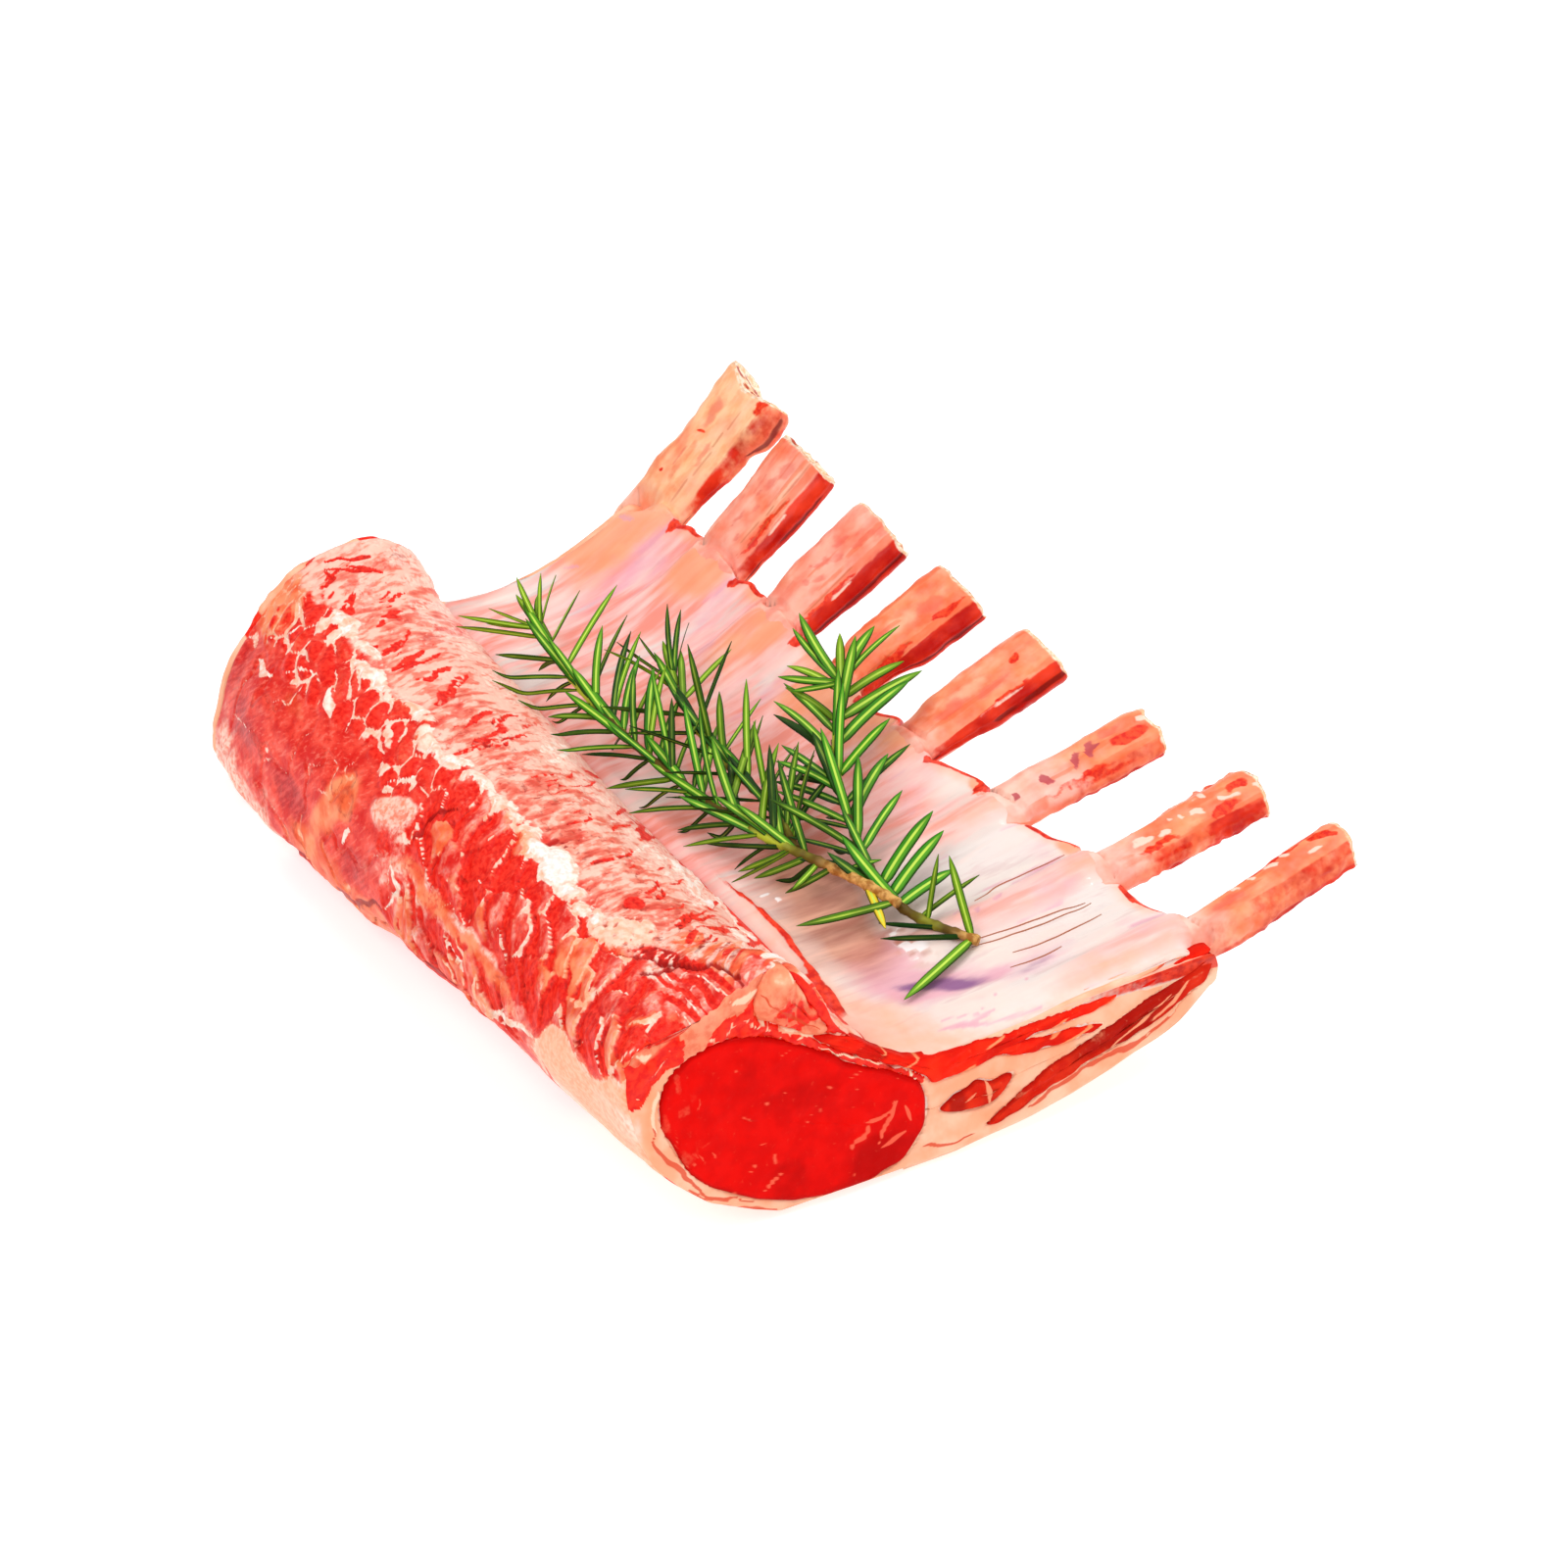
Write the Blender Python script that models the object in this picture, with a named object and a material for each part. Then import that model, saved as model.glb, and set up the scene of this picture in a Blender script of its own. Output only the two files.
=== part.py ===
"""Frenched rack of lamb with two rosemary sprigs lying on it.

The loin runs along X and its near cut face looks along +X. The ribs reach out along +Y and
curve up, and the rack rests on the flat underside of its loin at Z = 0. Lengths are in
millimetres and are turned into metres when a mesh is made.
"""
import math

import bmesh
import bpy
import numpy as np

MM = 0.001
GAP = 0.3                  # clearance between pieces that touch

HALF = 100.0               # half the length of the rack
RIB_X = (-89.5, -65.8, -39.7, -14.3, 11.8, 39.7, 66, 92.1)     # the ribs' middles, far to near
RIB_WIDTHS = (16, 17, 16.5, 15.5, 14, 12.5, 12, 9)
RIB_TIPS = ((82, 64.5), (80, 59.5), (84, 54.5), (89.5, 50.5), (94, 47.5), (103, 41.5), (112, 38.5),
            (116, 40.5))   # Y, Z of the middle of a tip's upper edge
RIB_TWISTS = (20, 13, 16, 12, 12, 10, 9, 4)      # degrees, far edge up
RIB_THICKS = (6.5, 6, 6, 6, 6, 6.5, 7, 8.5)      # outside the meat
ROOT_THICK = 6.0           # inside the meat
RIB_ROOT_Y = 24.0          # where a rib ends inside the meat
RIB_WAIST = 0.08           # how much a rib narrows halfway
RIB_SECTION = ((1, 0.45), (0.7, 1), (-0.7, 1), (-1, 0.45), (-1, -0.45), (-0.7, -1), (0.7, -1), (1, -0.45))
MEMBRANE = 1.2             # meat and membrane over a rib

FOOT_Y = 6.0               # where the plate leaves the loin
VALLEY_Y = 17.0            # lowest line of the plate's upper side
PLATE_Z = (24.0, 25.5)     # height of that line, far and near
PLATE_CURL = (0.0098, 0.0012)                    # upward curl of the plate, far and near
PLATE_THICK = (23.5, 10.8)  # next to the loin and at the edge
PLATE_START_Y = 12.0       # from here to the edge the plate grows thinner
PLATE_THINNING = 3.2       # how late it does so
UNDER_START_Y = 18.0       # where the plate's underside starts beside the flat base
UNDER_SHARES = (0.14, 0.32, 0.5, 0.67, 0.82, 0.94)
UPPER_SHARES = (0.93, 0.78, 0.6, 0.43, 0.28, 0.14, 0.0)
RIM_LOW = 2.2              # height of the rim's lower point over the underside
RIM_UPPER = ((0.4, -3.5), (-0.8, -0.9))          # its other points from the edge, outwards and up
END_ROUNDING = 1.2
EDGE_KEYS = ((-100, 56.5), (-25, 59), (25, 62.5), (60, 73), (85, 78), (100, 81))   # X, Y of the edge
EDGE_CLING = 2.5           # how much further the meat reaches along a rib
RIB_RIDGE = 1.0            # height of the plate's ridge over a rib

FACE_LEAN = (0.04, -0.13)  # the near cut face leans with Y and with Z
FAR_BULGE = 4.0            # how far the far cut stands out over the plate
LEAN_START = 60.0          # distance along X where the ends begin to lean

# Loin outline, from the plate's foot over the top and down the left side to the underside.
LOIN_KEYS = {
    -100: ((4, 27), (1, 34), (-4, 42), (-13, 48.5), (-24, 48.5), (-36, 42), (-46, 31), (-50, 19),
           (-52, 9), (-46, 1), (-36, 0), (18, 0)),
    -84: ((3, 27), (0, 33), (-8, 40), (-18, 45), (-31, 47), (-43, 43), (-52, 33), (-56, 21),
          (-56, 9), (-49, 0.5), (-38, 0), (18, 0)),
    0: ((3, 26), (-1, 31), (-10, 37.5), (-21, 43.5), (-34, 46.5), (-45, 42), (-53, 32), (-55.5, 21),
        (-52, 11), (-44, 3), (-33, 0), (18, 0)),
    60: ((3, 27), (-2, 32), (-10, 39), (-20, 45), (-31, 47), (-42, 44.5), (-50, 37), (-51.5, 26),
         (-47, 15), (-39, 5.5), (-26, 0), (17, 0)),
    100: ((3, 30), (-5, 38), (-10, 51), (-19, 57), (-30, 51), (-39, 48.5), (-50, 47), (-51, 36),
          (-45, 21), (-34, 9.5), (-16, 0), (12, 0)),
}
LOIN_STEPS = 2             # points along each stretch of that outline
LEFT_FACE = (8, 17)        # outline points that bound the trimmed chine meat
CHINE_X = (-93.0, 82.0)
CHINE_DEPTH = 4.0
CHINE_EDGE_DEPTH = 0.35    # share of that depth along its edges
CHINE_TAPER = 25.0         # how far from its two ends it has its whole depth

# The eye of the loin at the near cut. It is smaller inside the rack.
EYE = ((-45, 31), (-39.5, 17), (-26, 7.6), (-8, 1.8), (5, 4), (11.5, 12), (7.5, 21.5), (-7, 31),
       (-25, 41), (-39, 42))
EYE_MIDDLE = (-16.0, 22.0)
EYE_INSIDE = (0.88, 0.8)   # its size deep inside, in Y and Z
EYE_SHIFT = (-3.0, -1.5)
EYE_TAPER_X = 45.0         # where it begins to grow towards the near cut
# Layers of the plate: u runs from the loin to the edge, v from the underside to the top.
LAYER_START_Y = 14.0       # where u is 0
CAP = ((0.16, 0.07), (0.34, 0.09), (0.5, 0.11), (0.7, 0.15), (0.86, 0.19), (0.91, 0.26), (0.84, 0.33),
       (0.66, 0.3), (0.48, 0.24), (0.32, 0.16))
ISLAND = ((0.02, 0.45), (0.1, 0.56), (0.27, 0.4), (0.29, 0.32), (0.19, 0.2), (0.08, 0.3))
BAND_START_Y = 10.0
BAND_DEPTHS = (1.6, 5.6)   # top and underside of the meat between ribs, below the plate's top
OUTER_BAND = 0.9           # how far the last band reaches towards the edge
INTERCOSTAL_INSET = 1.5    # from a rib's side to the meat between ribs

LONG_STEM = ((-68, 10, 15), (-53, 8, 12), (-36, 9, 9), (-16, 10, 8), (-1, 14, 7), (16, 16, 7),
             (28, 21, 6.5), (40, 26, 6), (49, 29, 6), (57, 32, 5.5))   # X, Y, height over the plate
SIDE_SHOOT = ((-46, 34, 17), (-27, 26, 14), (-15, 24, 12), (-2, 23, 10), (10, 23, 8), (26, 20.5, 6.8))
SHORT_STEM = ((-3, 54, 20), (7, 47, 18), (15, 41, 15), (21, 39, 12), (33, 35, 8), (43, 33, 4),
              (55, 35, 2), (64, 38, 1.6), (73, 41, 1.6))
STEM_RADIUS = 1.1
NEEDLE_LENGTH = 19.0
NEEDLE_WIDTH = 1.5
NEEDLE_TIP = 0.25          # width of a needle's tip to that of its foot
NEEDLE_ANGLE = 48.0        # degrees from the stem
FIRST_WHORL = 2.0          # distance from the growing tip
WHORL_PITCH = 6.5
NEEDLE_CLEARANCE = 2.2     # from a needle of one sprig to the other sprig

MATERIALS = {
    "fat": ((0.93, 0.66, 0.52), 0.35),
    "eye_meat": ((0.78, 0.05, 0.03), 0.3),
    "chine_meat": ((0.86, 0.22, 0.18), 0.35),
    "cap_meat": ((0.55, 0.05, 0.03), 0.35),
    "rib_bone": ((0.92, 0.42, 0.27), 0.4),
    "rosemary": ((0.12, 0.36, 0.06), 0.5),
}


# ---------------------------------------------------------------- curves and interpolation
def smooth(t):
    """0 to 1 with level ends."""
    t = min(1.0, max(0.0, t))
    return t * t * (3 - 2 * t)


def mix(pair, t):
    return pair[0] + (pair[1] - pair[0]) * t


def catmull(p0, p1, p2, p3, t):
    """A point between p1 and p2."""
    return 0.5 * (2 * p1 + (p2 - p0) * t + (2 * p0 - 5 * p1 + 4 * p2 - p3) * t * t
                  + (3 * p1 - p0 - 3 * p2 + p3) * t ** 3)


def spline(points, steps, closed=False):
    """A smooth curve through the points, with the same number of steps along each stretch."""
    p = [np.array(q, float) for q in points]
    count = len(p)
    spans = count if closed else count - 1

    def at(i):
        return p[i % count] if closed else p[min(max(i, 0), count - 1)]

    curve = [catmull(at(i - 1), at(i), at(i + 1), at(i + 2), k / steps)
             for i in range(spans) for k in range(steps)]
    return curve if closed else curve + [p[-1]]


def offset(outline, distance):
    """A closed outline moved outwards by a distance, with its corners kept sharp."""
    p = np.array(outline, float)
    run = np.roll(p, -1, 0) - p
    side = np.stack([run[:, 1], -run[:, 0]], 1)
    side /= np.linalg.norm(side, axis=1)[:, None]
    area = np.sum(p[:, 0] * np.roll(p[:, 1], -1) - np.roll(p[:, 0], -1) * p[:, 1])
    both = np.roll(side, 1, 0) + side
    spread = np.maximum(np.sum(both * both, axis=1) / 2, 0.3)
    return p + both / spread[:, None] * distance * (1 if area > 0 else -1)


def lean(x, y, z):
    """The near end leans back with its cut face, and the far end stands out over the plate."""
    near = smooth((x - LEAN_START) / (HALF - LEAN_START))
    far = smooth((-x - LEAN_START) / (HALF - LEAN_START))
    bulge = FAR_BULGE * smooth((y + 45) / 35)
    return x + near * (FACE_LEAN[0] * y + FACE_LEAN[1] * z) - far * bulge, y, z


# ---------------------------------------------------------------- the plate and the loin
def along(x):
    """0 at the far end to 1 at the near end."""
    return (x + HALF) / (2 * HALF)


def nearness_to_rib(x):
    """1 over a rib's middle, falling to 0 between two ribs."""
    return max(math.exp(-((x - middle) / (0.5 * width)) ** 2) for middle, width in zip(RIB_X, RIB_WIDTHS))


def mean_edge_y(x):
    """Y of the plate's edge between the ribs."""
    keys = np.array(EDGE_KEYS, float)
    return float(np.interp(x, keys[:, 0], keys[:, 1]))


def edge_y(x):
    """Y of the plate's edge, which clings to each rib a little way."""
    return mean_edge_y(x) + EDGE_CLING * nearness_to_rib(x)


def mean_plate_top(x, y):
    t = smooth(along(x))
    return mix(PLATE_Z, t) + mix(PLATE_CURL, t) * max(0.0, y - VALLEY_Y) ** 2


def plate_top(x, y):
    """The plate's upper side, with a low ridge over each rib."""
    return mean_plate_top(x, y) + RIB_RIDGE * nearness_to_rib(x) * smooth((y - 20) / 20)


def plate_share(x, y):
    """0 next to the loin to 1 at the plate's edge."""
    return min(1.0, max(0.0, (y - PLATE_START_Y) / (edge_y(x) - PLATE_START_Y)))


def plate_bottom(x, y):
    u = plate_share(x, y)
    thick = PLATE_THICK[1] + (PLATE_THICK[0] - PLATE_THICK[1]) * (1 - u ** PLATE_THINNING)
    slope = 2 * mix(PLATE_CURL, smooth(along(x))) * max(0.0, y - VALLEY_Y)
    return max(0.0, mean_plate_top(x, y) - thick * math.hypot(1, slope))


def loin_curve(x):
    """The loin's outline at x, between the key outlines."""
    xs = sorted(LOIN_KEYS)
    x = min(max(x, xs[0]), xs[-1])
    i = min(max(k for k in range(len(xs)) if xs[k] <= x), len(xs) - 2)
    t = (x - xs[i]) / (xs[i + 1] - xs[i])
    if i > 0:
        t = smooth(t)
    low, high = np.array(LOIN_KEYS[xs[i]], float), np.array(LOIN_KEYS[xs[i + 1]], float)
    return spline(low + (high - low) * t, LOIN_STEPS)


def swell(x, k):
    """Shallow folds of the trimmed meat, in millimetres out of the surface."""
    return 0.7 * math.sin(0.13 * x + 0.9 * k) + 0.5 * math.sin(0.29 * x - 1.7 * k)


def loin_points(x):
    """The loin's outline with the folds on its left face."""
    curve = np.array(loin_curve(x))
    out = curve.copy()
    first, last = LEFT_FACE
    for k in range(first, last + 1):
        run = curve[k + 1] - curve[k - 1]
        normal = np.array([run[1], -run[0]]) / np.linalg.norm(run)
        out[k] = curve[k] + normal * swell(x, k) * math.sin(math.pi * (k - first) / (last - first))
    out[:, 1] = np.maximum(out[:, 1], 0.0)
    return out


def body_outline(x):
    """The whole cross-section at x: underside, edge, upper side of the plate, then the loin."""
    edge = edge_y(x)
    under = [(y, plate_bottom(x, y)) for y in (mix((UNDER_START_Y, edge), u) for u in UNDER_SHARES)]
    rim = [(edge, plate_bottom(x, edge) + RIM_LOW)]
    rim += [(edge + out, plate_top(x, edge) + up) for out, up in RIM_UPPER]
    upper = [(y, plate_top(x, y)) for y in (mix((FOOT_Y, edge), u) for u in UPPER_SHARES)]
    return np.array(under + rim + upper + [tuple(p) for p in loin_points(x)])


def shrink(outline, distance):
    """A cut end's outline, rounded in by a distance but kept on the ground."""
    inner = offset(outline, -distance)
    inner[:, 1] = np.maximum(inner[:, 1], 0.0)
    return inner


# ---------------------------------------------------------------- meshes
def material(name):
    made = bpy.data.materials.get(name)
    if made:
        return made
    colour, roughness = MATERIALS[name]
    made = bpy.data.materials.new(name)
    made.use_nodes = True
    shader = made.node_tree.nodes["Principled BSDF"]
    shader.inputs["Base Color"].default_value = (*colour, 1)
    shader.inputs["Roughness"].default_value = roughness
    shader.inputs["Metallic"].default_value = 0.0
    return made


def add_object(name, vertices, faces, material_name):
    """An object from points in millimetres, with its faces turned outwards."""
    mesh = bpy.data.meshes.new(name)
    mesh.from_pydata([tuple(MM * c for c in v) for v in vertices], [], faces)
    bm = bmesh.new()
    bm.from_mesh(mesh)
    bmesh.ops.recalc_face_normals(bm, faces=bm.faces)
    bmesh.ops.triangulate(bm, faces=bm.faces)
    bm.to_mesh(mesh)
    bm.free()
    obj = bpy.data.objects.new(name, mesh)
    bpy.context.scene.collection.objects.link(obj)
    obj.data.materials.append(material(material_name))
    return obj


def lofted(rings):
    """Points and faces of a closed solid through rings of points, with a cap on each end."""
    count = len(rings[0])
    vertices = [p for ring in rings for p in ring]
    faces = []
    for r in range(len(rings) - 1):
        for k in range(count):
            a, b = r * count + k, r * count + (k + 1) % count
            faces += [(a, b, b + count), (a, b + count, a + count)]
    faces.append(tuple(range(count)))
    faces.append(tuple(range(len(vertices) - count, len(vertices))))
    return vertices, faces


def combine(body, other, operation):
    """Adds the other object's shape to the body, or cuts it out."""
    other.hide_render = True
    other.display_type = "WIRE"
    boolean = body.modifiers.new(other.name, "BOOLEAN")
    boolean.operation = operation
    boolean.solver = "EXACT"
    boolean.object = other


def cut_hollows(body, hollows):
    """Cuts every hollow, none of which touches another, out of the body at once."""
    vertices, faces = [], []
    for points, sides in hollows:
        faces += [tuple(len(vertices) + k for k in side) for side in sides]
        vertices += points
    combine(body, add_object("hollows", vertices, faces, "fat"), "DIFFERENCE")


def section_ring(x, outline):
    return [lean(x, y, z) for y, z in outline]


def run_layer(name, outline_at, stations, material_name, open_ends=3.0):
    """A layer that runs through the body along X. Returns the hollow that it lies in."""
    add_object(name, *lofted([section_ring(x, outline_at(x)) for x in stations]), material_name)
    reach = [stations[0] - open_ends] + stations + [stations[-1] + open_ends]
    held = [stations[0]] + stations + [stations[-1]]
    return lofted([section_ring(r, offset(outline_at(x), GAP)) for r, x in zip(reach, held)])


# ---------------------------------------------------------------- pieces of the rack
def make_fat_body():
    """Fat cover and plate: the body that everything else lies in."""
    gaps = [(a + b) / 2 for a, b in zip(RIB_X, RIB_X[1:])]
    stations = sorted((-HALF, 1.5 - HALF, 5.5 - HALF, *RIB_X, *gaps, HALF - 4, HALF - 1, HALF))
    rings = []
    for x in stations:
        outline = body_outline(x)
        if abs(x) == HALF:
            outline = shrink(outline, END_ROUNDING)
        rings.append(section_ring(x, outline))
    return add_object("fat_body", *lofted(rings), "fat")


def eye_outline(x):
    inside = 1 - smooth((x - EYE_TAPER_X) / (HALF - EYE_TAPER_X))
    centre = np.array(EYE_MIDDLE)
    scale = np.array([1 - (1 - EYE_INSIDE[0]) * inside, 1 - (1 - EYE_INSIDE[1]) * inside])
    shift = np.array(EYE_SHIFT) * inside
    return [centre + (np.array(p) - centre) * scale + shift for p in spline(EYE, 2, closed=True)]


def plate_layer(points):
    """An outline in the plate's own directions as one in Y and Z."""
    def at(x):
        made = []
        for u, v in points:
            y = mix((LAYER_START_Y, mean_edge_y(x)), u)
            low, high = plate_bottom(x, y), mean_plate_top(x, y)
            made.append((y, low + (high - low) * v))
        return made
    return at


def intercostal_outline(last_u, beyond=0.0):
    """The meat between two ribs: a band under the membrane, up to the plate's edge or past it."""
    def at(x):
        ys = [mix((BAND_START_Y, last_u * edge_y(x)), k / 5) for k in range(6)]
        under = [(y, plate_top(x, y) - BAND_DEPTHS[1]) for y in ys[1:]]
        over = [(y, plate_top(x, y) - BAND_DEPTHS[0]) for y in ys]
        if beyond:
            slope = (over[-1][1] - over[-2][1]) / (ys[-1] - ys[-2])
            under.append((ys[-1] + beyond, under[-1][1] + slope * beyond))
            over.append((ys[-1] + beyond, over[-1][1] + slope * beyond))
        return under + over[::-1]
    return at


def make_muscles():
    through = [-HALF + 2 * HALF * k / 9 for k in range(10)]
    return [
        run_layer("eye_muscle", eye_outline, through, "eye_meat"),
        run_layer("cap_muscle", plate_layer(CAP), through, "cap_meat"),
        run_layer("island_muscle", plate_layer(ISLAND), through, "cap_meat"),
    ]


def make_intercostals():
    """One piece between each two ribs and one past the near rib."""
    starts = [x + w / 2 + INTERCOSTAL_INSET for x, w in zip(RIB_X, RIB_WIDTHS)]
    ends = [x - w / 2 - INTERCOSTAL_INSET for x, w in zip(RIB_X[1:], RIB_WIDTHS[1:])] + [HALF]
    hollows = []
    for i, (start, end) in enumerate(zip(starts, ends)):
        outer = end == HALF
        name = f"intercostal_{i + 1}"
        outline_at = intercostal_outline(OUTER_BAND if outer else 1.0)
        stations = [start, (start + end) / 2, end]
        add_object(name, *lofted([section_ring(x, outline_at(x)) for x in stations]), "cap_meat")
        channel_at = outline_at if outer else intercostal_outline(1.0, beyond=5.0)
        reach = [start - GAP] + stations + [end + (3 if outer else GAP)]
        held = [start] + stations + [end]
        hollows.append(lofted([section_ring(r, offset(channel_at(x), GAP)) for r, x in zip(reach, held)]))
    return hollows


def chine_grid(depth_in, depth_out, spread):
    """Outer and inner grids of points over the left face, between two depths."""
    first, last = LEFT_FACE
    columns = [CHINE_X[0] - spread] + [mix(CHINE_X, k / 9) for k in range(1, 9)] + [CHINE_X[1] + spread]
    outer, inner = [], []
    for x in columns:
        inside_x = min(max(x, CHINE_X[0]), CHINE_X[1])
        curve = loin_points(x)
        taper_x = smooth(min(inside_x - CHINE_X[0], CHINE_X[1] - inside_x) / CHINE_TAPER)
        for k in range(first, last + 1):
            run = curve[k + 1] - curve[k - 1]
            run /= np.linalg.norm(run)
            normal = np.array([run[1], -run[0]])
            slip = (-spread if k == first else spread if k == last else 0) * run
            side = min(k - first, last - k) / (last - first)
            depth = depth_in * mix((CHINE_EDGE_DEPTH, 1.0), min(taper_x, smooth(side * 3)))
            outer.append(lean(x, *(curve[k] + slip + normal * depth_out)))
            inner.append(lean(x, *(curve[k] + slip - normal * (depth + spread))))
    return outer, inner, len(columns), last - first + 1


def slab(outer, inner, rows, columns):
    """Points and faces of a closed solid between two grids of points."""
    shift = len(outer)
    faces = []
    for r in range(rows - 1):
        for c in range(columns - 1):
            a = r * columns + c
            for side in ((a, a + 1, a + 1 + columns), (a, a + 1 + columns, a + columns)):
                faces += [side, tuple(k + shift for k in side)]
    rim = [c for c in range(columns)] + [r * columns + columns - 1 for r in range(1, rows)]
    rim += [(rows - 1) * columns + c for c in range(columns - 2, -1, -1)]
    rim += [r * columns for r in range(rows - 2, 0, -1)]
    for a, b in zip(rim, rim[1:] + rim[:1]):
        faces += [(a, b, b + shift), (a, b + shift, a + shift)]
    return outer + inner, faces


def make_chine_muscle():
    """The trimmed meat over the left face, let into the fat. Returns its recess."""
    add_object("chine_muscle", *slab(*chine_grid(CHINE_DEPTH, 0.0, 0.0)), "chine_meat")
    return slab(*chine_grid(CHINE_DEPTH, 4.0, GAP))


def rib_rings(i, grow):
    """Rings of a rib from its root inside the plate to its tip, grown by a clearance."""
    x, width = RIB_X[i], RIB_WIDTHS[i]
    edge = edge_y(x)
    tip = np.array(RIB_TIPS[i], float)
    under = [(y, plate_top(x, y) - MEMBRANE) for y in (RIB_ROOT_Y, (RIB_ROOT_Y + edge) / 2, edge - 2)]
    line = np.array(spline(under + [tuple(tip)], 2))
    run = np.gradient(line, axis=0)
    run /= np.linalg.norm(run, axis=1)[:, None]
    normal = np.stack([-run[:, 1], run[:, 0]], 1)
    rings = []
    for k, (point, up, ahead) in enumerate(zip(line, normal, run)):
        share = k / (len(line) - 1)
        waist = 1 - RIB_WAIST * math.sin(math.pi * share)
        half_w = width / 2 * waist + grow
        thick = mix((ROOT_THICK, RIB_THICKS[i]), smooth((share - 0.6) / 0.25))
        half_h = thick / 2 + grow
        centre = point - up * thick / 2
        if k == 0:
            centre = centre - ahead * grow
        turn = math.radians(RIB_TWISTS[i]) * smooth((share - 0.4) / 0.6)
        ring = []
        for a, b in RIB_SECTION:
            side, rise = a * half_w, b * half_h
            across = side * math.cos(turn) + rise * math.sin(turn)
            lift = rise * math.cos(turn) - side * math.sin(turn)
            y, z = centre + up * lift
            ring.append(lean(x + across, y, z))
        rings.append(ring)
    return rings


def make_ribs():
    """The ribs. Returns the sockets that they stand in."""
    for i in range(len(RIB_WIDTHS)):
        add_object(f"rib_{i + 1}", *lofted(rib_rings(i, 0.0)), "rib_bone")
    return [lofted(rib_rings(i, GAP)) for i in range(len(RIB_WIDTHS))]


# ---------------------------------------------------------------- rosemary
def stem_line(route):
    """A stem's smooth centreline in X, Y, Z, from heights over the plate."""
    points = [(x, y, plate_top(x, y) + h) for x, y, h in route]
    curve = np.array(spline(points, 8))
    steps = np.linalg.norm(np.diff(curve, axis=0), axis=1)
    run = np.concatenate([[0], np.cumsum(steps)])
    return curve, run


def point_on(curve, run, s):
    return np.array([np.interp(s, run, curve[:, k]) for k in range(3)])


def stem_pieces(route):
    """The stem as short straight pieces."""
    curve, run = stem_line(route)
    return [(point_on(curve, run, s), point_on(curve, run, s + 5)) for s in np.arange(0, run[-1], 5)]


def gap_between(a0, a1, b0, b1, samples=20):
    """About the least distance between two straight pieces."""
    t = np.linspace(0, 1, samples)[:, None]
    a = a0 + (a1 - a0) * t
    b = b0 + (b1 - b0) * t
    return float(np.min(np.linalg.norm(a[:, None] - b[None], axis=2)))


def surface_height(x, y):
    """Height of the rack's upper side, on the plate or the loin."""
    if y > FOOT_Y:
        return plate_top(x, y)
    curve = loin_points(x)[:9]
    return float(np.interp(y, curve[::-1, 0], curve[::-1, 1]))


def clears_meat(start, end):
    for t in np.linspace(0.15, 1, 8):
        x, y, z = start + (end - start) * t
        if z < surface_height(x, y) + 1.0:
            return False
    return True


def sprig(name, route, bare, avoid):
    """A square stem whose sides grow needles in whorls. bare is the length left without any."""
    curve, run = stem_line(route)
    length = run[-1]
    whorls = int((length - bare) / WHORL_PITCH)
    places = [0.0]
    growing = []
    for w in range(whorls):
        s = FIRST_WHORL + w * WHORL_PITCH
        growing.append(len(places))
        places += [s, s + NEEDLE_WIDTH]
    places.append(length)
    bm = bmesh.new()
    rings, frames = [], []
    for k, s in enumerate(places):
        centre = point_on(curve, run, s)
        ahead = point_on(curve, run, min(s + 1, length)) - point_on(curve, run, max(s - 1, 0))
        ahead /= np.linalg.norm(ahead)
        side = np.cross(ahead, (0, 0, 1))
        side /= np.linalg.norm(side)
        up = np.cross(side, ahead)
        radius = STEM_RADIUS * (0.6 + 0.4 * s / length)
        turn = 0.35 * math.sin(1.3 * (k // 2))
        ring = []
        for q in range(4):
            angle = turn + math.pi / 4 + q * math.pi / 2
            ring.append(centre + radius * (math.cos(angle) * side + math.sin(angle) * up))
        rings.append([bm.verts.new(MM * p) for p in ring])
        frames.append((centre, ahead, side, up, turn))
    walls = {}
    for r in range(len(rings) - 1):
        for q in range(4):
            a, b = rings[r], rings[r + 1]
            walls[r, q] = bm.faces.new((a[q], a[(q + 1) % 4], b[(q + 1) % 4], b[q]))
    bm.faces.new(rings[0])
    bm.faces.new(rings[-1])
    lines = stem_pieces(route)
    for w, r in enumerate(growing):
        centre, ahead, side, up, turn = frames[r]
        for q in range(4):
            angle = turn + math.pi / 2 + q * math.pi / 2
            out = math.cos(angle) * side + math.sin(angle) * up
            lay = math.radians(NEEDLE_ANGLE + 9 * math.sin(2.1 * w + 1.7 * q))
            reach = NEEDLE_LENGTH * (0.85 + 0.15 * math.sin(1.7 * w + 2.3 * q))
            reach *= 0.6 + 0.4 * smooth(w / 5)
            start = centre + out * STEM_RADIUS * 0.7
            end = start + reach * (math.sin(lay) * out - math.cos(lay) * ahead)
            crowded = any(gap_between(start, end, a, b) < NEEDLE_CLEARANCE for a, b in avoid)
            if crowded or not clears_meat(start, end):
                continue
            grown = bmesh.ops.extrude_discrete_faces(bm, faces=[walls[r, q]])["faces"][0]
            middle = sum((np.array(v.co) for v in grown.verts), np.zeros(3)) / 4
            for v in grown.verts:
                v.co = MM * end + (np.array(v.co) - middle) * NEEDLE_TIP
            lines.append((start, end))
    bmesh.ops.recalc_face_normals(bm, faces=bm.faces)
    bmesh.ops.triangulate(bm, faces=bm.faces)
    mesh = bpy.data.meshes.new(name)
    bm.to_mesh(mesh)
    bm.free()
    obj = bpy.data.objects.new(name, mesh)
    bpy.context.scene.collection.objects.link(obj)
    obj.data.materials.append(material("rosemary"))
    return obj, lines


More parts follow.
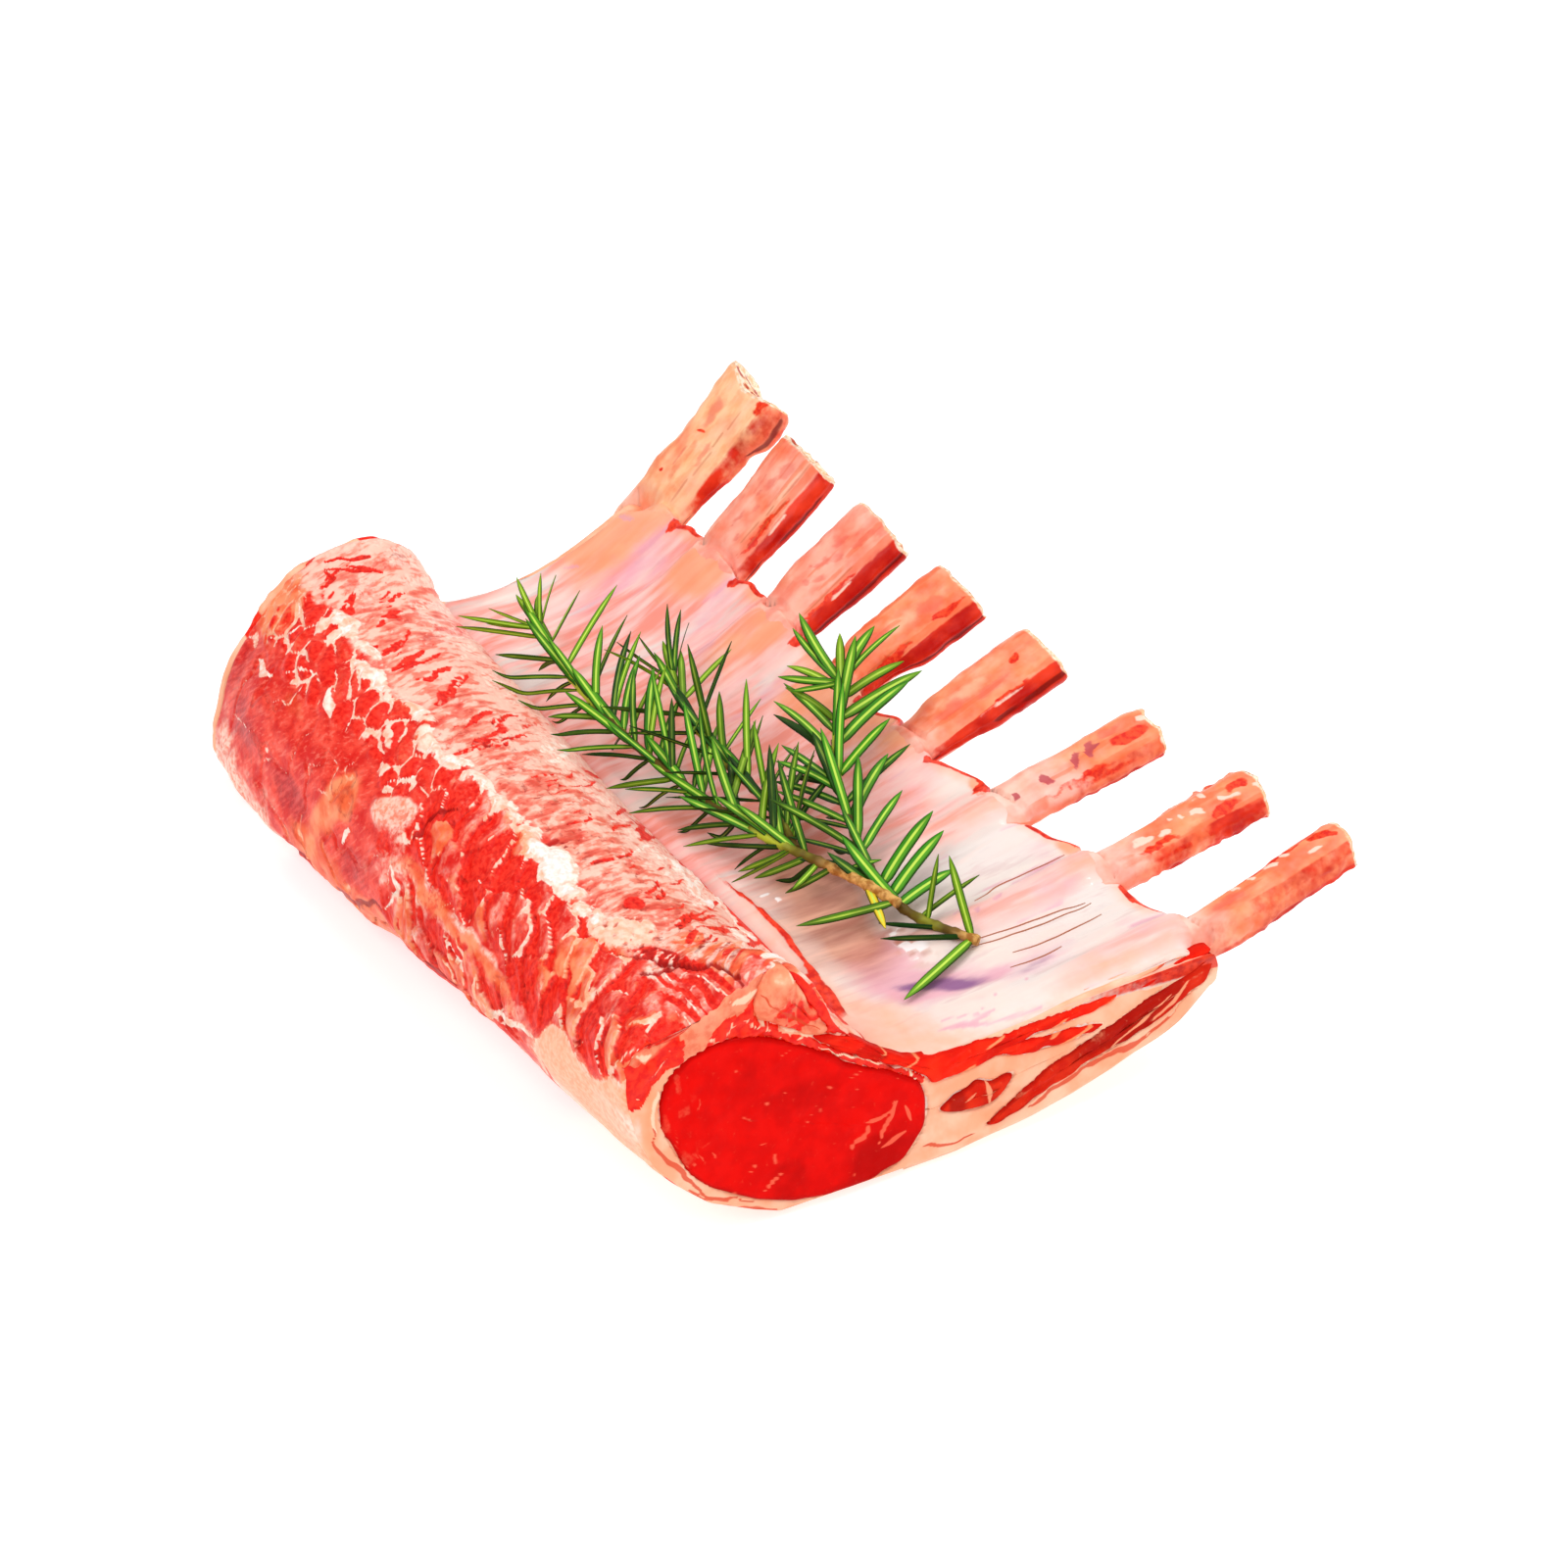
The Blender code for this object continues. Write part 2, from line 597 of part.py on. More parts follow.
def make_rosemary():
    """The long sprig has a side shoot. The short sprig passes under its cut end."""
    stems = stem_pieces(LONG_STEM) + stem_pieces(SIDE_SHOOT)
    short_lines = sprig("rosemary_short_sprig", SHORT_STEM, 28.0, stems)[1]
    long_sprig = sprig("rosemary_long_sprig", LONG_STEM, 14.0, short_lines)[0]
    shoot = sprig("side_shoot", SIDE_SHOOT, 12.0, short_lines)[0]
    combine(long_sprig, shoot, "UNION")


def main():
    for obj in list(bpy.data.objects):
        bpy.data.objects.remove(obj)
    body = make_fat_body()
    hollows = make_muscles() + make_intercostals() + [make_chine_muscle()] + make_ribs()
    cut_hollows(body, hollows)
    make_rosemary()


main()
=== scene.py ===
"""Raw frenched rack of lamb with two rosemary sprigs, on a pale floor in soft studio light.

The surfaces are read off the CAD solids, smoothed, and given the folds, seams and fibres of the
meat. Points are in millimetres, and are turned into metres when a mesh is made.
"""
import math

import bpy
import numpy as np
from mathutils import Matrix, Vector
from mathutils.bvhtree import BVHTree


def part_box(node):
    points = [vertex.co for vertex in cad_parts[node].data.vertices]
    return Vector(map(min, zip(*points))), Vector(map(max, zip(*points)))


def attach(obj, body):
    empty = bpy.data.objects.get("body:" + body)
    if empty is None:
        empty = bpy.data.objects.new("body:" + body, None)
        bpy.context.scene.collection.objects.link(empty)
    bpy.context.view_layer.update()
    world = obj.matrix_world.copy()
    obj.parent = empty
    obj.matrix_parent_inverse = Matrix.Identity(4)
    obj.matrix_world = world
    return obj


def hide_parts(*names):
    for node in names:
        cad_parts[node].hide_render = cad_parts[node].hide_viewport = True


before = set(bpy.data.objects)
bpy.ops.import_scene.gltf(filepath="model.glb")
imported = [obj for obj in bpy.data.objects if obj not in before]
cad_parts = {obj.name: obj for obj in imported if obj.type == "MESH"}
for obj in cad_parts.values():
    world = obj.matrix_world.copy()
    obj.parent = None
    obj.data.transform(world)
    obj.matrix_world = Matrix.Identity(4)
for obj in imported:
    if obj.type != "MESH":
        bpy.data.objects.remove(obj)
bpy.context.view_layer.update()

MM = 0.001
RIBS = 8
ABOVE, BELOW, BESIDE = 150, -20, 300       # where rays start from, outside the rack
HALF_LENGTH = 100                          # about half the rack's length along X
END_SPREAD = 12                            # most that a cut end's X differs from that
BODY_NODES = [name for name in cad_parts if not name.startswith("rosemary")]
MEAT_NODES = [name for name in BODY_NODES if not name.startswith("rib")]


# ---------------------------------------------------------------- numbers
def unit(value):
    """The value kept between 0 and 1."""
    return np.clip(value, 0, 1)


def smooth(t):
    """The share t, kept between 0 and 1, with soft ends."""
    t = unit(t)
    return t * t * (3 - 2 * t)


def ramp(value, low, high):
    """0 at low and 1 at high, with soft ends. low may be the larger."""
    return smooth((np.asarray(value, float) - low) / (high - low))


def window(value, low, high, soft):
    """1 between low and high, fading out over soft on each side."""
    return ramp(value, low - soft, low + soft) * ramp(value, high + soft, high - soft)


def mix(a, b, t):
    """The value at share t of the way from a to b."""
    return a + (b - a) * t


def lattice(i, j, k, seed):
    """A fixed random number from -1 to 1 for each lattice point."""
    h = (i * 73856093) ^ (j * 19349663) ^ (k * 83492791) ^ (seed * 26544357)
    h = (h ^ (h >> 13)) * 1274126177
    h = h & 0x7FFFFFFF
    h = (h ^ (h >> 15)) * 2246822519
    h = (h ^ (h >> 13)) & 0xFFFFFF
    return h / float(0xFFFFFF) * 2 - 1


def noise(points, size, seed=0):
    """Smooth noise from -1 to 1. size is the size of its lumps, one number or one for each axis."""
    q = np.asarray(points, float) / np.asarray(size, float)
    i = np.floor(q).astype(np.int64)
    f = q - i
    f = f * f * f * (f * (f * 6 - 15) + 10)
    total = 0.0
    for a in (0, 1):
        for b in (0, 1):
            for c in (0, 1):
                weight = np.abs(1 - a - f[..., 0]) * np.abs(1 - b - f[..., 1]) * np.abs(1 - c - f[..., 2])
                total = total + weight * lattice(i[..., 0] + a, i[..., 1] + b, i[..., 2] + c, seed)
    return total


def fractal(points, size, octaves=3, seed=0):
    """Noise with finer noise on top, each octave half as large and half as strong as the last."""
    total, share = 0.0, 0.0
    for k in range(octaves):
        total = total + noise(points, np.asarray(size, float) / 2 ** k, seed + 17 * k) / 2 ** k
        share += 1 / 2 ** k
    return total / share * 1.4


def plane_points(u, v):
    """Points for noise from two coordinates."""
    return np.stack(np.broadcast_arrays(u, v, 0.0 * u), -1)


def cells(u, v, seed, jitter=0.85):
    """Points in units of cells: distance to the nearest centre, how much further the next one is,
    a random number from -1 to 1 for each cell, and how far along u its centre is passed."""
    i, j = np.floor(u).astype(np.int64), np.floor(v).astype(np.int64)
    nearest = np.full(u.shape, 9.0)
    second = np.full(u.shape, 9.0)
    own, from_u = np.zeros(u.shape), np.zeros(u.shape)
    for a in (-1, 0, 1):
        for b in (-1, 0, 1):
            ci, cj = i + a, j + b
            du = u - (ci + 0.5 + 0.5 * jitter * lattice(ci, cj, 3, seed))
            dv = v - (cj + 0.5 + 0.5 * jitter * lattice(ci, cj, 5, seed))
            d = np.hypot(du, dv)
            closer = d < nearest
            second = np.where(closer, nearest, np.minimum(second, d))
            own = np.where(closer, lattice(ci, cj, 7, seed), own)
            from_u = np.where(closer, du, from_u)
            nearest = np.where(closer, d, nearest)
    return nearest, second - nearest, own, from_u


def blob(u, v, centre_u, centre_v, half_u, half_v, turn=0.0, soft=0.35):
    """1 inside an ellipse and 0 outside. turn is in degrees."""
    c, s = math.cos(math.radians(turn)), math.sin(math.radians(turn))
    du, dv = u - centre_u, v - centre_v
    r = np.hypot((du * c + dv * s) / half_u, (dv * c - du * s) / half_v)
    return ramp(r, 1 + soft, 1 - soft)


def inside_loop(u, v, loop, soft=0.4):
    """1 inside a closed outline and 0 outside, fading over soft to each side of it."""
    u, v = np.asarray(u, float), np.asarray(v, float)
    inside = np.zeros(u.shape, bool)
    nearest = np.full(u.shape, 1e9)
    for (u0, v0), (u1, v1) in zip(loop, np.roll(loop, -1, 0)):
        crossing = (v0 > v) != (v1 > v)
        if v1 != v0:
            inside ^= crossing & (u < u0 + (v - v0) * (u1 - u0) / (v1 - v0))
        nearest = np.minimum(nearest, np.hypot(u - u0, v - v0))
    return ramp(np.where(inside, nearest, -nearest), -soft, soft)


def stroke(u, v, points, width):
    """1 on a line through the points, 0 further than width from it. It thins towards its ends."""
    best = np.zeros(np.broadcast(u, v).shape)
    count = len(points) - 1
    for k, ((u0, v0), (u1, v1)) in enumerate(zip(points, points[1:])):
        du, dv = u1 - u0, v1 - v0
        t = unit(((u - u0) * du + (v - v0) * dv) / (du * du + dv * dv))
        d = np.hypot(u - u0 - t * du, v - v0 - t * dv)
        taper = 0.35 + 0.65 * np.sin(math.pi * np.clip((k + t) / count, 0.02, 0.98))
        best = np.maximum(best, ramp(d, width * taper, width * taper * 0.3))
    return best


def blur(grid, rows, columns):
    """A grid smoothed by a bell curve of these widths, in steps."""
    for axis, width in ((0, rows), (1, columns)):
        if width <= 0:
            continue
        reach = int(3 * width) + 1
        bell = np.exp(-0.5 * (np.arange(-reach, reach + 1) / width) ** 2)
        bell /= bell.sum()
        pad = [(0, 0)] * grid.ndim
        pad[axis] = (reach, reach)
        padded = np.pad(grid, pad, mode="reflect", reflect_type="odd")
        grid = sum(w * np.take(padded, range(k, k + grid.shape[axis]), axis) for k, w in enumerate(bell))
    return grid


def spline(points, steps, closed=False):
    """A smooth curve through the points."""
    p = np.asarray(points, float)
    n = len(p)
    p = np.concatenate([p[-1:], p, p[:2]]) if closed else np.concatenate([p[:1], p, p[-1:]])
    spans = n if closed else n - 1
    t = (np.arange(steps) / steps)[:, None]
    parts = []
    for k in range(spans):
        a, b, c, d = p[k:k + 4]
        parts.append(0.5 * (2 * b + (c - a) * t + (2 * a - 5 * b + 4 * c - d) * t ** 2
                            + (3 * b - a - 3 * c + d) * t ** 3))
    curve = np.concatenate(parts)
    return curve if closed else np.concatenate([curve, p[-2:-1]])


def strides(line):
    """Distances between the points of a line, each to the next."""
    return np.linalg.norm(np.diff(line, axis=0), axis=1)


def travelled(line):
    """Length along a line up to each of its points."""
    return np.concatenate([[0], np.cumsum(strides(line))])


def directions(line):
    """Unit vectors along a line at each of its points."""
    run = np.gradient(line, axis=0)
    return run / np.linalg.norm(run, axis=1)[:, None]


def circle(count):
    """Cosines and sines of evenly spaced angles."""
    turns = np.arange(count) / count * 2 * math.pi
    return np.cos(turns), np.sin(turns)


def rounding(distance, radius):
    """How far a rounded edge lies inside the full shape at this distance from the end."""
    return radius - np.sqrt(np.maximum(radius ** 2 - np.clip(radius - distance, 0, radius) ** 2, 0))


def resample(curve, count):
    """The curve at count places, evenly spaced along its length."""
    run = travelled(curve)
    at = np.linspace(0, run[-1], count)
    return np.stack([np.interp(at, run, curve[:, k]) for k in range(curve.shape[1])], 1)


# ---------------------------------------------------------------- the CAD solids
def solid_tree(names):
    """The named CAD nodes as one thing that rays can be sent at, in millimetres."""
    points, faces = [], []
    for name in names:
        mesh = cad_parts[name].data
        start = len(points)
        points += [v.co / MM for v in mesh.vertices]
        faces += [tuple(start + k for k in face.vertices) for face in mesh.polygons]
    return BVHTree.FromPolygons(points, faces)


def hit(tree, origin, direction, reach=400.0):
    """Where a ray meets the tree, or None."""
    found = tree.ray_cast(Vector(origin), Vector(direction), reach)[0]
    return None if found is None else np.array(found)


def upper(tree, x, y):
    """Where the upper side is at x and y, or None."""
    return hit(tree, (x, y, ABOVE), (0, 0, -1))


def lower(tree, x, y):
    """Where the lower side is at x and y, or None."""
    return hit(tree, (x, y, BELOW), (0, 0, 1))


MEAT = solid_tree(MEAT_NODES)
WHOLE = solid_tree(BODY_NODES)


def fit_end(direction):
    """X of a cut end as a smooth function of Y and Z, fitted to where rays along X meet it."""
    rows, values = [], []
    for y in np.arange(-45, 75, 5.0):
        for z in np.arange(4, 52, 4.0):
            found = hit(MEAT, (-direction * BESIDE, y, z), (direction, 0, 0))
            if found is not None and abs(found[0] + direction * HALF_LENGTH) < END_SPREAD:
                rows.append((1, y, z, y * y, y ** 3))
                values.append(found[0])
    terms = np.linalg.lstsq(np.array(rows, float), np.array(values), rcond=None)[0]
    return lambda y, z: terms[0] + terms[1] * y + terms[2] * z + terms[3] * y * y + terms[4] * y ** 3


near_x = fit_end(-1)
far_fit = fit_end(1)


def far_x(y, z):
    """X of the far cut end, which is trimmed where the plate runs out to the first rib."""
    return far_fit(y, z) + 1.4 * ramp(y, 4, 16) + 3.2 * ramp(y, 24, 52)


def sole(x, y):
    """Height of the underside, which is rounded up at the near end."""
    return 1.3 * ramp(x, 84, 98) * window(y, -38, 70, 14)


def ground(x, y):
    """Height of the upper side of the whole rack."""
    found = upper(WHOLE, x, y)
    return 0.0 if found is None else found[2]


# ---------------------------------------------------------------- meshes
def make_mesh(name, points, faces, material, replaces, masks=None):
    """A piece from points in millimetres, with masks as attributes for its material to read."""
    mesh = bpy.data.meshes.new(name)
    mesh.from_pydata((np.asarray(points) * MM).tolist(), [], faces)
    for key, values in (masks or {}).items():
        layer = mesh.attributes.new(key, "FLOAT", "POINT")
        layer.data.foreach_set("value", np.asarray(values, np.float32).ravel())
    mesh.shade_smooth()
    mesh.materials.append(material)
    piece = bpy.data.objects.new(name, mesh)
    bpy.context.scene.collection.objects.link(piece)
    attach(piece, "root")
    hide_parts(*replaces)


def loft_faces(rings, around):
    """Faces between rings of points, and two ends closed from side to side."""
    faces = []
    for r in range(rings - 1):
        a = r * around
        faces += [(a + k, a + (k + 1) % around, a + around + (k + 1) % around, a + around + k)
                  for k in range(around)]
    last = (rings - 1) * around
    for k in range(around // 2 - (around + 1) % 2):
        left, right = k, around - 1 - k
        if right - left > 2:
            faces.append((right, right - 1, left + 1, left))
            faces.append((last + left, last + left + 1, last + right - 1, last + right))
        elif right - left == 2:
            faces.append((right, right - 1, left))
            faces.append((last + left, last + right - 1, last + right))
    return faces


def outward(points, faces):
    """The same faces, turned so that the solid's volume is positive."""
    p = np.asarray(points, float)
    volume = 0.0
    for face in faces:
        a = p[face[0]]
        for k in range(1, len(face) - 1):
            volume += np.dot(a, np.cross(p[face[k]], p[face[k + 1]]))
    return faces if volume > 0 else [tuple(reversed(face)) for face in faces]


def grid_normals(grid):
    """Unit normals of a grid of points."""
    across = np.gradient(grid, axis=1)
    along = np.gradient(grid, axis=0)
    normal = np.cross(along, across)
    return normal / np.maximum(np.linalg.norm(normal, axis=-1, keepdims=True), 1e-9)


# ---------------------------------------------------------------- materials
def linear(screen):
    """A screen colour, three numbers from 0 to 255, as the shader's linear one."""
    def line(c):
        c /= 255
        return c / 12.92 if c <= 0.04045 else ((c + 0.055) / 1.055) ** 2.4
    return (*(line(c) for c in screen), 1.0)


class Shader:
    """A material whose nodes are made by short calls. Colours are screen colours, 0 to 255."""

    def __init__(self, name, roughness, specular, coat=0.0, coat_roughness=0.2):
        self.material = bpy.data.materials.new(name)
        self.material.use_nodes = True
        self.tree = self.material.node_tree
        self.out = self.tree.nodes["Principled BSDF"]
        self.out.inputs["Roughness"].default_value = roughness
        self.out.inputs["Specular IOR Level"].default_value = specular
        self.out.inputs["Coat Weight"].default_value = coat
        self.out.inputs["Coat Roughness"].default_value = coat_roughness
        self.coordinates = self.tree.nodes.new("ShaderNodeTexCoord").outputs["Object"]

    def put(self, socket, value):
        """Gives a socket a link to another, a colour or a number."""
        if isinstance(value, bpy.types.NodeSocket):
            self.tree.links.new(value, socket)
        else:
            socket.default_value = linear(value) if isinstance(value, tuple) else value

    def mask(self, name):
        """One of the piece's own masks."""
        node = self.tree.nodes.new("ShaderNodeAttribute")
        node.attribute_name = name
        return node.outputs["Fac"]

    def math(self, operation, a, b):
        node = self.tree.nodes.new("ShaderNodeMath")
        node.operation = operation
        self.put(node.inputs[0], a)
        self.put(node.inputs[1], b)
        return node.outputs[0]

    def add(self, a, b):
        return self.math("ADD", a, b)

    def times(self, a, b):
        return self.math("MULTIPLY", a, b)

    def swing(self, noise, amount):
        """Noise, which is from 0 to 1, turned into a push to each side of nothing."""
        return self.times(self.math("SUBTRACT", noise, 0.5), amount)

    def noise(self, size_mm, detail, stretch=(1, 1, 1), turn=(0, 0, 0)):
        """Noise with lumps of about size_mm, times stretch along axes that are turned in degrees."""
        place = self.tree.nodes.new("ShaderNodeMapping")
        place.vector_type = "TEXTURE"
        place.inputs["Rotation"].default_value = [math.radians(a) for a in turn]
        place.inputs["Scale"].default_value = [size_mm * MM * s for s in stretch]
        self.tree.links.new(self.coordinates, place.inputs["Vector"])
        node = self.tree.nodes.new("ShaderNodeTexNoise")
        node.inputs["Scale"].default_value = 1.0
        node.inputs["Detail"].default_value = detail
        self.tree.links.new(place.outputs[0], node.inputs["Vector"])
        return node.outputs["Fac"]

    def step(self, value, low, high):
        """0 below low and 1 above high, with soft ends."""
        node = self.tree.nodes.new("ShaderNodeMapRange")
        node.interpolation_type = "SMOOTHSTEP"
        self.put(node.inputs["Value"], value)
        node.inputs["From Min"].default_value = min(low, high)
        node.inputs["From Max"].default_value = max(low, high)
        node.inputs["To Min"].default_value = 0.0 if low < high else 1.0
        node.inputs["To Max"].default_value = 1.0 if low < high else 0.0
        return node.outputs["Result"]

    def crisp(self, name, size_mm, rough=0.5, edge=0.1, stretch=(1, 1, 1)):
        """A mask with an uneven, sharp border."""
        grain = self.swing(self.noise(size_mm, 2.0, stretch), rough)
        return self.step(self.add(self.mask(name), grain), 0.5 - edge, 0.5 + edge)

    def blend(self, factor, a, b):
        """Colour a where factor is 0 and b where it is 1."""
        node = self.tree.nodes.new("ShaderNodeMix")
        node.data_type = "RGBA"
        self.put(node.inputs["Factor"], factor)
        self.put(node.inputs[6], a)
        self.put(node.inputs[7], b)
        return node.outputs[2]

    def shades(self, value, low, high, a, b):
        """Colour a where the value is low and b where it is high."""
        return self.blend(self.step(value, low, high), a, b)

    def over(self, base, paint, where, share):
        """The base with this share of the paint over it where the mask is 1."""
        return self.blend(self.times(where, share), base, paint)

    def finish(self, base, bump=None, strength=0.0, distance_mm=0.0):
        """The material, with this base colour and with bumps of up to this height."""
        self.put(self.out.inputs["Base Color"], base)
        if bump is not None:
            node = self.tree.nodes.new("ShaderNodeBump")
            node.inputs["Strength"].default_value = strength
            node.inputs["Distance"].default_value = distance_mm * MM
            self.tree.links.new(bump, node.inputs["Height"])
            self.tree.links.new(node.outputs[0], self.out.inputs["Normal"])
        return self.material


# ---------------------------------------------------------------- the loin
AXIS = (-22.0, 22.0)       # Y and Z of the line that the loin's angles are measured round
LOIN_STATIONS = 376
LOIN_ANGLES = (9.0, 228.0)
LOIN_AROUND = 222
ROUND_NEAR, ROUND_FAR = 1.2, 3.5
END_GAP = 1.0              # depth of the bodies' far ends under the far cut's face
RAY_FROM, FIRST_RADIUS = 42, 25.0      # where rays at the loin start, and the first guess of its radius
UNDER_STEPS, UNDER_TO = 10, 18.0       # rows of points along the ground, and the Y that they reach


def radial_rows(angles, shares):
    """Distance of the loin's surface from its axis at each share of its length and each angle."""
    cosine, sine = np.cos(np.radians(angles)), np.sin(np.radians(angles))
    radius = np.full((len(shares), len(angles)), FIRST_RADIUS)
    for trial in range(2):
        y, z = AXIS[0] + radius * cosine, AXIS[1] + radius * sine
        low, high = far_x(y, z) + 2.0, near_x(y, z) - 1.6
        x = np.clip(mix(low - 2.0, high + 1.6, shares[:, None]), low, high)
        for r in range(len(shares)):
            for k in range(len(angles)):
                out = np.array([x[r, k], AXIS[0] + RAY_FROM * cosine[k], AXIS[1] + RAY_FROM * sine[k]])
                found = hit(MEAT, out, (0, -cosine[k], -sine[k]), RAY_FROM)
                if found is not None:
                    radius[r, k] = math.hypot(found[1] - AXIS[0], found[2] - AXIS[1])
        if trial == 0:
            radius = blur(radius, 2, 2)
    return radius


def loin_base():
    """The smoothed surface: a grid of points, with X in mm and the angle in degrees for each."""
    coarse_shares = np.linspace(0, 1, 84)
    coarse_angles = np.linspace(*LOIN_ANGLES, 99)
    radius = blur(radial_rows(coarse_angles, coarse_shares), 1.1, 0.9)
    shares = np.linspace(0, 1, LOIN_STATIONS)
    angles = np.linspace(*LOIN_ANGLES, LOIN_AROUND)
    part = np.stack([np.interp(shares, coarse_shares, radius[:, k]) for k in range(radius.shape[1])], 1)
    full = np.stack([np.interp(angles, coarse_angles, row) for row in part])
    full = blur(full, 2.0, 1.2)
    y = AXIS[0] + full * np.cos(np.radians(angles))
    z = AXIS[1] + full * np.sin(np.radians(angles))
    low, high = far_x(y, z) + END_GAP, near_x(y, z) - 0.5
    x = mix(low, high, shares[:, None])
    return np.stack([x, y, np.maximum(z, 0.0)], -1), np.broadcast_to(angles, x.shape)


def scales(u, v, seed):
    """Overlapping flakes of meat: height from 0 to 1 that climbs along u, a mask of their pale edge,
    which is a painted highlight on the crest, and one of the painted shadow behind it."""
    _, gap, own, du = cells(u, v, seed, 0.9)
    climb = du + 0.25 * own
    edge = ramp(gap, 0.2, 0.05) * ramp(climb, -0.05, 0.25)
    shadow = ramp(gap, 0.24, 0.04) * ramp(climb, 0.05, -0.3)
    return ramp(climb, -0.5, 0.4), edge, shadow, own


class Relief:
    """A surface's height in mm and its masks while they build up."""

    def lay(self, where, **amounts):
        """Adds this much of a zone to each of the named ones."""
        for name, amount in amounts.items():
            setattr(self, name, getattr(self, name) + amount * where)

    def least(self, where, **amounts):
        """Raises each of the named ones to at least this much of a zone."""
        for name, amount in amounts.items():
            setattr(self, name, np.maximum(getattr(self, name), amount * where))

    def fade(self, where, **amounts):
        """Takes this share of the named ones away in a zone."""
        for name, amount in amounts.items():
            setattr(self, name, getattr(self, name) * (1 - amount * where))


class Loin(Relief):
    """The loin's surface while it builds up: its height in mm and its masks, and the places and
    zones that they are measured by. x is along the rack and a the angle: the inner wall is at 10,
    the ridge at about 115, the left side at 180 and the underside past 220."""

    def __init__(self, x, a, p):
        self.x, self.a, self.p = x, a, p
        self.v = a * 0.5                       # about millimetres round the loin
        self.wx = x + 2.2 * noise(p, 9, 1) + 0.7 * noise(p, 3, 7)
        self.wa = a + 5.0 * noise(p, 11, 2) + 2.5 * noise(p, 4, 3)
        self.slanted = plane_points(self.wx - 0.24 * (a - 90), self.v)     # along the top's streaks
        self.folded = plane_points(x - 0.45 * a, self.v)                   # along the near end's folds
        self.ridge = (116 + 3.0 * noise(plane_points(x, 0 * x), 15, 4) + 3 * ramp(x, 20, 60)
                      - 5 * ramp(x, -40, -75))
        self.top = ramp(self.wa, self.ridge + 2.5, self.ridge - 2.5)
        self.left = 1 - self.top
        self.far_half = ramp(x, -5, -30)
        self.height = 0.35 * noise(p, 14, 5) + 0.2 * noise(p, 6, 6)
        self.fat, self.deep, self.pale, self.orange, self.red, self.dusk = np.zeros((6, *x.shape))

    def masks(self):
        """The masks that the loin's material reads."""
        rest = 1 - unit(self.fat) * 0.6
        spongy = self.top * (1 - self.fat) * (1 - self.inner) * (1 - self.fan)
        made = {"deep": self.deep * rest, "pale": self.pale, "orange": self.orange,
                "vivid": self.red * rest, "spongy": spongy, "dusk": self.dusk * rest,
                "flaky": self.flake_zone, "rosy": self.rosy * (1 - 0.8 * self.hump)}
        return {"fat": np.clip(self.fat, 0, 1.3), **{name: unit(mask) for name, mask in made.items()}}


def top_strip(m):
    """The top: spongy, streaked across, redder next to the ridge."""
    x, a, v, wa, slanted = m.x, m.a, m.v, m.wa, m.slanted
    m.streak = noise(slanted, (1.8, 8.0, 1), 11) + 0.6 * noise(slanted, (0.9, 4.0, 1), 12)
    m.broad = fractal(slanted, (5, 9, 1), 2, 15)
    blotch = fractal(slanted, (9, 12, 1), 2, 18)
    m.pale += (m.top
               * (0.5 + 0.4 * ramp(a, 85, 40) + 0.05 * m.far_half * ramp(a, 105, 70)
                  - 0.1 * ramp(x, -25, 5) * window(a, 62, 105, 10) + 0.3 * m.broad + 0.45 * blotch))
    patch_zone = window(wa, 72, 108, 7) * (0.35 + 0.9 * m.far_half)
    patches = ramp(m.streak + 0.45 * m.broad, 0.55, 0.8) * patch_zone
    m.speck = noise(slanted, (0.9, 1.7, 1), 13) + 0.5 * noise(plane_points(x, v), (0.5, 0.9, 1), 14)
    specks = ramp(m.speck, 0.42, 0.7) * m.top * window(x, -32, 75, 10) * (0.3 + 0.8 * ramp(a, 50, 78))
    flecks = ramp(m.speck, -0.5, -0.8) * m.top
    m.height += m.top * (0.3 * m.broad + 0.12 * m.streak - 0.22 * specks - 0.3 * patches + 0.15 * flecks)
    m.deep += 0.45 * specks
    m.pale += 0.5 * flecks
    m.red += 0.72 * patches
    m.rosy = (m.top * (window(x, -46, 66, 8) * (0.75 + 0.4 * m.broad) * window(a, 52, 112, 12)
                       + 0.75 * ramp(x, -34, -46) * window(a, 62, 112, 10) * (0.8 + 0.5 * m.broad)))
    long_streak = noise(slanted, (2.0, 20, 1), 16) + 0.4 * noise(slanted, (0.9, 9, 1), 17)
    m.rosy = m.rosy + m.top * ramp(a, 84, 56) * ramp(long_streak, 0.0, 0.5) * 0.85
    m.red += 0.75 * m.top * ramp(a, 100, 74) * ramp(long_streak, 0.6, 0.85) * window(x, -34, 75, 10)
    m.fat += 0.75 * m.top * window(a, 16, 66, 10) * ramp(long_streak, -0.5, -0.8) * window(x, -62, 62, 10)
    m.deep += 0.5 * m.top * ramp(a, 90, 60) * ramp(long_streak, -0.85, -1.0)


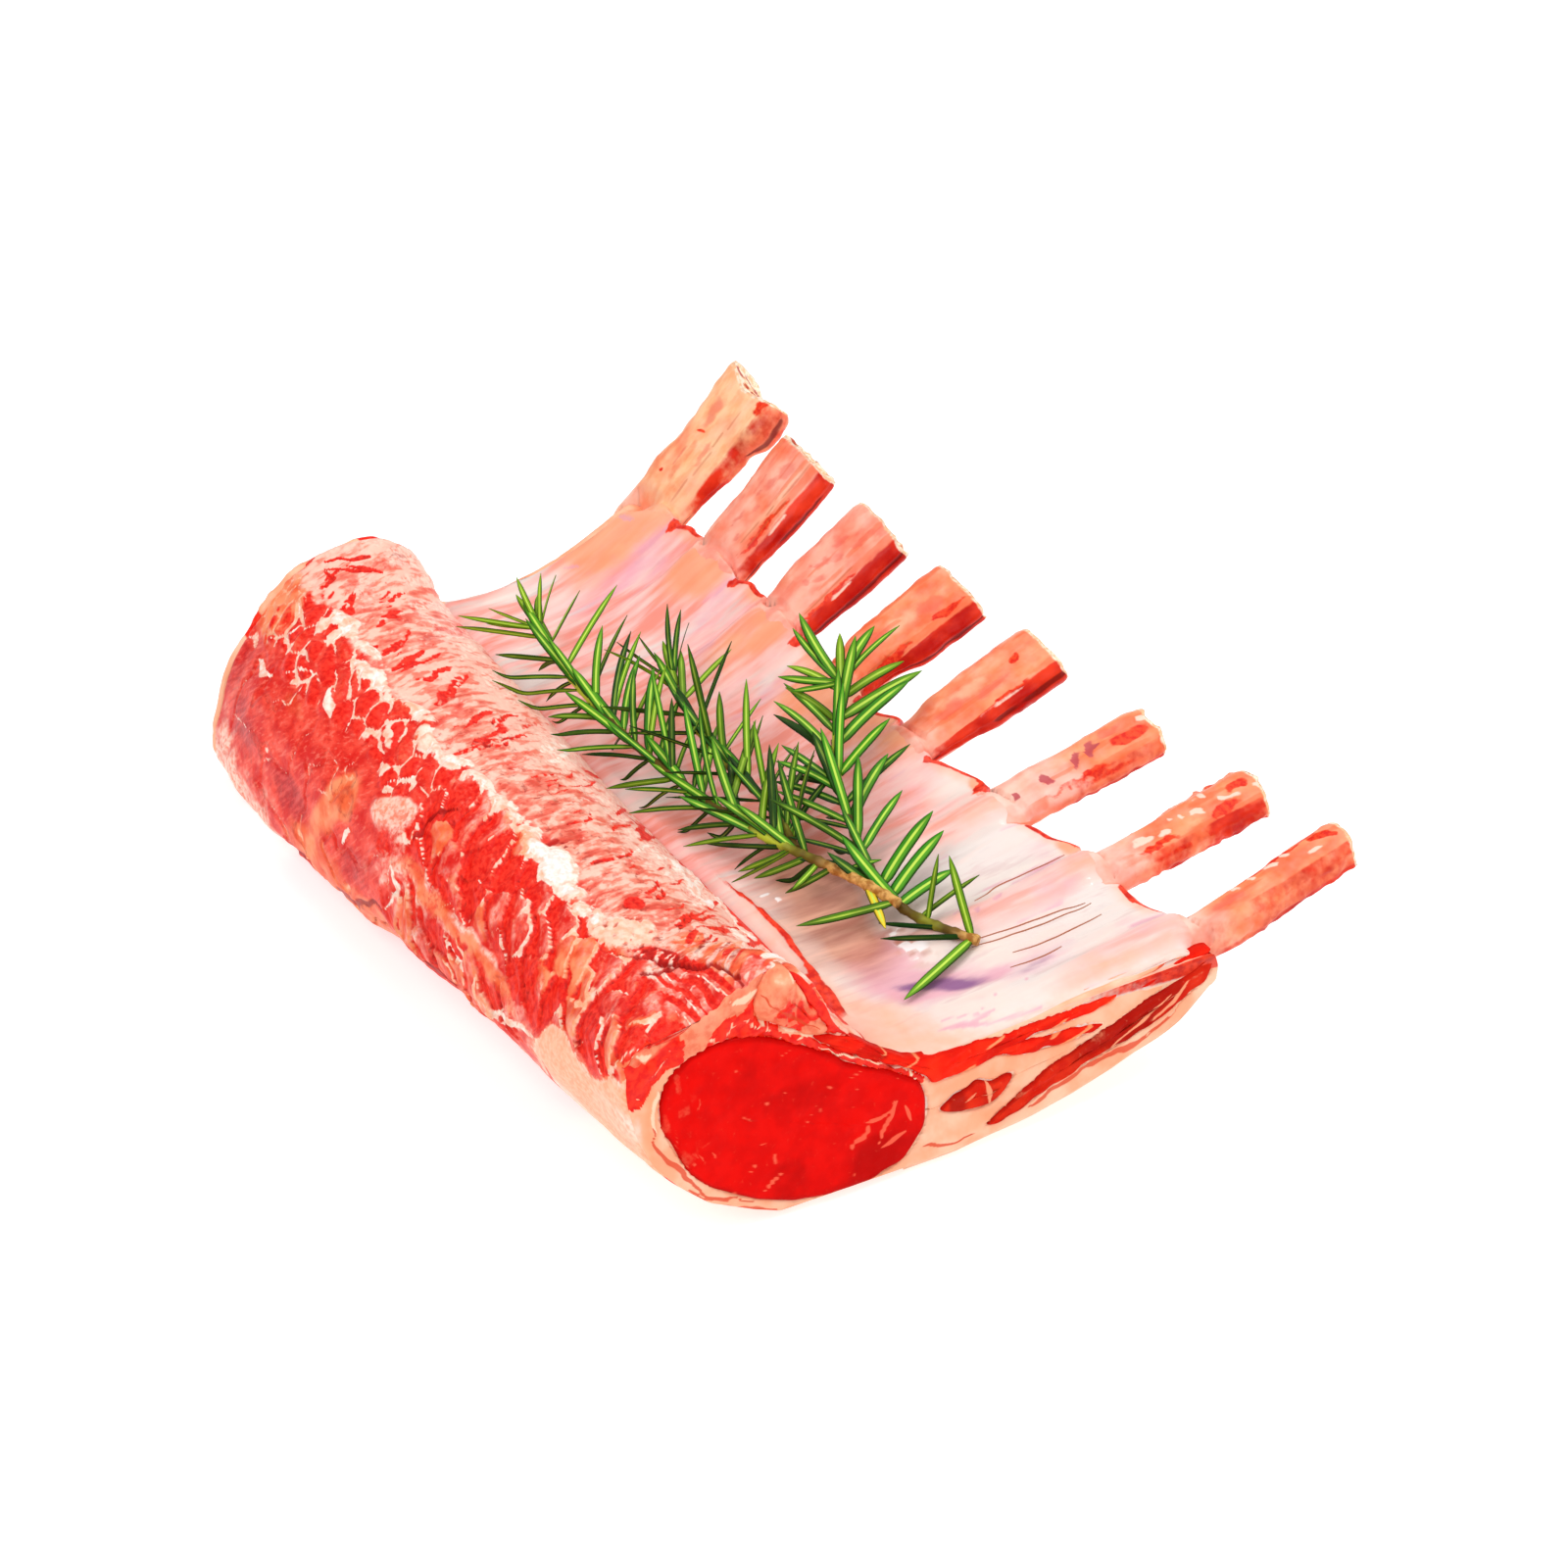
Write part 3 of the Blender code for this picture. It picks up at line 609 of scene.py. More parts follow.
# Red strokes on the top: points along the rack and in degrees round it, and half width in mm.
TOP_STROKES = (
    (((-25, 62), (-21, 80), (-17, 96), (-16, 110)), 2.0),
    (((-48, 66), (-44, 80), (-40, 92), (-38, 104)), 2.7), (((-66, 84), (-62, 95), (-60, 106)), 2.0),
    (((-74, 72), (-72, 86), (-70, 98)), 1.8), (((-83, 92), (-79, 99), (-77, 105)), 3.0),
    (((-56, 90), (-54, 97), (-53, 105)), 2.0), (((-34, 50), (-31, 66), (-28, 80)), 1.3),
    (((-83, 60), (-80, 72), (-78, 82)), 1.0), (((-12, 55), (-8, 72), (-5, 88)), 1.0),
    (((-4, 60), (-1, 76)), 1.0), (((22, 60), (28, 80), (31, 96)), 1.4),
    (((36, 62), (42, 78), (44, 92)), 1.5), (((48, 62), (54, 76), (58, 90)), 1.6),
    (((8, 64), (12, 80), (14, 94)), 1.0), (((-47, 88), (-45, 96), (-45, 104)), 1.4))


def top_strokes(m):
    """Red strokes across the top, a round spot and a dark patch."""
    x, a, wx, wa = m.x, m.a, m.wx, m.wa
    for points, width in TOP_STROKES:
        line = stroke(wx, wa, points, width) * ramp(m.speck, -0.6, -0.1)
        m.red = np.maximum(m.red, line)
        m.deep += 0.35 * line * ramp(m.speck, 0.0, 0.6)
        m.height -= 0.35 * line
    round_spot = blob(x - 0.12 * (a - 95), a, 47.2, 95.5, 2.3, 5.6, 0)
    m.least(round_spot, red=1.2)
    m.lay(round_spot, deep=0.35, height=-0.5)
    dark_patch = blob(wx, wa, 20.5, 106, 4.5, 5.0) * ramp(m.streak, -0.3, 0.3)
    m.lay(dark_patch, deep=1.0, height=-0.5)


def inner_wall(m):
    """White fat, and a glossy red band that climbs to the near end's top."""
    x, a, p, v, wa, slanted = m.x, m.a, m.p, m.v, m.wa, m.slanted
    wall = ramp(a, 48, 30)
    m.pale = np.maximum(m.pale, wall * (0.9 + 0.4 * m.broad))
    beads = wall * window(x, 18, 62, 6) * ramp(noise(slanted, (3.2, 6, 1), 21), -0.3, 0.1)
    m.lay(beads, fat=1.1, height=0.5)
    pink_patch = blob(x - 0.25 * (a - 30), a, -76, 30, 6, 13, 0, 0.5)
    m.red += 0.45 * pink_patch
    wall_streak = noise(plane_points(x - 0.4 * a, v), (1.5, 12, 1), 22)
    m.red += 0.8 * wall * window(x, -12, 70, 8) * ramp(wall_streak, 0.35, 0.6)
    m.pale += 0.5 * wall * ramp(wall_streak, -0.2, -0.6)
    m.inner = unit(0.6 * ramp(wa, 26, 18) * window(x, -2, 12, 6) * ramp(noise(p, 3, 29), -0.3, 0.3)
                   + ramp(wa, 13, 11) * window(x, 16, 96, 4))
    m.fade(m.inner, pale=1, fat=1, deep=1)
    m.red = np.maximum(m.red, 1.2 * m.inner)


# Fat nodules of the ridge: place along the rack and round it, half sizes and turn.
NODULES = (
    (-72, 108, 6, 4.5, 8), (-61, 107, 4, 4, -12), (-52, 115, 6, 4, 5), (-43, 117, 5, 3.5, 0),
    (-34, 115, 5, 4, 6), (-24, 116, 6, 4.4, -8), (-14, 116, 5, 4, 0), (-4, 116, 5, 3.6, 0),
    (6, 116, 6, 5, 4), (15, 116, 5, 5.5, 0), (22, 116, 4, 5, 0), (29.5, 111.5, 7.0, 8.0, -16),
    (40, 115.5, 6, 4.2, 0), (48, 115, 4, 3.6, 0))


def ridge_fat(m):
    """A broken band of fat nodules along the ridge, with a painted highlight on those between x 22 and
    38.
    """
    x, p, wx, wa = m.x, m.p, m.wx, m.wa
    m.nodules = np.zeros(x.shape)
    for cx, ca, half_x, half_a, turn in NODULES:
        m.nodules = np.maximum(m.nodules, blob(wx, wa, cx, ca, half_x, half_a, turn, 0.5))
    # painted highlight: the nodules between x 22 and 38 are made whitest
    m.bright = window(x, 22, 38, 4)
    broken = ramp(noise(p, 2.0, 23) + 0.6 * noise(p, 0.9, 26) + 1.5 * m.bright, -0.75, 0.15)
    chain = m.nodules * unit(0.35 + 0.75 * broken + 0.4 * m.bright)
    m.fat += 1.05 * chain + 0.5 * m.bright * m.nodules
    m.orange += 0.3 * m.nodules * (1 - m.bright) * ramp(noise(p, 6, 27), -0.3, 0.4)
    m.height += 0.7 * m.nodules + 0.25 * m.nodules * noise(p, 2.0, 23)
    peach = blob(wx, wa, 56, 110, 6.0, 11, 0, 0.4)
    m.fat += 0.85 * peach * ramp(m.speck, 0.9, 0.5)
    m.lay(peach, orange=0.45, height=0.8)
    m.red *= 1 - unit(0.9 * chain + peach)


def red_cells(m):
    """Under the ridge's far half: red cells in a cream network, and a lace at the far end."""
    x, a, p, wx, wa = m.x, m.a, m.p, m.wx, m.wa
    cell_zone = window(x, -92, -8, 7) * window(wa, m.ridge - 1, 139 + 7 * noise(p, 10, 24), 4)
    cu = (wx - 0.25 * (a - 125)) / 6.0
    near1, gap1, own1, du1 = cells(cu, wa * 0.5 / 6.0, 31)
    seam = ramp(gap1, 0.15 + 0.05 * own1, 0.04) * cell_zone * ramp(noise(p, 3.5, 33), -0.6, 0.0)
    inside = ramp(gap1, 0.08, 0.3) * cell_zone
    tufts = cell_zone * ramp(own1, 0.5, 0.75) * ramp(noise(p, 2.5, 28), -0.3, 0.3)
    m.fat += 0.85 * seam + 0.75 * tufts
    m.orange += 0.35 * (seam + tufts) + 0.3 * inside * ramp(own1, -0.2, -0.8)
    m.red = np.maximum(m.red, inside * (0.8 + 0.3 * own1))
    m.deep += 0.5 * inside * ramp(gap1, 0.35, 0.1) * ramp(du1, 0.0, 0.3)
    m.height += 0.75 * inside * ramp(near1, 0.75, 0.1) - 0.15 * seam + 0.25 * tufts
    lace_near, lace_gap, _, _ = cells(wx / 3.4, wa * 0.5 / 3.2, 34)
    lace_zone = window(x, -101, -84, 4) * window(wa, 106, 145, 6)
    m.fat += 0.6 * lace_zone * ramp(lace_gap, 0.26, 0.06)
    m.lay(lace_zone, orange=0.5, pale=0.3)
    m.height += 0.5 * lace_zone * ramp(lace_near, 0.6, 0.1)


def flakes(m):
    """Under the ridge's near half: rows of flakes, with painted highlights on their crests and raised
    parts and painted shadow behind them.
    """
    x, p, wx, wa = m.x, m.p, m.wx, m.wa
    m.flake_zone = (window(x, -10, 96, 6)
                    * window(wa, m.ridge + 1, 156 - 4 * ramp(x, 40, 70) + 5 * noise(p, 12, 41), 4))
    m.flake_zone = np.maximum(m.flake_zone, 0.85 * window(x, -6, 48, 6) * window(wa, 164, 184, 4))
    turned_u = 0.6 * wx - 0.8 * (wa - 120) * 0.5
    turned_v = 0.6 * (wa - 120) * 0.5 + 0.8 * wx
    lift1, lit_crest1, shadow1, own2 = scales(turned_u / 5.6, turned_v / 8.5, 43)
    lift2, lit_crest2, shadow2, _ = scales(turned_u / 2.8 + 0.5, turned_v / 5.0, 45)
    m.height += m.flake_zone * (1.25 * lift1 + 0.35 * lift2 - 0.6)
    # painted highlight: pale fat colour along each flake's crest
    m.fat += (m.flake_zone
              * (0.85 * lit_crest1 * ramp(noise(p, 6, 44), -0.4, 0.1) + 0.4 * lit_crest2
                 * ramp(noise(p, 6, 46), 0.2, 0.6)))
    m.orange += (0.35 * m.flake_zone * (lit_crest1 + lit_crest2) + m.flake_zone * 0.55
                 * ramp(own2 + 0.4 * lift1, 0.45, 1.0))
    # painted shadow behind each flake
    m.deep += m.flake_zone * (0.5 * shadow1 + 0.15 * shadow2)
    m.red = np.maximum(m.red, m.flake_zone * (0.72 - 0.6 * ramp(lift1, 0.2, 0.7) * ramp(own2, -0.6, 0.2)))
    # painted light: paler where the flakes stand highest
    m.pale += (m.flake_zone
               * (0.35 * ramp(lift1, 0.45, 1.0) * (0.7 + 0.5 * own2) + 0.2 * ramp(lift2, 0.5, 1.0)))


# Patches of the lower left face: place along the rack and round it, half sizes, turn and strength.
DUSKY_PATCHES = ((-78, 176, 8, 10, 0, 0.8), (-53, 179, 8, 8, 0, 0.85), (-92, 165, 5, 16, 0, 0.5),
                 (-66, 160, 10, 7, 0, 0.3), (-20, 176, 6, 12, 40, 0.6), (14, 171, 14, 7, 0, 0.3),
                 (30, 150, 10, 6, 0, 0.3), (74, 141, 10, 8, 0, 0.4))
# The same for its orange patches.
ORANGE_PATCHES = (
    (-36, 170, 5, 18, 20, 0.9), (-30, 160, 4, 5, 0, 0.8), (-47, 192, 6, 8, 30, 0.6),
    (8, 160, 12, 4, 0, 0.9), (30, 161, 12, 3.5, 0, 0.8), (55, 142, 7, 9, 0, 0.5),
    (-92, 130, 6, 12, 0, 0.5), (4, 176, 5, 9, 0, 0.5), (-62, 150, 5, 5, 0, 0.4), (44, 163, 6, 5, 0, 0.5))


def lower_muscle(m):
    """Smooth muscle with thin branching seams, and its darker and warmer patches."""
    x, p, v, wx, wa = m.x, m.p, m.v, m.wx, m.wa
    low_zone = ramp(wa, 138, 152) * m.left
    large = noise(p, 17, 51) + 0.5 * noise(p, 8, 52)
    grain = noise(plane_points(0.8 * x + 0.6 * v, 0.8 * v - 0.6 * x), (1.6, 9, 1), 56)
    branches = np.abs(noise(p, 10, 53) + 0.35 * noise(p, 4, 54))
    thin = ramp(branches, 0.05, 0.012) * low_zone * ramp(noise(p, 13, 55), -0.4, 0.1)
    m.lay(thin, fat=0.6, orange=0.3)
    m.height += (0.5 * low_zone * large + 0.12 * low_zone * grain + 0.18 * thin - 0.6 * low_zone
                 * ramp(branches, 0.1, 0.0))
    m.deep += 0.45 * low_zone * window(branches, 0.05, 0.14, 0.03) * ramp(large, 0.4, -0.2)
    m.pale += low_zone * (0.4 * ramp(large + 0.4 * grain, 0.25, 0.9) + 0.04)
    m.red += 0.45 * low_zone * ramp(wa, 172, 160) * ramp(large, -0.2, 0.2)
    for cx, ca, half_x, half_a, turn, amount in DUSKY_PATCHES:
        m.dusk += amount * blob(wx, wa, cx, ca, half_x, half_a, turn, 0.5)
    for cx, ca, half_x, half_a, turn, amount in ORANGE_PATCHES:
        m.orange += amount * blob(wx, wa, cx, ca, half_x, half_a, turn, 0.6)


# Seams of fat on the left face: points, half width in mm, strength and height in mm.
FAT_SEAMS = (
    (((-84, 153.5), (-80, 150.5), (-74, 146.5)), 1.9, 1.1, 0.4),
    (((-25.6, 172), (-25, 168), (-24.2, 163.5)), 1.1, 1.1, 0.5),
    (((-57, 131), (-53, 134), (-50, 137)), 3.4, 0.95, 0.5), (((-98, 146), (-96.5, 158)), 1.0, 0.9, 0.2),
    (((-22, 138), (-17, 133), (-16, 126)), 0.8, 0.8, 0.3),
    (((-5, 180), (-2, 170), (-6, 160)), 1.0, 0.75, 0.4),
    (((-70, 141), (-66, 136), (-60, 133)), 1.0, 0.8, 0.3),
    (((-44, 158), (-38, 164), (-35, 171)), 0.7, 0.6, 0.2),
    (((-68, 158), (-63, 150), (-64, 142)), 0.6, 0.7, 0.2),
    (((-84, 183), (-78, 176), (-70, 172)), 0.8, 0.6, 0.2),
    (((20, 166), (27, 170), (24, 162)), 0.9, 0.7, 0.3),
    (((38, 178), (48, 170), (58, 162)), 2.6, 1.0, 0.5),
    (((-83, 118), (-80, 128), (-84, 137)), 0.8, 0.8, 0.2),
    (((84, 150), (89, 142), (91, 134)), 0.6, 0.9, 0.2),
    (((87, 154), (92, 146), (93, 138)), 0.6, 0.9, 0.2),
    (((-50, 206), (-44, 196), (-38, 186)), 0.8, 0.6, 0.3))


def pale_seams(m):
    """A pale stripe, seams of fat and a lump of cream fat on the left face."""
    x, p, wx, wa = m.x, m.p, m.wx, m.wa
    stripe = (window(wa + 3 * noise(p, 5, 57), 156, 163, 2) * window(x, -4, 42, 4)
              * ramp(noise(p, 4, 58), -0.7, -0.1))
    m.lay(stripe, pale=0.8, height=0.35)
    m.fade(stripe, red=0.8)
    for points, width, amount, lift in FAT_SEAMS:
        line = stroke(wx, wa, points, width)
        m.fat = np.maximum(m.fat, amount * line)
        m.height += lift * line
    cream = blob(wx, wa, -14, 147.5, 6.0, 5.0, 10, 0.4) * m.left
    m.lay(cream, pale=1.0, orange=0.35, height=0.8)
    m.fade(cream, red=0.8)


# Dark creases of the left face, dark meat with painted shade in them: points and half width in mm.
FOLDS = (
    (((-42, 216), (-32, 203), (-20, 191), (-6, 183)), 3.0), (((-56, 210), (-51, 203), (-46, 200)), 3.6),
    (((-30, 214), (-18, 202), (-4, 192)), 0.8), (((-3, 150), (-5, 140), (-2, 130)), 1.4),
    (((6, 185), (20, 186), (36, 189)), 3.6))


def deep_folds(m):
    """Dark creases of the left face: dark meat with painted shade in them."""
    wx, wa = m.wx, m.wa
    for points, width in FOLDS:
        line = stroke(wx, wa, points, width)
        # painted shade: the creases are darkened
        m.deep = np.maximum(m.deep, 0.95 * line)
        m.fat *= 1 - line
        m.height -= 0.45 * line


def underside_sheen(m):
    """Painted pale sheen and orange towards the underside, and painted shade along its bottom edge."""
    x, a, p, wa = m.x, m.a, m.p, m.wa
    sheen = window(wa, 192, 218, 8) * (ramp(x, -56, -66) + window(x, -6, 60, 8))
    # painted sheen: pale over the underside
    m.pale += 0.85 * sheen
    m.orange += 0.3 * sheen * ramp(x, -30, -10) + 0.7 * window(wa, 186, 216, 6) * window(x, -44, -6, 5)
    m.height += 0.3 * sheen * noise(p, (30, 6, 4), 61)
    # painted shade along the bottom edge
    m.deep += 0.55 * ramp(a, 214, 224) * ramp(x, 50, 20)


def near_rind(m):
    """The peach rind of the near lower left, and the red line at its edge."""
    x, a, p, wx, wa = m.x, m.a, m.p, m.wx, m.wa
    rind_edge = 158 - 0.35 * (x - 62) + 4 * noise(p, 9, 62)
    rind = ramp(wa, rind_edge - 3, rind_edge + 3) * ramp(x + 0.1 * (a - 160), 52, 62)
    rind_pale = rind * ramp(noise(p, (20, 7, 6), 63) + 0.5 * ramp(a, 166, 154), 0.2, 0.7)
    m.fat = mix(m.fat, 0.85, rind)
    m.orange = mix(m.orange, 0.8 - 0.6 * rind_pale, rind)
    m.deep *= 1 - 0.9 * m.bright * m.nodules
    m.deep *= 1 - rind
    m.red *= 1 - rind
    m.dusk *= 1 - rind
    m.height = mix(m.height, 0.4 + 0.35 * noise(p, 15, 64), rind)
    rind_line = np.maximum(stroke(wx, wa, ((60, 178), (58, 190), (52, 205), (50, 222)), 1.0),
                           stroke(wx, wa, ((96, 190), (92, 206), (86, 224)), 2.2))
    m.red = np.maximum(m.red, 0.9 * rind_line)
    m.fat *= 1 - 0.8 * rind_line


def near_fan(m):
    """A fan of fine strands at the near end, under a crevice with painted shade in it and beside it."""
    x, p, v, wx, wa = m.x, m.p, m.v, m.wx, m.wa
    m.fan = window(x, 71.5, 95, 1.5) * window(wa, 97 + 0.05 * (x - 70), 119, 3)
    strands = 0.5 + 0.5 * np.sin((v + 0.12 * (x - 82) + 1.5 * noise(p, (7, 5, 5), 71)) * 2.0)
    m.fat = mix(m.fat, 0.72 * ramp(strands, 0.88, 1.0) * ramp(noise(p, (9, 3, 3), 75), -0.5, 0.1), m.fan)
    m.red = mix(m.red, 0.9 * ramp(strands, 0.75, 0.3), m.fan)
    m.deep = mix(m.deep, 0.35 * ramp(strands, 0.3, 0.0), m.fan)
    m.height += m.fan * (0.4 * strands + 0.3)
    route = ((61, 122), (66, 117), (70, 110), (73, 104), (80, 98), (88, 95.5), (93, 96))
    branch = ((70, 119), (72, 112), (74, 104))
    crevice = np.maximum(stroke(wx, wa, route, 1.2), stroke(wx, wa, branch, 0.9))
    # painted shade: the crevice is darkened
    m.deep = np.maximum(m.deep, 1.4 * crevice)
    m.fat *= 1 - crevice
    m.height -= 1.1 * crevice
    # painted shade: a dark patch beside the crevice
    crevice_shade = blob(wx, wa, 67, 109, 4.5, 9.5, 25, 0.5) * ramp(m.speck, -0.9, -0.2)
    m.deep += 0.55 * crevice_shade
    m.red = np.maximum(m.red, crevice_shade)
    m.fat *= 1 - 0.95 * crevice_shade


def near_folds(m):
    """Orange folds at the near end, streaked with white and red, with a painted white highlight."""
    x, a, p, wx, wa, folded = m.x, m.a, m.p, m.wx, m.wa, m.folded
    fold_orange = window(x, 82, 100, 3) * window(wa, 118, 150, 6)
    m.orange += 0.45 * fold_orange * ramp(noise(p, 4, 72), -0.2, 0.4)
    m.hump = window(x, 60, 100, 4) * window(a, 22, 98, 8)
    white_streak = ramp(noise(folded, (2.0, 9, 1), 74), 0.05, 0.4)
    warm_streak = ramp(noise(folded, (1.4, 11, 1), 77), 0.1, 0.4)
    m.orange += m.hump * (0.95 - 0.8 * white_streak)
    m.red += m.hump * 0.8 * warm_streak * (1 - white_streak) * ramp(a, 100, 84)
    m.pale += m.hump * (0.55 * white_streak - 0.2)
    # painted highlight: a white line and patch at the folds' top
    highlight_line = stroke(wx, wa, ((80, 58), (86, 68), (92, 80)), 1.6)
    m.fat = np.maximum(m.fat,
                       np.maximum(0.9 * highlight_line, 1.3 * blob(wx, wa, 86.5, 77, 2.6, 7, -12, 0.4)))
    m.deep += m.hump * 0.5 * ramp(noise(folded, (1.1, 8, 1), 76), 0.35, 0.6)
    m.height += m.hump * (0.5 + 0.6 * fractal(p, 5.5, 2, 73))


# Curved red slashes of the far rim.
SLASHES = (((-95, 96), (-91, 88), (-89, 78)), ((-98, 92), (-95, 82), (-95, 72)),
           ((-86, 104), (-90, 98), (-96, 96)), ((-93, 86), (-90, 78), (-88, 70)))


def far_rim(m):
    """A smooth salmon rim at the far end, with curved red slashes."""
    x, a, wx, wa = m.x, m.a, m.wx, m.wa
    end = ramp(x, -90, -98) * window(a, 45, 112, 10)
    m.lay(end, pale=0.5, orange=0.25)
    for points in SLASHES:
        slash = stroke(wx, wa, points, 1.5)
        m.least(slash, red=1.1, deep=0.45)
        m.lay(slash, height=-0.4)


def loin_outline(m):
    """The outline: fuller at the far top and the near lower left, hollow in between."""
    x, a = m.x, m.a
    m.height += 2.7 * ramp(x, -82, -94) * window(a, 30, 74, 12)
    m.height += 1.5 * ramp(x, 68, 88) * window(a, 175, 235, 14)
    m.height -= 0.7 * ramp(x, -86, -95) * window(a, 88, 150, 10)
    m.height += 1.3 * ramp(x, 0, -26) * ramp(a, 178, 198)
    m.height -= 2.6 * window(x, -10, 38, 14) * ramp(a, 182, 204)


LOIN_LAYERS = (top_strip, top_strokes, inner_wall, ridge_fat, red_cells, flakes, lower_muscle, pale_seams,
               deep_folds, underside_sheen, near_rind, near_fan, near_folds, far_rim, loin_outline)


def loin_relief(x, a, p):
    """Height in mm and masks of the loin's surface."""
    loin = Loin(x, a, p)
    for layer in LOIN_LAYERS:
        layer(loin)
    return loin.height, loin.masks()


def meat_material():
    s = Shader("loin_meat", roughness=0.4, specular=0.1, coat=0.05, coat_roughness=0.08)
    fine = s.noise(1.1, 4.0)
    medium = s.noise(4.5, 4.0)
    falling = s.noise(0.9, 4.0, stretch=(1, 1, 6), turn=(0, -40, 0))
    rising = s.noise(0.9, 4.0, stretch=(1, 1, 6), turn=(0, 42, 0))
    fibres = s.add(s.times(falling, s.mask("flaky")),
                   s.times(rising, s.math("SUBTRACT", 1.0, s.mask("flaky"))))
    streaks = s.noise(1.7, 3.0, stretch=(1, 3.4, 3.4), turn=(0, 0, 20))
    base = s.shades(medium, 0.34, 0.64, (224, 34, 26), (248, 76, 58))
    base = s.over(base, (255, 134, 112), s.step(fibres, 0.52, 0.7), 0.5)
    base = s.over(base, (206, 26, 22), s.step(fibres, 0.45, 0.33), 0.5)
    # pale meat and fat, with painted sheen on the underside and painted light on the flakes
    soft = s.shades(fine, 0.35, 0.6, (246, 142, 118), (255, 214, 196))
    base = s.blend(s.step(s.add(s.mask("pale"), s.swing(medium, 1.2)), 0.1, 0.9), base, soft)
    base = s.blend(s.crisp("orange", 2.5, 0.5, 0.4), base,
                   s.shades(medium, 0.35, 0.65, (244, 100, 56), (252, 150, 104)))
    # the spongy top: rosy, with pale and red strokes and dark pits
    rosy = s.shades(streaks, 0.36, 0.62, (238, 116, 94), (250, 174, 150))
    base = s.over(base, rosy, s.step(s.mask("rosy"), 0.1, 0.8), 0.9)
    lean_to_pale = s.add(streaks, s.times(s.math("SUBTRACT", s.mask("pale"), 0.6), 0.28))
    stroke_red = s.times(s.step(lean_to_pale, 0.47, 0.36), s.mask("spongy"))
    stroke_pale = s.times(s.step(lean_to_pale, 0.5, 0.6), s.mask("spongy"))
    base = s.over(base, (228, 74, 56), stroke_red, 0.36)
    base = s.over(base, (255, 216, 198), stroke_pale, 0.5)
    pits = s.times(s.step(lean_to_pale, 0.36, 0.28), s.mask("spongy"))
    base = s.over(base, (190, 36, 24), pits, 0.35)
    red = s.shades(s.add(s.times(fine, 0.5), s.times(fibres, 0.5)), 0.38, 0.62, (222, 20, 12),
                   (252, 58, 40))
    base = s.blend(s.crisp("vivid", 1.0, 0.7, 0.2), base, red)
    base = s.over(base, s.shades(fibres, 0.4, 0.62, (176, 28, 34), (214, 62, 62)),
                  s.crisp("dusk", 3.0, 0.5, 0.4), 0.75)
    # dark meat, with painted shade in the creases and crevice, behind the flakes and along the bottom
    # edge
    dark = s.shades(medium, 0.35, 0.65, (186, 30, 24), (148, 8, 6))
    base = s.over(base, dark, s.crisp("deep", 0.9, 0.6, 0.3), 0.9)
    cream = s.shades(s.noise(1.6, 4.0), 0.36, 0.6, (250, 190, 166), (255, 236, 222))
    cream = s.over(cream, s.shades(fine, 0.35, 0.65, (250, 160, 118), (253, 188, 150)), s.mask("orange"),
                   1.1)
    # whitest fat, with a painted highlight on the ridge and the near folds
    cream = s.blend(s.step(s.mask("fat"), 1.05, 1.3), cream,
                    s.shades(fine, 0.35, 0.6, (255, 222, 210), (255, 246, 240)))
    base = s.blend(s.crisp("fat", 0.8, 0.6, 0.14), base, cream)
    relief = s.add(s.times(fine, 0.5), s.add(s.times(fibres, 0.25), s.times(streaks, 0.25)))
    return s.finish(base, relief, 0.45, 0.6)


def make_loin(material):
    """The loin's skin from cut to cut, closed underneath. Gives its rings of points."""
    base, a = loin_base()
    normal = grid_normals(base)
    if np.mean(np.sum(normal[:, :, 1:] * (base[:, :, 1:] - AXIS), -1)) < 0:
        normal = -normal
    x = base[..., 0]
    height, masks = loin_relief(x, a, base)
    from_far = x - far_x(base[..., 1], base[..., 2])
    from_near = near_x(base[..., 1], base[..., 2]) - x
    for distance, radius in ((from_far, ROUND_FAR), (from_near, ROUND_NEAR)):
        height = height * smooth(distance / 3) - rounding(distance, radius)
    height *= ramp(a, 8.5, 13) * 0.85 + 0.15
    p = base + normal * height[..., None]
    p[..., 2] = np.maximum(p[..., 2], sole(p[..., 0], p[..., 1]))
    # the flat underside and the hidden side next to the plate
    stations = p.shape[0]
    foot, heel = p[:, 0], p[:, -1]
    under = [np.stack([heel[:, 0], mix(heel[:, 1], UNDER_TO, t),
                       mix(heel[:, 2], sole(heel[:, 0], 0.0), min(1, t * 4))], 1)
             for t in np.linspace(0.06, 1, UNDER_STEPS)]
    inside = [under[-1] + (foot - under[-1]) * t for t in (0.25, 0.5, 0.75)]
    rings = np.concatenate([p, np.stack(under + inside, 1)], 1)
    around = rings.shape[1]
    points = rings.reshape(-1, 3)
    extra = around - p.shape[1]
    padded = {key: np.pad(value, ((0, 0), (0, extra)), mode="edge") for key, value in masks.items()}
    faces = outward(points, loft_faces(stations, around))
    make_mesh("loin", points, faces, material, ["chine_muscle", "fat_body"], padded)
    return rings


# ---------------------------------------------------------------- the plate
PLATE_STATIONS = 256
PLATE_ACROSS = 92
RIM_STEPS = 9
PLATE_ROUND_FAR = 2.0
PLATE_FOOT = 7.5           # Y where the plate's upper side comes out from under the loin
PLATE_MIDDLE = (40, 25)    # Y and Z at which the plate's length is measured


def rib_widths():
    """X of each rib's middle, and half of its width."""
    boxes = [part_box(f"rib_{number}") for number in range(1, RIBS + 1)]
    middles = [(low.x + high.x) / 2 / MM for low, high in boxes]
    halves = [(high.x - low.x) / 2 / MM for low, high in boxes]
    return middles, halves


RIB_MIDDLES, RIB_HALVES = rib_widths()


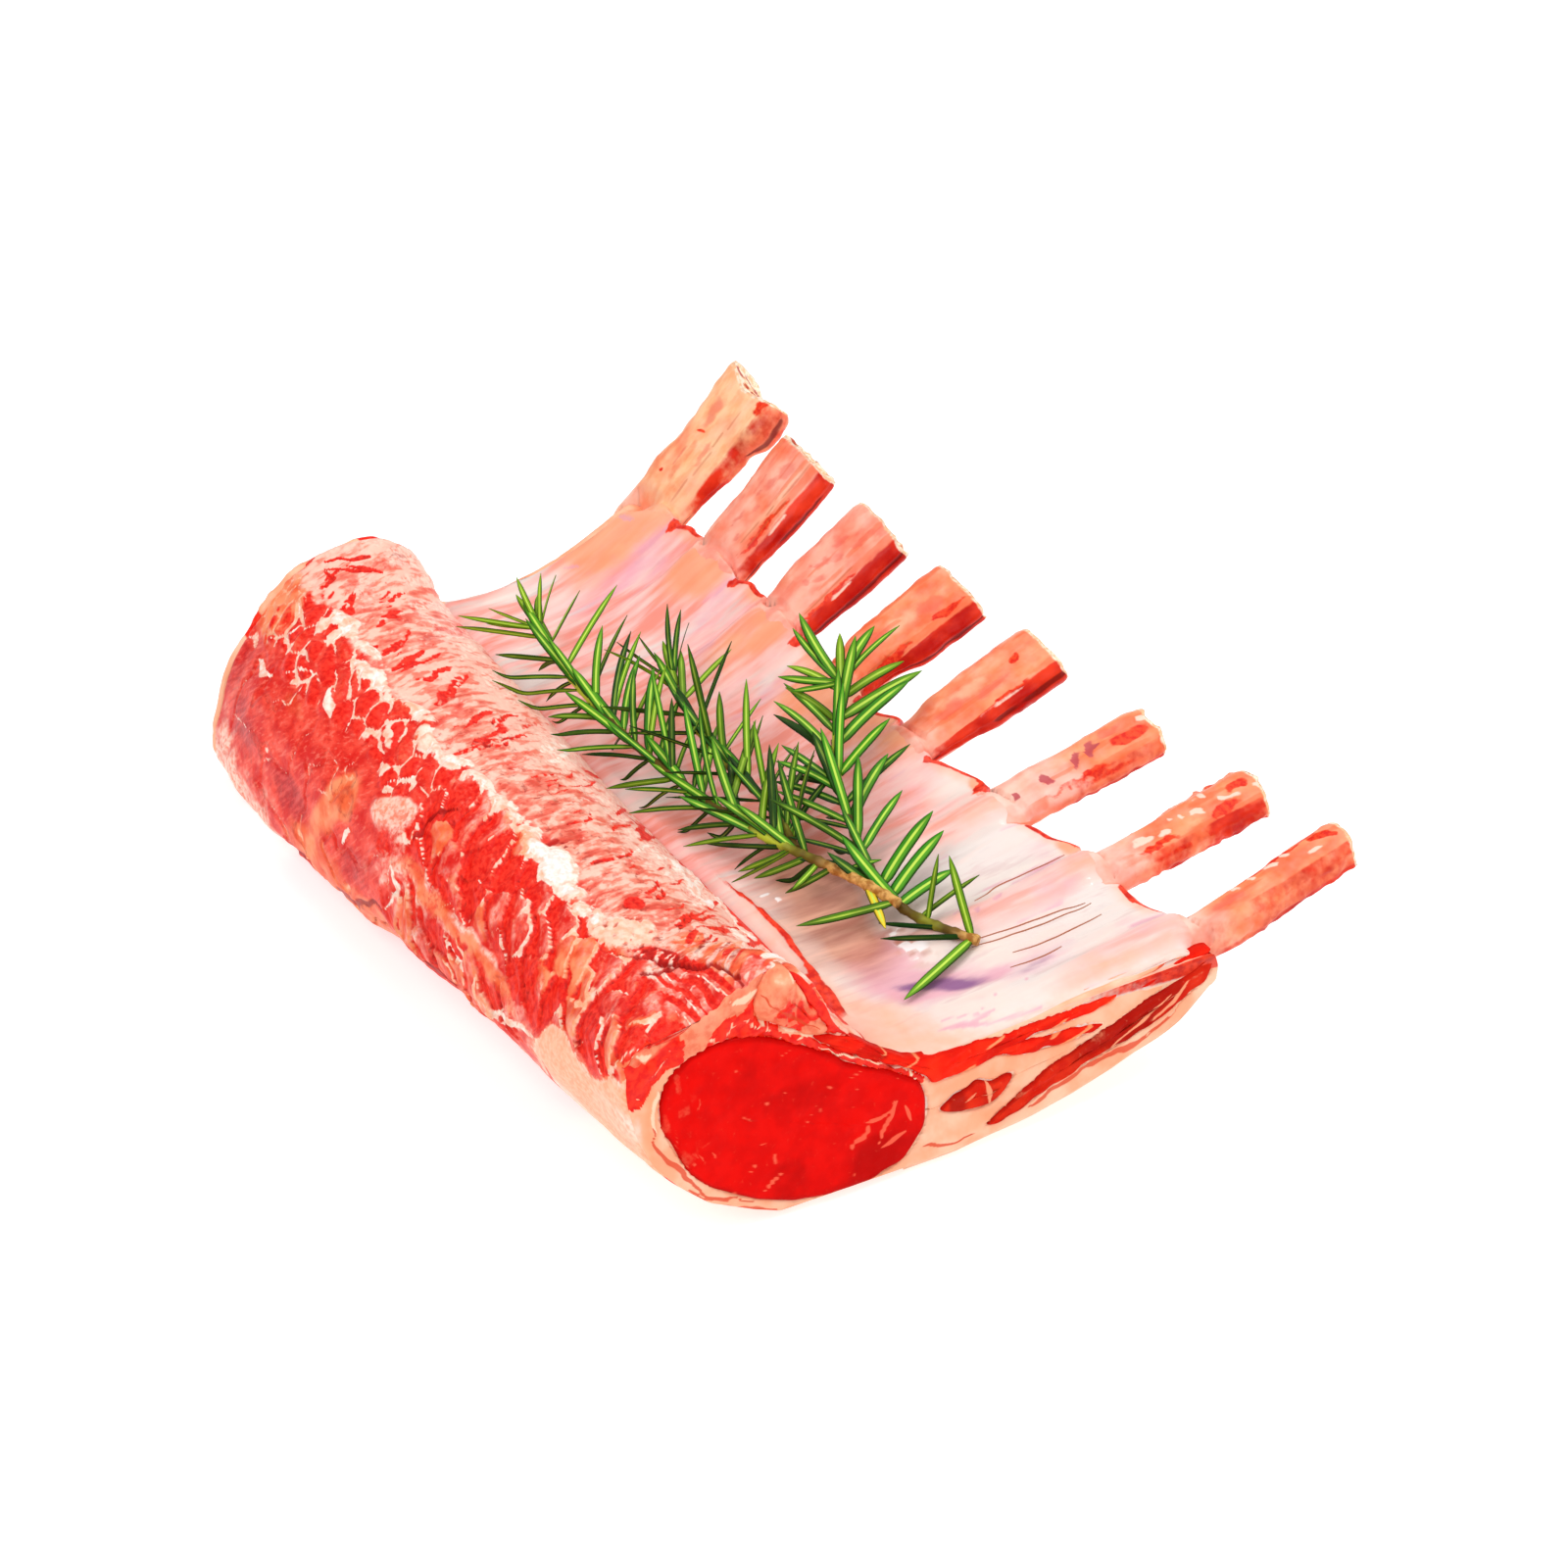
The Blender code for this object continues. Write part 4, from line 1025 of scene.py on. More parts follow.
def gap_share(x):
    """0 within a rib's width, 1 between two ribs."""
    return np.min([ramp(np.abs(x - m), h - 0.5, h + 1.5) for m, h in zip(RIB_MIDDLES, RIB_HALVES)],
                  axis=0)


def plate_edge(x):
    """Largest Y that the meat reaches at x."""
    for y in np.arange(110, 40, -0.5):
        if upper(MEAT, x, y) is not None:
            return y
    return 50.0


# Where the plate's edge bulges between ribs: X, half width and reach in mm.
EDGE_BULGES = ((29.5, 5.0, 4.6), (24.0, 5.0, 3.6), (57.5, 4.0, 1.8), (52.0, 4.0, 0.6), (3.0, 4.0, 3.4),
               (79.0, 7.0, -0.7))


def plate_base():
    """Grids of points over the plate's upper side and under it, and the Y of its edge."""
    far, near = far_x(*PLATE_MIDDLE), near_x(*PLATE_MIDDLE)
    shares = np.linspace(0, 1, 110)
    ups = np.linspace(0, 1, 34)
    edge = np.zeros(len(shares))
    top = np.zeros((len(shares), len(ups)))
    low = np.zeros((len(shares), len(ups)))
    for r, s in enumerate(shares):
        x = float(np.clip(mix(far, near, s), far + 1.8, near - 1.6))
        edge[r] = plate_edge(x)
        for k, u in enumerate(ups):
            y = mix(PLATE_FOOT, edge[r] - 1.2, u)
            above = upper(MEAT, x, y)
            below = lower(MEAT, x, y)
            top[r, k] = above[2] if above is not None else top[r, k - 1]
            low[r, k] = below[2] if below is not None else low[r, k - 1]
    top, low = blur(top, 1.0, 1.0), blur(low, 1.5, 1.0)
    edge = blur(edge[:, None], 0.7, 0)[:, 0]
    fine = np.linspace(0, 1, PLATE_STATIONS)
    edge = np.interp(fine, shares, edge)

    def finer(grid, count):
        part = np.stack([np.interp(fine, shares, grid[:, k]) for k in range(len(ups))], 1)
        made = np.stack([np.interp(np.linspace(0, 1, count), ups, row) for row in part])
        return blur(made, 1.5, 1.0)

    along = mix(far, near, fine)
    edge = edge + 2.9 * gap_share(along) * ramp(along, 0, -10) - 1.0 * ramp(along, 93, 99)
    for middle, half, reach in EDGE_BULGES:
        edge = edge + reach * np.exp(-((along - middle) / half) ** 2) * gap_share(along)

    def placed(heights):
        u = np.linspace(0, 1, heights.shape[1])
        y = mix(PLATE_FOOT, edge[:, None] - 1.2, u)
        x = mix(far_x(y, heights) + END_GAP, near_x(y, heights) - 0.5, fine[:, None])
        return np.stack([x, y, heights], -1)

    return placed(finer(top, PLATE_ACROSS)), placed(finer(low, 30)), edge


# For each rib: where it starts to show under the membrane and where it shows in full, in Y.
RIB_REACHES = ((20, 50), (34, 54), (36, 56), (40, 58), (44, 62), (36, 54), (24, 48), (36, 60))


class Plate(Relief):
    """The plate's upper side while it builds up: its height in mm and its masks, and the places
    that they are measured by. y runs from the loin to the plate's edge."""

    def __init__(self, x, y, edge, p):
        self.x, self.y, self.p = x, y, p
        self.near = ramp(x, 0, 48)
        self.far = 1 - self.near
        self.wx = x + 1.6 * noise(p, (9, 20, 9), 101) + 0.6 * noise(p, (3, 9, 5), 102)
        self.wy = y + 2.0 * noise(p, 8, 103)
        self.from_edge = edge - y
        self.violet, self.shade, self.red = np.zeros((3, *x.shape))

    def masks(self):
        """The masks that the membrane's material reads."""
        made = {"pink": self.pink, "violet": self.violet, "dark_violet": self.dark_violet,
                "shade": self.shade, "orange": self.orange, "rim": self.rim + self.red}
        return {**{name: unit(mask) for name, mask in made.items()}, "wet": self.wet}


def membrane(m):
    """Fibres and broad waves, the ribs under the membrane, and where it is pink."""
    x, y, p, wx = m.x, m.y, m.p, m.wx
    grain = (noise(plane_points(wx, y), (1.6, 16, 1), 104)
             + 0.6 * noise(plane_points(wx, y), (0.8, 9, 1), 105))
    broad = fractal(plane_points(wx, y), (9, 26, 1), 2, 106)
    uneven = 0.5 * noise(p, 5, 131)
    ribs = list(zip(RIB_MIDDLES, RIB_HALVES, RIB_REACHES))
    m.ridges = np.max([np.exp(-((x - middle) / (0.72 * half)) ** 4) * ramp(y, *reach)
                       for middle, half, reach in ribs], axis=0)
    m.flanks = np.max([np.exp(-((np.abs(x - middle + uneven) - 0.92 * half) / 0.5) ** 2)
                       * ramp(y, reach[0] - 4, reach[1]) for middle, half, reach in ribs], axis=0)
    m.height = 0.16 * grain * (0.4 + 0.6 * m.far) + 0.35 * broad + 1.5 * m.ridges - 0.3 * m.flanks
    m.height += (0.25 * noise(p, 5, 107) * ramp(y, 25, 10) - 1.6 * ramp(x, 91, 98)
                 * ramp(m.from_edge, 9, 1))
    m.pink = (m.far * (0.7 + 0.4 * broad + 0.25 * grain) + 0.12 + 0.15 * m.near * ramp(grain, 0.35, 0.8)
              * ramp(x, 75, 50))
    m.pink += 0.35 * m.near * m.ridges + 0.15 * m.near * ramp(broad, 0.1, 0.6)
    m.pink += (0.4 * window(x, -22, 34, 10) * window(y, 24, 60, 8) - 0.35 * ramp(x, -52, -64)
               * ramp(y, 42, 30))


# Patches of the plate: X, Y, half sizes and strength.
WARM_PATCHES = ((-18, 53, 9, 8, 0.6), (-2, 57, 7, 7, 0.7), (-40, 46, 8, 11, 0.3), (-66, 53, 8, 5, 0.3),
                (-30, 31, 16, 6, 0.3), (8, 33, 12, 8, 0.3))
# The same for its violet patches.
VIOLET_PATCHES = (
    (-83, 46, 3.0, 16, 0.55), (-55, 50, 2.6, 12, 0.5), (-48, 44, 2.2, 12, 0.4), (-76, 50, 2.0, 10, 0.35),
    (-24, 48, 2.5, 9, 0.45), (55, 66, 4.0, 3.5, 0.35), (79, 29, 4.5, 9.0, 1.0), (71, 22, 9.0, 8.0, 1.0),
    (60, 22, 7, 6, 0.6), (83, 48, 4, 9, 0.5), (68, 62, 2.5, 5, 0.5), (81, 40, 2.0, 3.5, 0.4),
    (86, 71, 3.5, 4.0, 0.35), (25, 55, 3, 4, 0.3), (62, 62, 1.6, 9, 0.3))
# The same for its painted brown shadow, under the sprig.
SHADED_PATCHES = ((46, 19, 17, 8.5, 1.0), (36, 28, 14, 7, 0.8), (20, 22, 10, 6, 0.5), (62, 20, 8, 9, 0.6),
                  (6, 14, 12, 4, 0.3))


def plate_stains(m):
    """Orange along the ribs and the peach rind, violet stains, painted violet shade along the ribs'
    flanks and painted brown shadow under the sprig.
    """
    x, y, p, wx, wy = m.x, m.y, m.p, m.wx, m.wy
    warm = np.zeros(x.shape)
    for cx, cy, half_x, half_y, amount in WARM_PATCHES:
        warm += amount * blob(wx, wy, cx, cy, half_x, half_y, 0, 0.7)
    m.orange = ((m.far + 0.4 * m.near) * 0.95 * m.ridges * ramp(y, 24, 52)
                * (0.75 + 0.5 * noise(p, (5, 9, 5), 132)) + 0.2 * m.far * ramp(m.from_edge, 9, 2) + warm)
    for cx, cy, half_x, half_y, amount in VIOLET_PATCHES:
        m.violet += amount * blob(wx, wy, cx, cy, half_x, half_y, 0, 0.8)
    m.dark_violet = (1.1 * blob(wx, wy, 79.5, 31.5, 2.2, 5.5, -20, 0.8)
                     + 0.8 * blob(wx, wy, 76.5, 24.5, 1.6, 4.0, -20, 0.8)
                     + 0.5 * blob(wx, wy, 84, 47, 1.2, 4, 0, 0.8))
    # painted shadow: brown where the sprig shades the membrane
    for cx, cy, half_x, half_y, amount in SHADED_PATCHES:
        m.shade += amount * blob(wx, wy, cx, cy, half_x, half_y, 0, 0.7)
    peach = (ramp(x + 3 * noise(p, 9, 108), 62, 84) * ramp(wy, 30, 12) + 0.7 * ramp(y, 16, 8) * m.near
             + 0.6 * ramp(x, 90, 98))
    m.orange += 0.6 * unit(peach)
    m.orange += 0.7 * ramp(x, -80, -88) * ramp(y, 26, 42)
    between = gap_share(x) * ramp(y, 18, 34)
    m.violet += (0.25 * between * m.far * ramp(noise(plane_points(wx, y), (3, 10, 1), 133), 0.0, 0.5)
                 * ramp(m.from_edge, 4, 10))
    # painted shade: violet along the ribs' flanks
    m.violet += 0.6 * m.flanks * ramp(noise(p, (3, 6, 3), 134), -0.3, 0.3)


# Nicks and short strokes: points, half width and depth in mm.
NICKS = (
    (((63.5, 52), (65, 50.5)), 1.1, 0.3), (((65, 47), (66.2, 46)), 0.9, 0.25),
    (((62.5, 44), (64, 42)), 0.8, 0.2), (((87.5, 45), (88.5, 44)), 0.8, 0.2),
    (((88, 37), (89, 36)), 0.8, 0.2), (((91, 32), (92, 31.5)), 0.7, 0.15),
    (((92.5, 20), (93.8, 27), (93, 33)), 0.9, 0.15), (((-97, 51), (-92, 52)), 1.0, 0.25),
    (((-95, 35), (-91, 37)), 0.8, 0.2), (((60.5, 70), (59.5, 60), (58.5, 50)), 0.8, 0.15))


def plate_nicks(m):
    """Nicks and short strokes along the ribs."""
    wx, wy = m.wx, m.wy
    for points, width, depth in NICKS:
        line = stroke(wx, wy, points, width)
        m.lay(line, violet=0.8, red=0.25)
        m.height -= depth * line


def plate_foot(m):
    """The foot, where red meat shows next to the loin."""
    x, y, p, wx, wy = m.x, m.y, m.p, m.wx, m.wy
    foot = stroke(wx, y + 0.6 * noise(p, (7, 3, 3), 110),
                  ((6, 5.5), (14, 7.4), (24, 8.6), (36, 9.6), (48, 9.8), (58, 9.3), (68, 8.4), (78, 7.0),
                   (88, 5.5)), 0.9)
    foot = np.maximum(foot, stroke(wx, y, ((60, 8.6), (68, 7.6), (78, 6.2), (88, 4.6)), 2.0))
    foot *= ramp(noise(p, (6, 2, 2), 116), -0.9, -0.3) * ramp(x, 14, 36)
    m.lay(foot, red=1.05, height=0.7)
    m.red += (0.8 * stroke(wx, y, ((60, 7), (72, 5.0), (84, 3.0)), 1.5) + 0.5 * ramp(x, 96.5, 98.5)
              * ramp(noise(p, 4, 113), -0.5, 0.2))
    for points, width in ((((93, 20), (95.5, 30), (96.5, 42)), 1.0), (((90.5, 22), (92.5, 30)), 0.6)):
        m.violet += 0.7 * stroke(wx, wy, points, width)


def wet_spots(m):
    """Two wet spots with a painted glint, and painted shade round the first."""
    p, wx, wy = m.p, m.wx, m.wy
    drops = noise(p, (1.6, 2.4, 2), 114)
    # painted glint: near-white on the wet spots
    m.wet = blob(wx, wy, 64, 31, 6, 3.0, 0, 0.6) * ramp(drops, 0.1, 0.4)
    m.wet = np.maximum(m.wet, blob(wx, wy, 33, 14, 3, 1.6, 20, 0.6) * ramp(noise(p, 1.4, 115), 0.1, 0.4))
    # painted shade round the first wet spot
    m.shade += 0.7 * blob(wx, wy, 64, 31, 7, 4.0, 0, 0.6) * ramp(drops, 0.1, -0.3)


def plate_rim(m):
    """The rim between the ribs, red meat with tabs of fat, and painted shade at the ribs' root corners.
    """
    x, p = m.x, m.p
    gaps = gap_share(x)
    m.rim = gaps * ramp(m.from_edge + 0.5 * noise(p, 3, 111), 2.4, 1.5)
    m.orange += 0.45 * gaps * ramp(m.from_edge, 6, 2)
    # painted shade: red in the corner beside each rib's root
    for middle, half in zip(RIB_MIDDLES[:5], RIB_HALVES[:5]):
        corner = np.hypot((x - middle - half - 0.4) / 1.3, (m.from_edge - 1.2) / 2.4)
        m.rim = np.maximum(m.rim, 1.1 * ramp(corner + 0.5 * noise(p, 2, 112), 1.2, 0.6))
    tab = ramp(np.hypot((x - 30.4) / 3.2, m.from_edge / 4.0), 1.3, 0.8)
    m.orange += 0.9 * tab + 0.8 * ramp(np.hypot((x - 58.5) / 3.4, m.from_edge / 4.5), 1.3, 0.7)
    m.rim = np.maximum(m.rim, 1.2 * ramp(np.hypot((x - 31.6) / 1.9, m.from_edge / 4.4), 1.2, 0.8))


PLATE_LAYERS = (membrane, plate_stains, plate_nicks, plate_foot, wet_spots, plate_rim)


def plate_relief(x, y, edge, p):
    """Height in mm and masks of the plate's upper side."""
    plate = Plate(x, y, edge, p)
    for layer in PLATE_LAYERS:
        layer(plate)
    return plate.height, plate.masks()


def plate_material():
    s = Shader("membrane", roughness=0.28, specular=0.2, coat=0.12, coat_roughness=0.08)
    streaks = s.noise(2.4, 4.0, stretch=(1, 7, 7))
    broad = s.noise(9.0, 3.0, stretch=(1, 2.5, 1))
    fine = s.noise(1.2, 3.0, stretch=(1, 3, 1))
    pearl = s.shades(broad, 0.35, 0.65, (238, 222, 212), (230, 216, 210))
    pearl = s.over(pearl, (214, 178, 176), s.step(streaks, 0.44, 0.34), 0.4)
    salmon = s.shades(streaks, 0.35, 0.62, (248, 150, 134), (255, 196, 190))
    base = s.blend(s.step(s.add(s.mask("pink"), s.swing(streaks, 0.7)), 0.15, 0.75), pearl, salmon)
    # pale streaks along the fibres, partly painted highlight
    base = s.over(base, (255, 220, 208), s.step(streaks, 0.56, 0.72), 0.5)
    warm = s.shades(broad, 0.3, 0.7, (250, 156, 112), (252, 178, 134))
    base = s.over(base, warm, s.crisp("orange", 4.0, 0.5, 0.45), 0.85)
    # violet stains, and painted violet shade along the ribs' flanks
    base = s.over(base, (230, 160, 180), s.crisp("violet", 2.0, 0.6, 0.45, (1, 3, 1)), 0.75)
    base = s.over(base, (114, 62, 128), s.crisp("dark_violet", 2.0, 0.7, 0.45, (1, 3, 1)), 0.8)
    # painted brown shadow under the sprig and round a wet spot
    base = s.over(base, s.shades(streaks, 0.3, 0.7, (178, 104, 80), (218, 154, 126)), s.mask("shade"),
                  0.88)
    rim = s.shades(s.noise(1.8, 3.0), 0.35, 0.65, (206, 30, 14), (244, 66, 36))
    base = s.blend(s.crisp("rim", 1.2, 0.4, 0.2), base, rim)
    # painted glint on the wet spots
    base = s.over(base, (252, 246, 244), s.step(s.mask("wet"), 0.2, 0.7), 0.85)
    under = s.shades(broad, 0.35, 0.65, (250, 186, 146), (255, 208, 176))
    base = s.blend(s.step(s.mask("under"), 0.4, 0.6), base, under)
    relief = s.add(s.times(streaks, 0.5), s.times(fine, 0.5))
    return s.finish(base, relief, 0.35, 0.4)


def make_plate(material):
    """The plate with its rim and its underside. Gives its rows of points, and a tree to send rays at."""
    top, low, edge = plate_base()
    stations = len(edge)
    x, y = top[..., 0], top[..., 1]
    height, masks = plate_relief(x, y, edge[:, None], top)
    normal = grid_normals(top)
    normal *= np.sign(np.mean(normal[..., 2]))
    low = low[:, ::-1]
    low_normal = grid_normals(low)
    low_normal *= -np.sign(np.mean(low_normal[..., 2]))
    low_height = (0.5 * fractal(low, 14, 3, 121) * ramp(low[..., 2], 0, 3)
                  - 0.8 * ramp(low[..., 0], 70, 95) * window(low[..., 1], 38, 66, 8))

    def end_inset(p):
        x, y, z = p[..., 0], p[..., 1], p[..., 2]
        return rounding(x - far_x(y, z), PLATE_ROUND_FAR) + rounding(near_x(y, z) - x, ROUND_NEAR)

    top = top + normal * (height - end_inset(top))[..., None]
    low = low + low_normal * (low_height - end_inset(low))[..., None]
    low[..., 2] = np.maximum(low[..., 2], sole(low[..., 0], low[..., 1]))
    bulge = 1.6 + 0.7 * noise(plane_points(top[:, -1, 0], 0 * edge), (5, 1, 1), 122)
    rim = []
    for k in range(1, RIM_STEPS):
        t = k / RIM_STEPS
        round_out = math.sin(math.pi * t) ** 0.6
        middle = mix(top[:, -1], low[:, 0], smooth(t) * 0.5 + t * 0.5)
        middle = middle + np.stack([0 * edge, bulge * round_out, 0 * edge], 1)
        middle[:, 1] += 0.35 * noise(middle, 2.5, 123)
        rim.append(middle)
    hidden = top[:, :1] + np.array([0, -5.0, -1.5])
    rings = np.concatenate([hidden, top, np.stack(rim, 1), low], 1)
    points = rings.reshape(-1, 3)
    around = rings.shape[1]
    gaps = gap_share(top[:, -1, 0])[:, None]
    padded = {}
    for key, value in masks.items():
        on_rim = np.repeat(value[:, -1:], RIM_STEPS - 1, 1)
        fade = np.linspace(1, 0, RIM_STEPS - 1)[None, :]
        on_rim = on_rim * fade
        if key == "rim":
            on_rim = np.maximum(on_rim, gaps * ramp(fade, 0.35, 0.6))
        padded[key] = np.concatenate([value[:, :1], value, on_rim, np.zeros(low.shape[:2])], 1)
    padded["under"] = np.concatenate([np.zeros((stations, top.shape[1] + 1)),
                                      np.repeat(ramp(np.linspace(0, 1, RIM_STEPS - 1), 0.3, 0.7)[None],
                                                stations, 0), np.ones(low.shape[:2])], 1)
    faces = outward(points, loft_faces(stations, around))
    make_mesh("plate", points, faces, material, ["fat_body"], padded)
    tree = BVHTree.FromPolygons([Vector(q) for q in points], faces)
    return (top, np.stack(rim, 1), low), tree


THREAD_LIFT, THREAD_RADIUS, THREAD_AROUND = 0.04, 0.17, 8
# Routes of the threads in X and Y.
THREAD_ROUTES = (((72.2, 40), (73.4, 48), (74.9, 56), (75.0, 67)),
                 ((70.6, 41), (71.6, 49), (73.2, 57), (74.2, 66)), ((78.2, 46), (79.4, 56), (79.0, 67)),
                 ((82, 43), (83.0, 50), (82.6, 55)), ((60.2, 48), (59.2, 58), (60.4, 70)))


def make_threads(tree):
    """Thin dark threads of tissue that lie on the membrane."""
    s = Shader("thread", roughness=0.5, specular=0.05)
    material = s.finish((178, 112, 84))
    points, faces = [], []
    for route in THREAD_ROUTES:
        line = spline([(x, y, 0) for x, y in route], 14)
        line[:, 0] += 0.5 * noise(line, 5, 141)
        for k, (x, y, _) in enumerate(line):
            line[k, 2] = upper(tree, x, y)[2] + THREAD_LIFT
        run = directions(line)
        side = np.cross(run, (0, 0, 1))
        cosine, sine = circle(THREAD_AROUND)
        radius = THREAD_RADIUS * np.sin(math.pi * np.linspace(0.08, 0.92, len(line))) ** 0.5
        ring = cosine[None, :, None] * side[:, None] + sine[None, :, None] * np.cross(side, run)[:, None]
        solid = (line[:, None] + radius[:, None, None] * ring).reshape(-1, 3)
        faces += [tuple(len(points) + k for k in face)
                  for face in outward(solid, loft_faces(len(line), THREAD_AROUND))]
        points += solid.tolist()
    make_mesh("threads", points, faces, material, ["fat_body"])


# ---------------------------------------------------------------- the cut ends
def end_outline(station, loin, top, rim, low):
    """The rack's outline at a station near one end, in Y and Z, from its leftmost point over the top."""
    ring = loin[station][:, 1:]
    over = ring[:LOIN_AROUND][::-1]                # from the underside's left over the top to the foot
    heel = ring[LOIN_AROUND:LOIN_AROUND + UNDER_STEPS]      # along the ground to the plate
    share = station / (len(loin) - 1) if station >= 0 else 1 + station / (len(loin) - 1)
    row = int(round(share * (len(top) - 1)))
    upper = top[row][:, 1:]
    upper = upper[upper[:, 0] > over[-1, 0] + 1.0]
    lower = low[row][:, 1:]
    lower = lower[lower[:, 0] > heel[-1, 0] + 1.0]
    loop = np.concatenate([over, upper, rim[row][:, 1:], lower, heel[::-1]])
    loop = np.roll(loop, -int(np.argmin(loop[:, 0])), 0)
    return resample(np.concatenate([loop, loop[:1]]), 421)[:-1]


def inset(loop, distance):
    """The outline moved inwards by a distance."""
    run = np.roll(loop, -1, 0) - np.roll(loop, 1, 0)
    side = np.stack([run[:, 1], -run[:, 0]], 1)
    side /= np.maximum(np.linalg.norm(side, axis=1)[:, None], 1e-9)
    area = np.sum(loop[:, 0] * np.roll(loop[:, 1], -1) - np.roll(loop[:, 0], -1) * loop[:, 1])
    return loop - side * distance * (1 if area > 0 else -1)


def middle_line(loop):
    """For each point of an outline, a point on the line halfway between its upper and lower side."""
    low, high = loop[:, 0].min(), loop[:, 0].max()
    near_tip = min(0.35 * (high - low), 16.0)
    far_tip = min(0.18 * (high - low), 8.0)
    right = int(np.argmax(loop[:, 0]))
    left = int(np.argmin(loop[:, 0]))
    turned = np.roll(loop, -left, 0)
    right = (right - left) % len(loop)
    a, b = turned[:right + 1], turned[right:]
    first = a[np.argsort(a[:, 0])]
    second = b[np.argsort(b[:, 0])]
    places = np.linspace(low, high, 240)
    first_z, second_z = (np.interp(places, *side.T) for side in (first, second))
    z = 0.5 * (first_z + second_z)
    z = blur(z[:, None], 6, 0)[:, 0]
    y = np.clip(loop[:, 0], low + near_tip, high - far_tip)
    return np.stack([y, np.interp(y, places, z)], 1)


CUT_DEPTH = 2.4            # how deep the hidden back of a slice lies
SHOULDER = 0.7             # how deep its side is just behind its edge
EDGE_DROP = 0.35           # how far its edge lies under its face
CORE = 0.997               # share of the way to the middle line that the last ring goes


def make_cut(name, loop, end, material, replaces, look, lift=0.0, levels=22, soft=0.7):
    """A slice with this outline that closes an end of the rack. look gives height and masks."""
    loop = np.roll(loop, -int(np.argmin(loop[:, 0])), 0)
    side = 1 if end is near_x else -1
    middle = middle_line(loop)
    reach = np.linalg.norm(middle - loop, axis=1)[:, None]
    rings, all_masks = [], []
    hidden = [(-CUT_DEPTH, t) for t in (CORE, 0.7, 0.35, 0.0)] + [(-SHOULDER, 0.0)]
    shown = [(None, t) for t in np.concatenate([[0.0, 0.012, 0.03], np.linspace(0.06, CORE, levels)])]
    for back, t in hidden + shown:
        flat = mix(loop, middle, t)
        y, z = flat[:, 0], np.maximum(flat[:, 1], 0.0)
        height, masks = look(y, z)
        face = end(y, z)
        if back is not None:
            x = face + side * back
        else:
            inside = unit(t * reach[:, 0] / soft)
            x = (face + side * (lift + height) * np.sqrt(inside * (2 - inside)) - side * EDGE_DROP
                 * (1 - inside))
        rings.append(np.stack([x, y, z], 1))
        all_masks.append(masks)
    points = np.concatenate(rings)
    faces = outward(points, loft_faces(len(rings), len(loop)))
    joined = {key: np.concatenate([np.broadcast_to(m[key], len(loop)) for m in all_masks])
              for key in all_masks[0]}
    make_mesh(name, points, faces, material, replaces, joined)


def face_points(y, z):
    """Points for noise on a cut face."""
    return np.stack([0 * y, y, z], -1)


# Outlines in the fat of the near cut, in Y and Z: three red folds and the red flank of the top.
LEFT_FOLD = ((-52, 36), (-51.5, 45), (-47, 49), (-39.5, 49), (-38.5, 44.5), (-39, 41.5), (-42.5, 39.5),
             (-46, 36), (-49, 34))
TOP_FOLD = ((-34, 43.5), (-30, 47.5), (-25, 49.5), (-21, 52.5), (-18.5, 48), (-16.5, 44), (-21, 42.5),
            (-28, 44.5))
LONG_FOLD = ((-31, 43.5), (-22, 45.5), (-16, 41.8), (-10, 37), (-5, 33.2), (-8, 31), (-14, 35.5),
             (-21, 40.5), (-28, 43))
FLANK = ((-21, 59), (-11, 60), (-2, 48), (6, 32), (14, 26), (13, 20), (6, 22), (-1, 26), (-8, 31.5),
         (-13, 36), (-12.5, 45), (-15, 50.5), (-18.5, 55.4))


# Pale strokes in the near cut's fat, flecks and painted highlights on its lumps: points in Y and Z, half
# width and strength.
CREAM_AND_HIGHLIGHT_STROKES = (
    (((-48, 45.5), (-46, 44.5), (-44.5, 45)), 0.9, 0.7), (((-45, 40), (-43, 41.5), (-42, 43)), 0.5, 0.5),
    (((-28, 51.5), (-25, 52), (-22, 53.5)), 1.6, 0.9),
    (((-25.5, 47), (-23.5, 45), (-22, 44.5)), 0.7, 0.7), (((-20.5, 46.5), (-19.5, 43.5)), 0.7, 0.7),
    (((-44, 36.5), (-46, 33), (-45.5, 28)), 0.8, 0.8))
# Orange lines in the near cut's fat: points in Y and Z, and half width.
ORANGE_LINES = (
    (((-46, 30), (-43, 20), (-36, 11), (-26, 5)), 0.7), (((-40, 13), (-31, 5), (-22, 1.5)), 1.4),
    (((-44, 16), (-37, 8)), 0.8), (((36, 6), (50, 10), (64, 13.5), (74, 19)), 0.9),
    (((58, 25.5), (68, 27.5), (79, 29)), 1.0), (((12, 5), (16, 3.5), (24, 4.5)), 0.6))


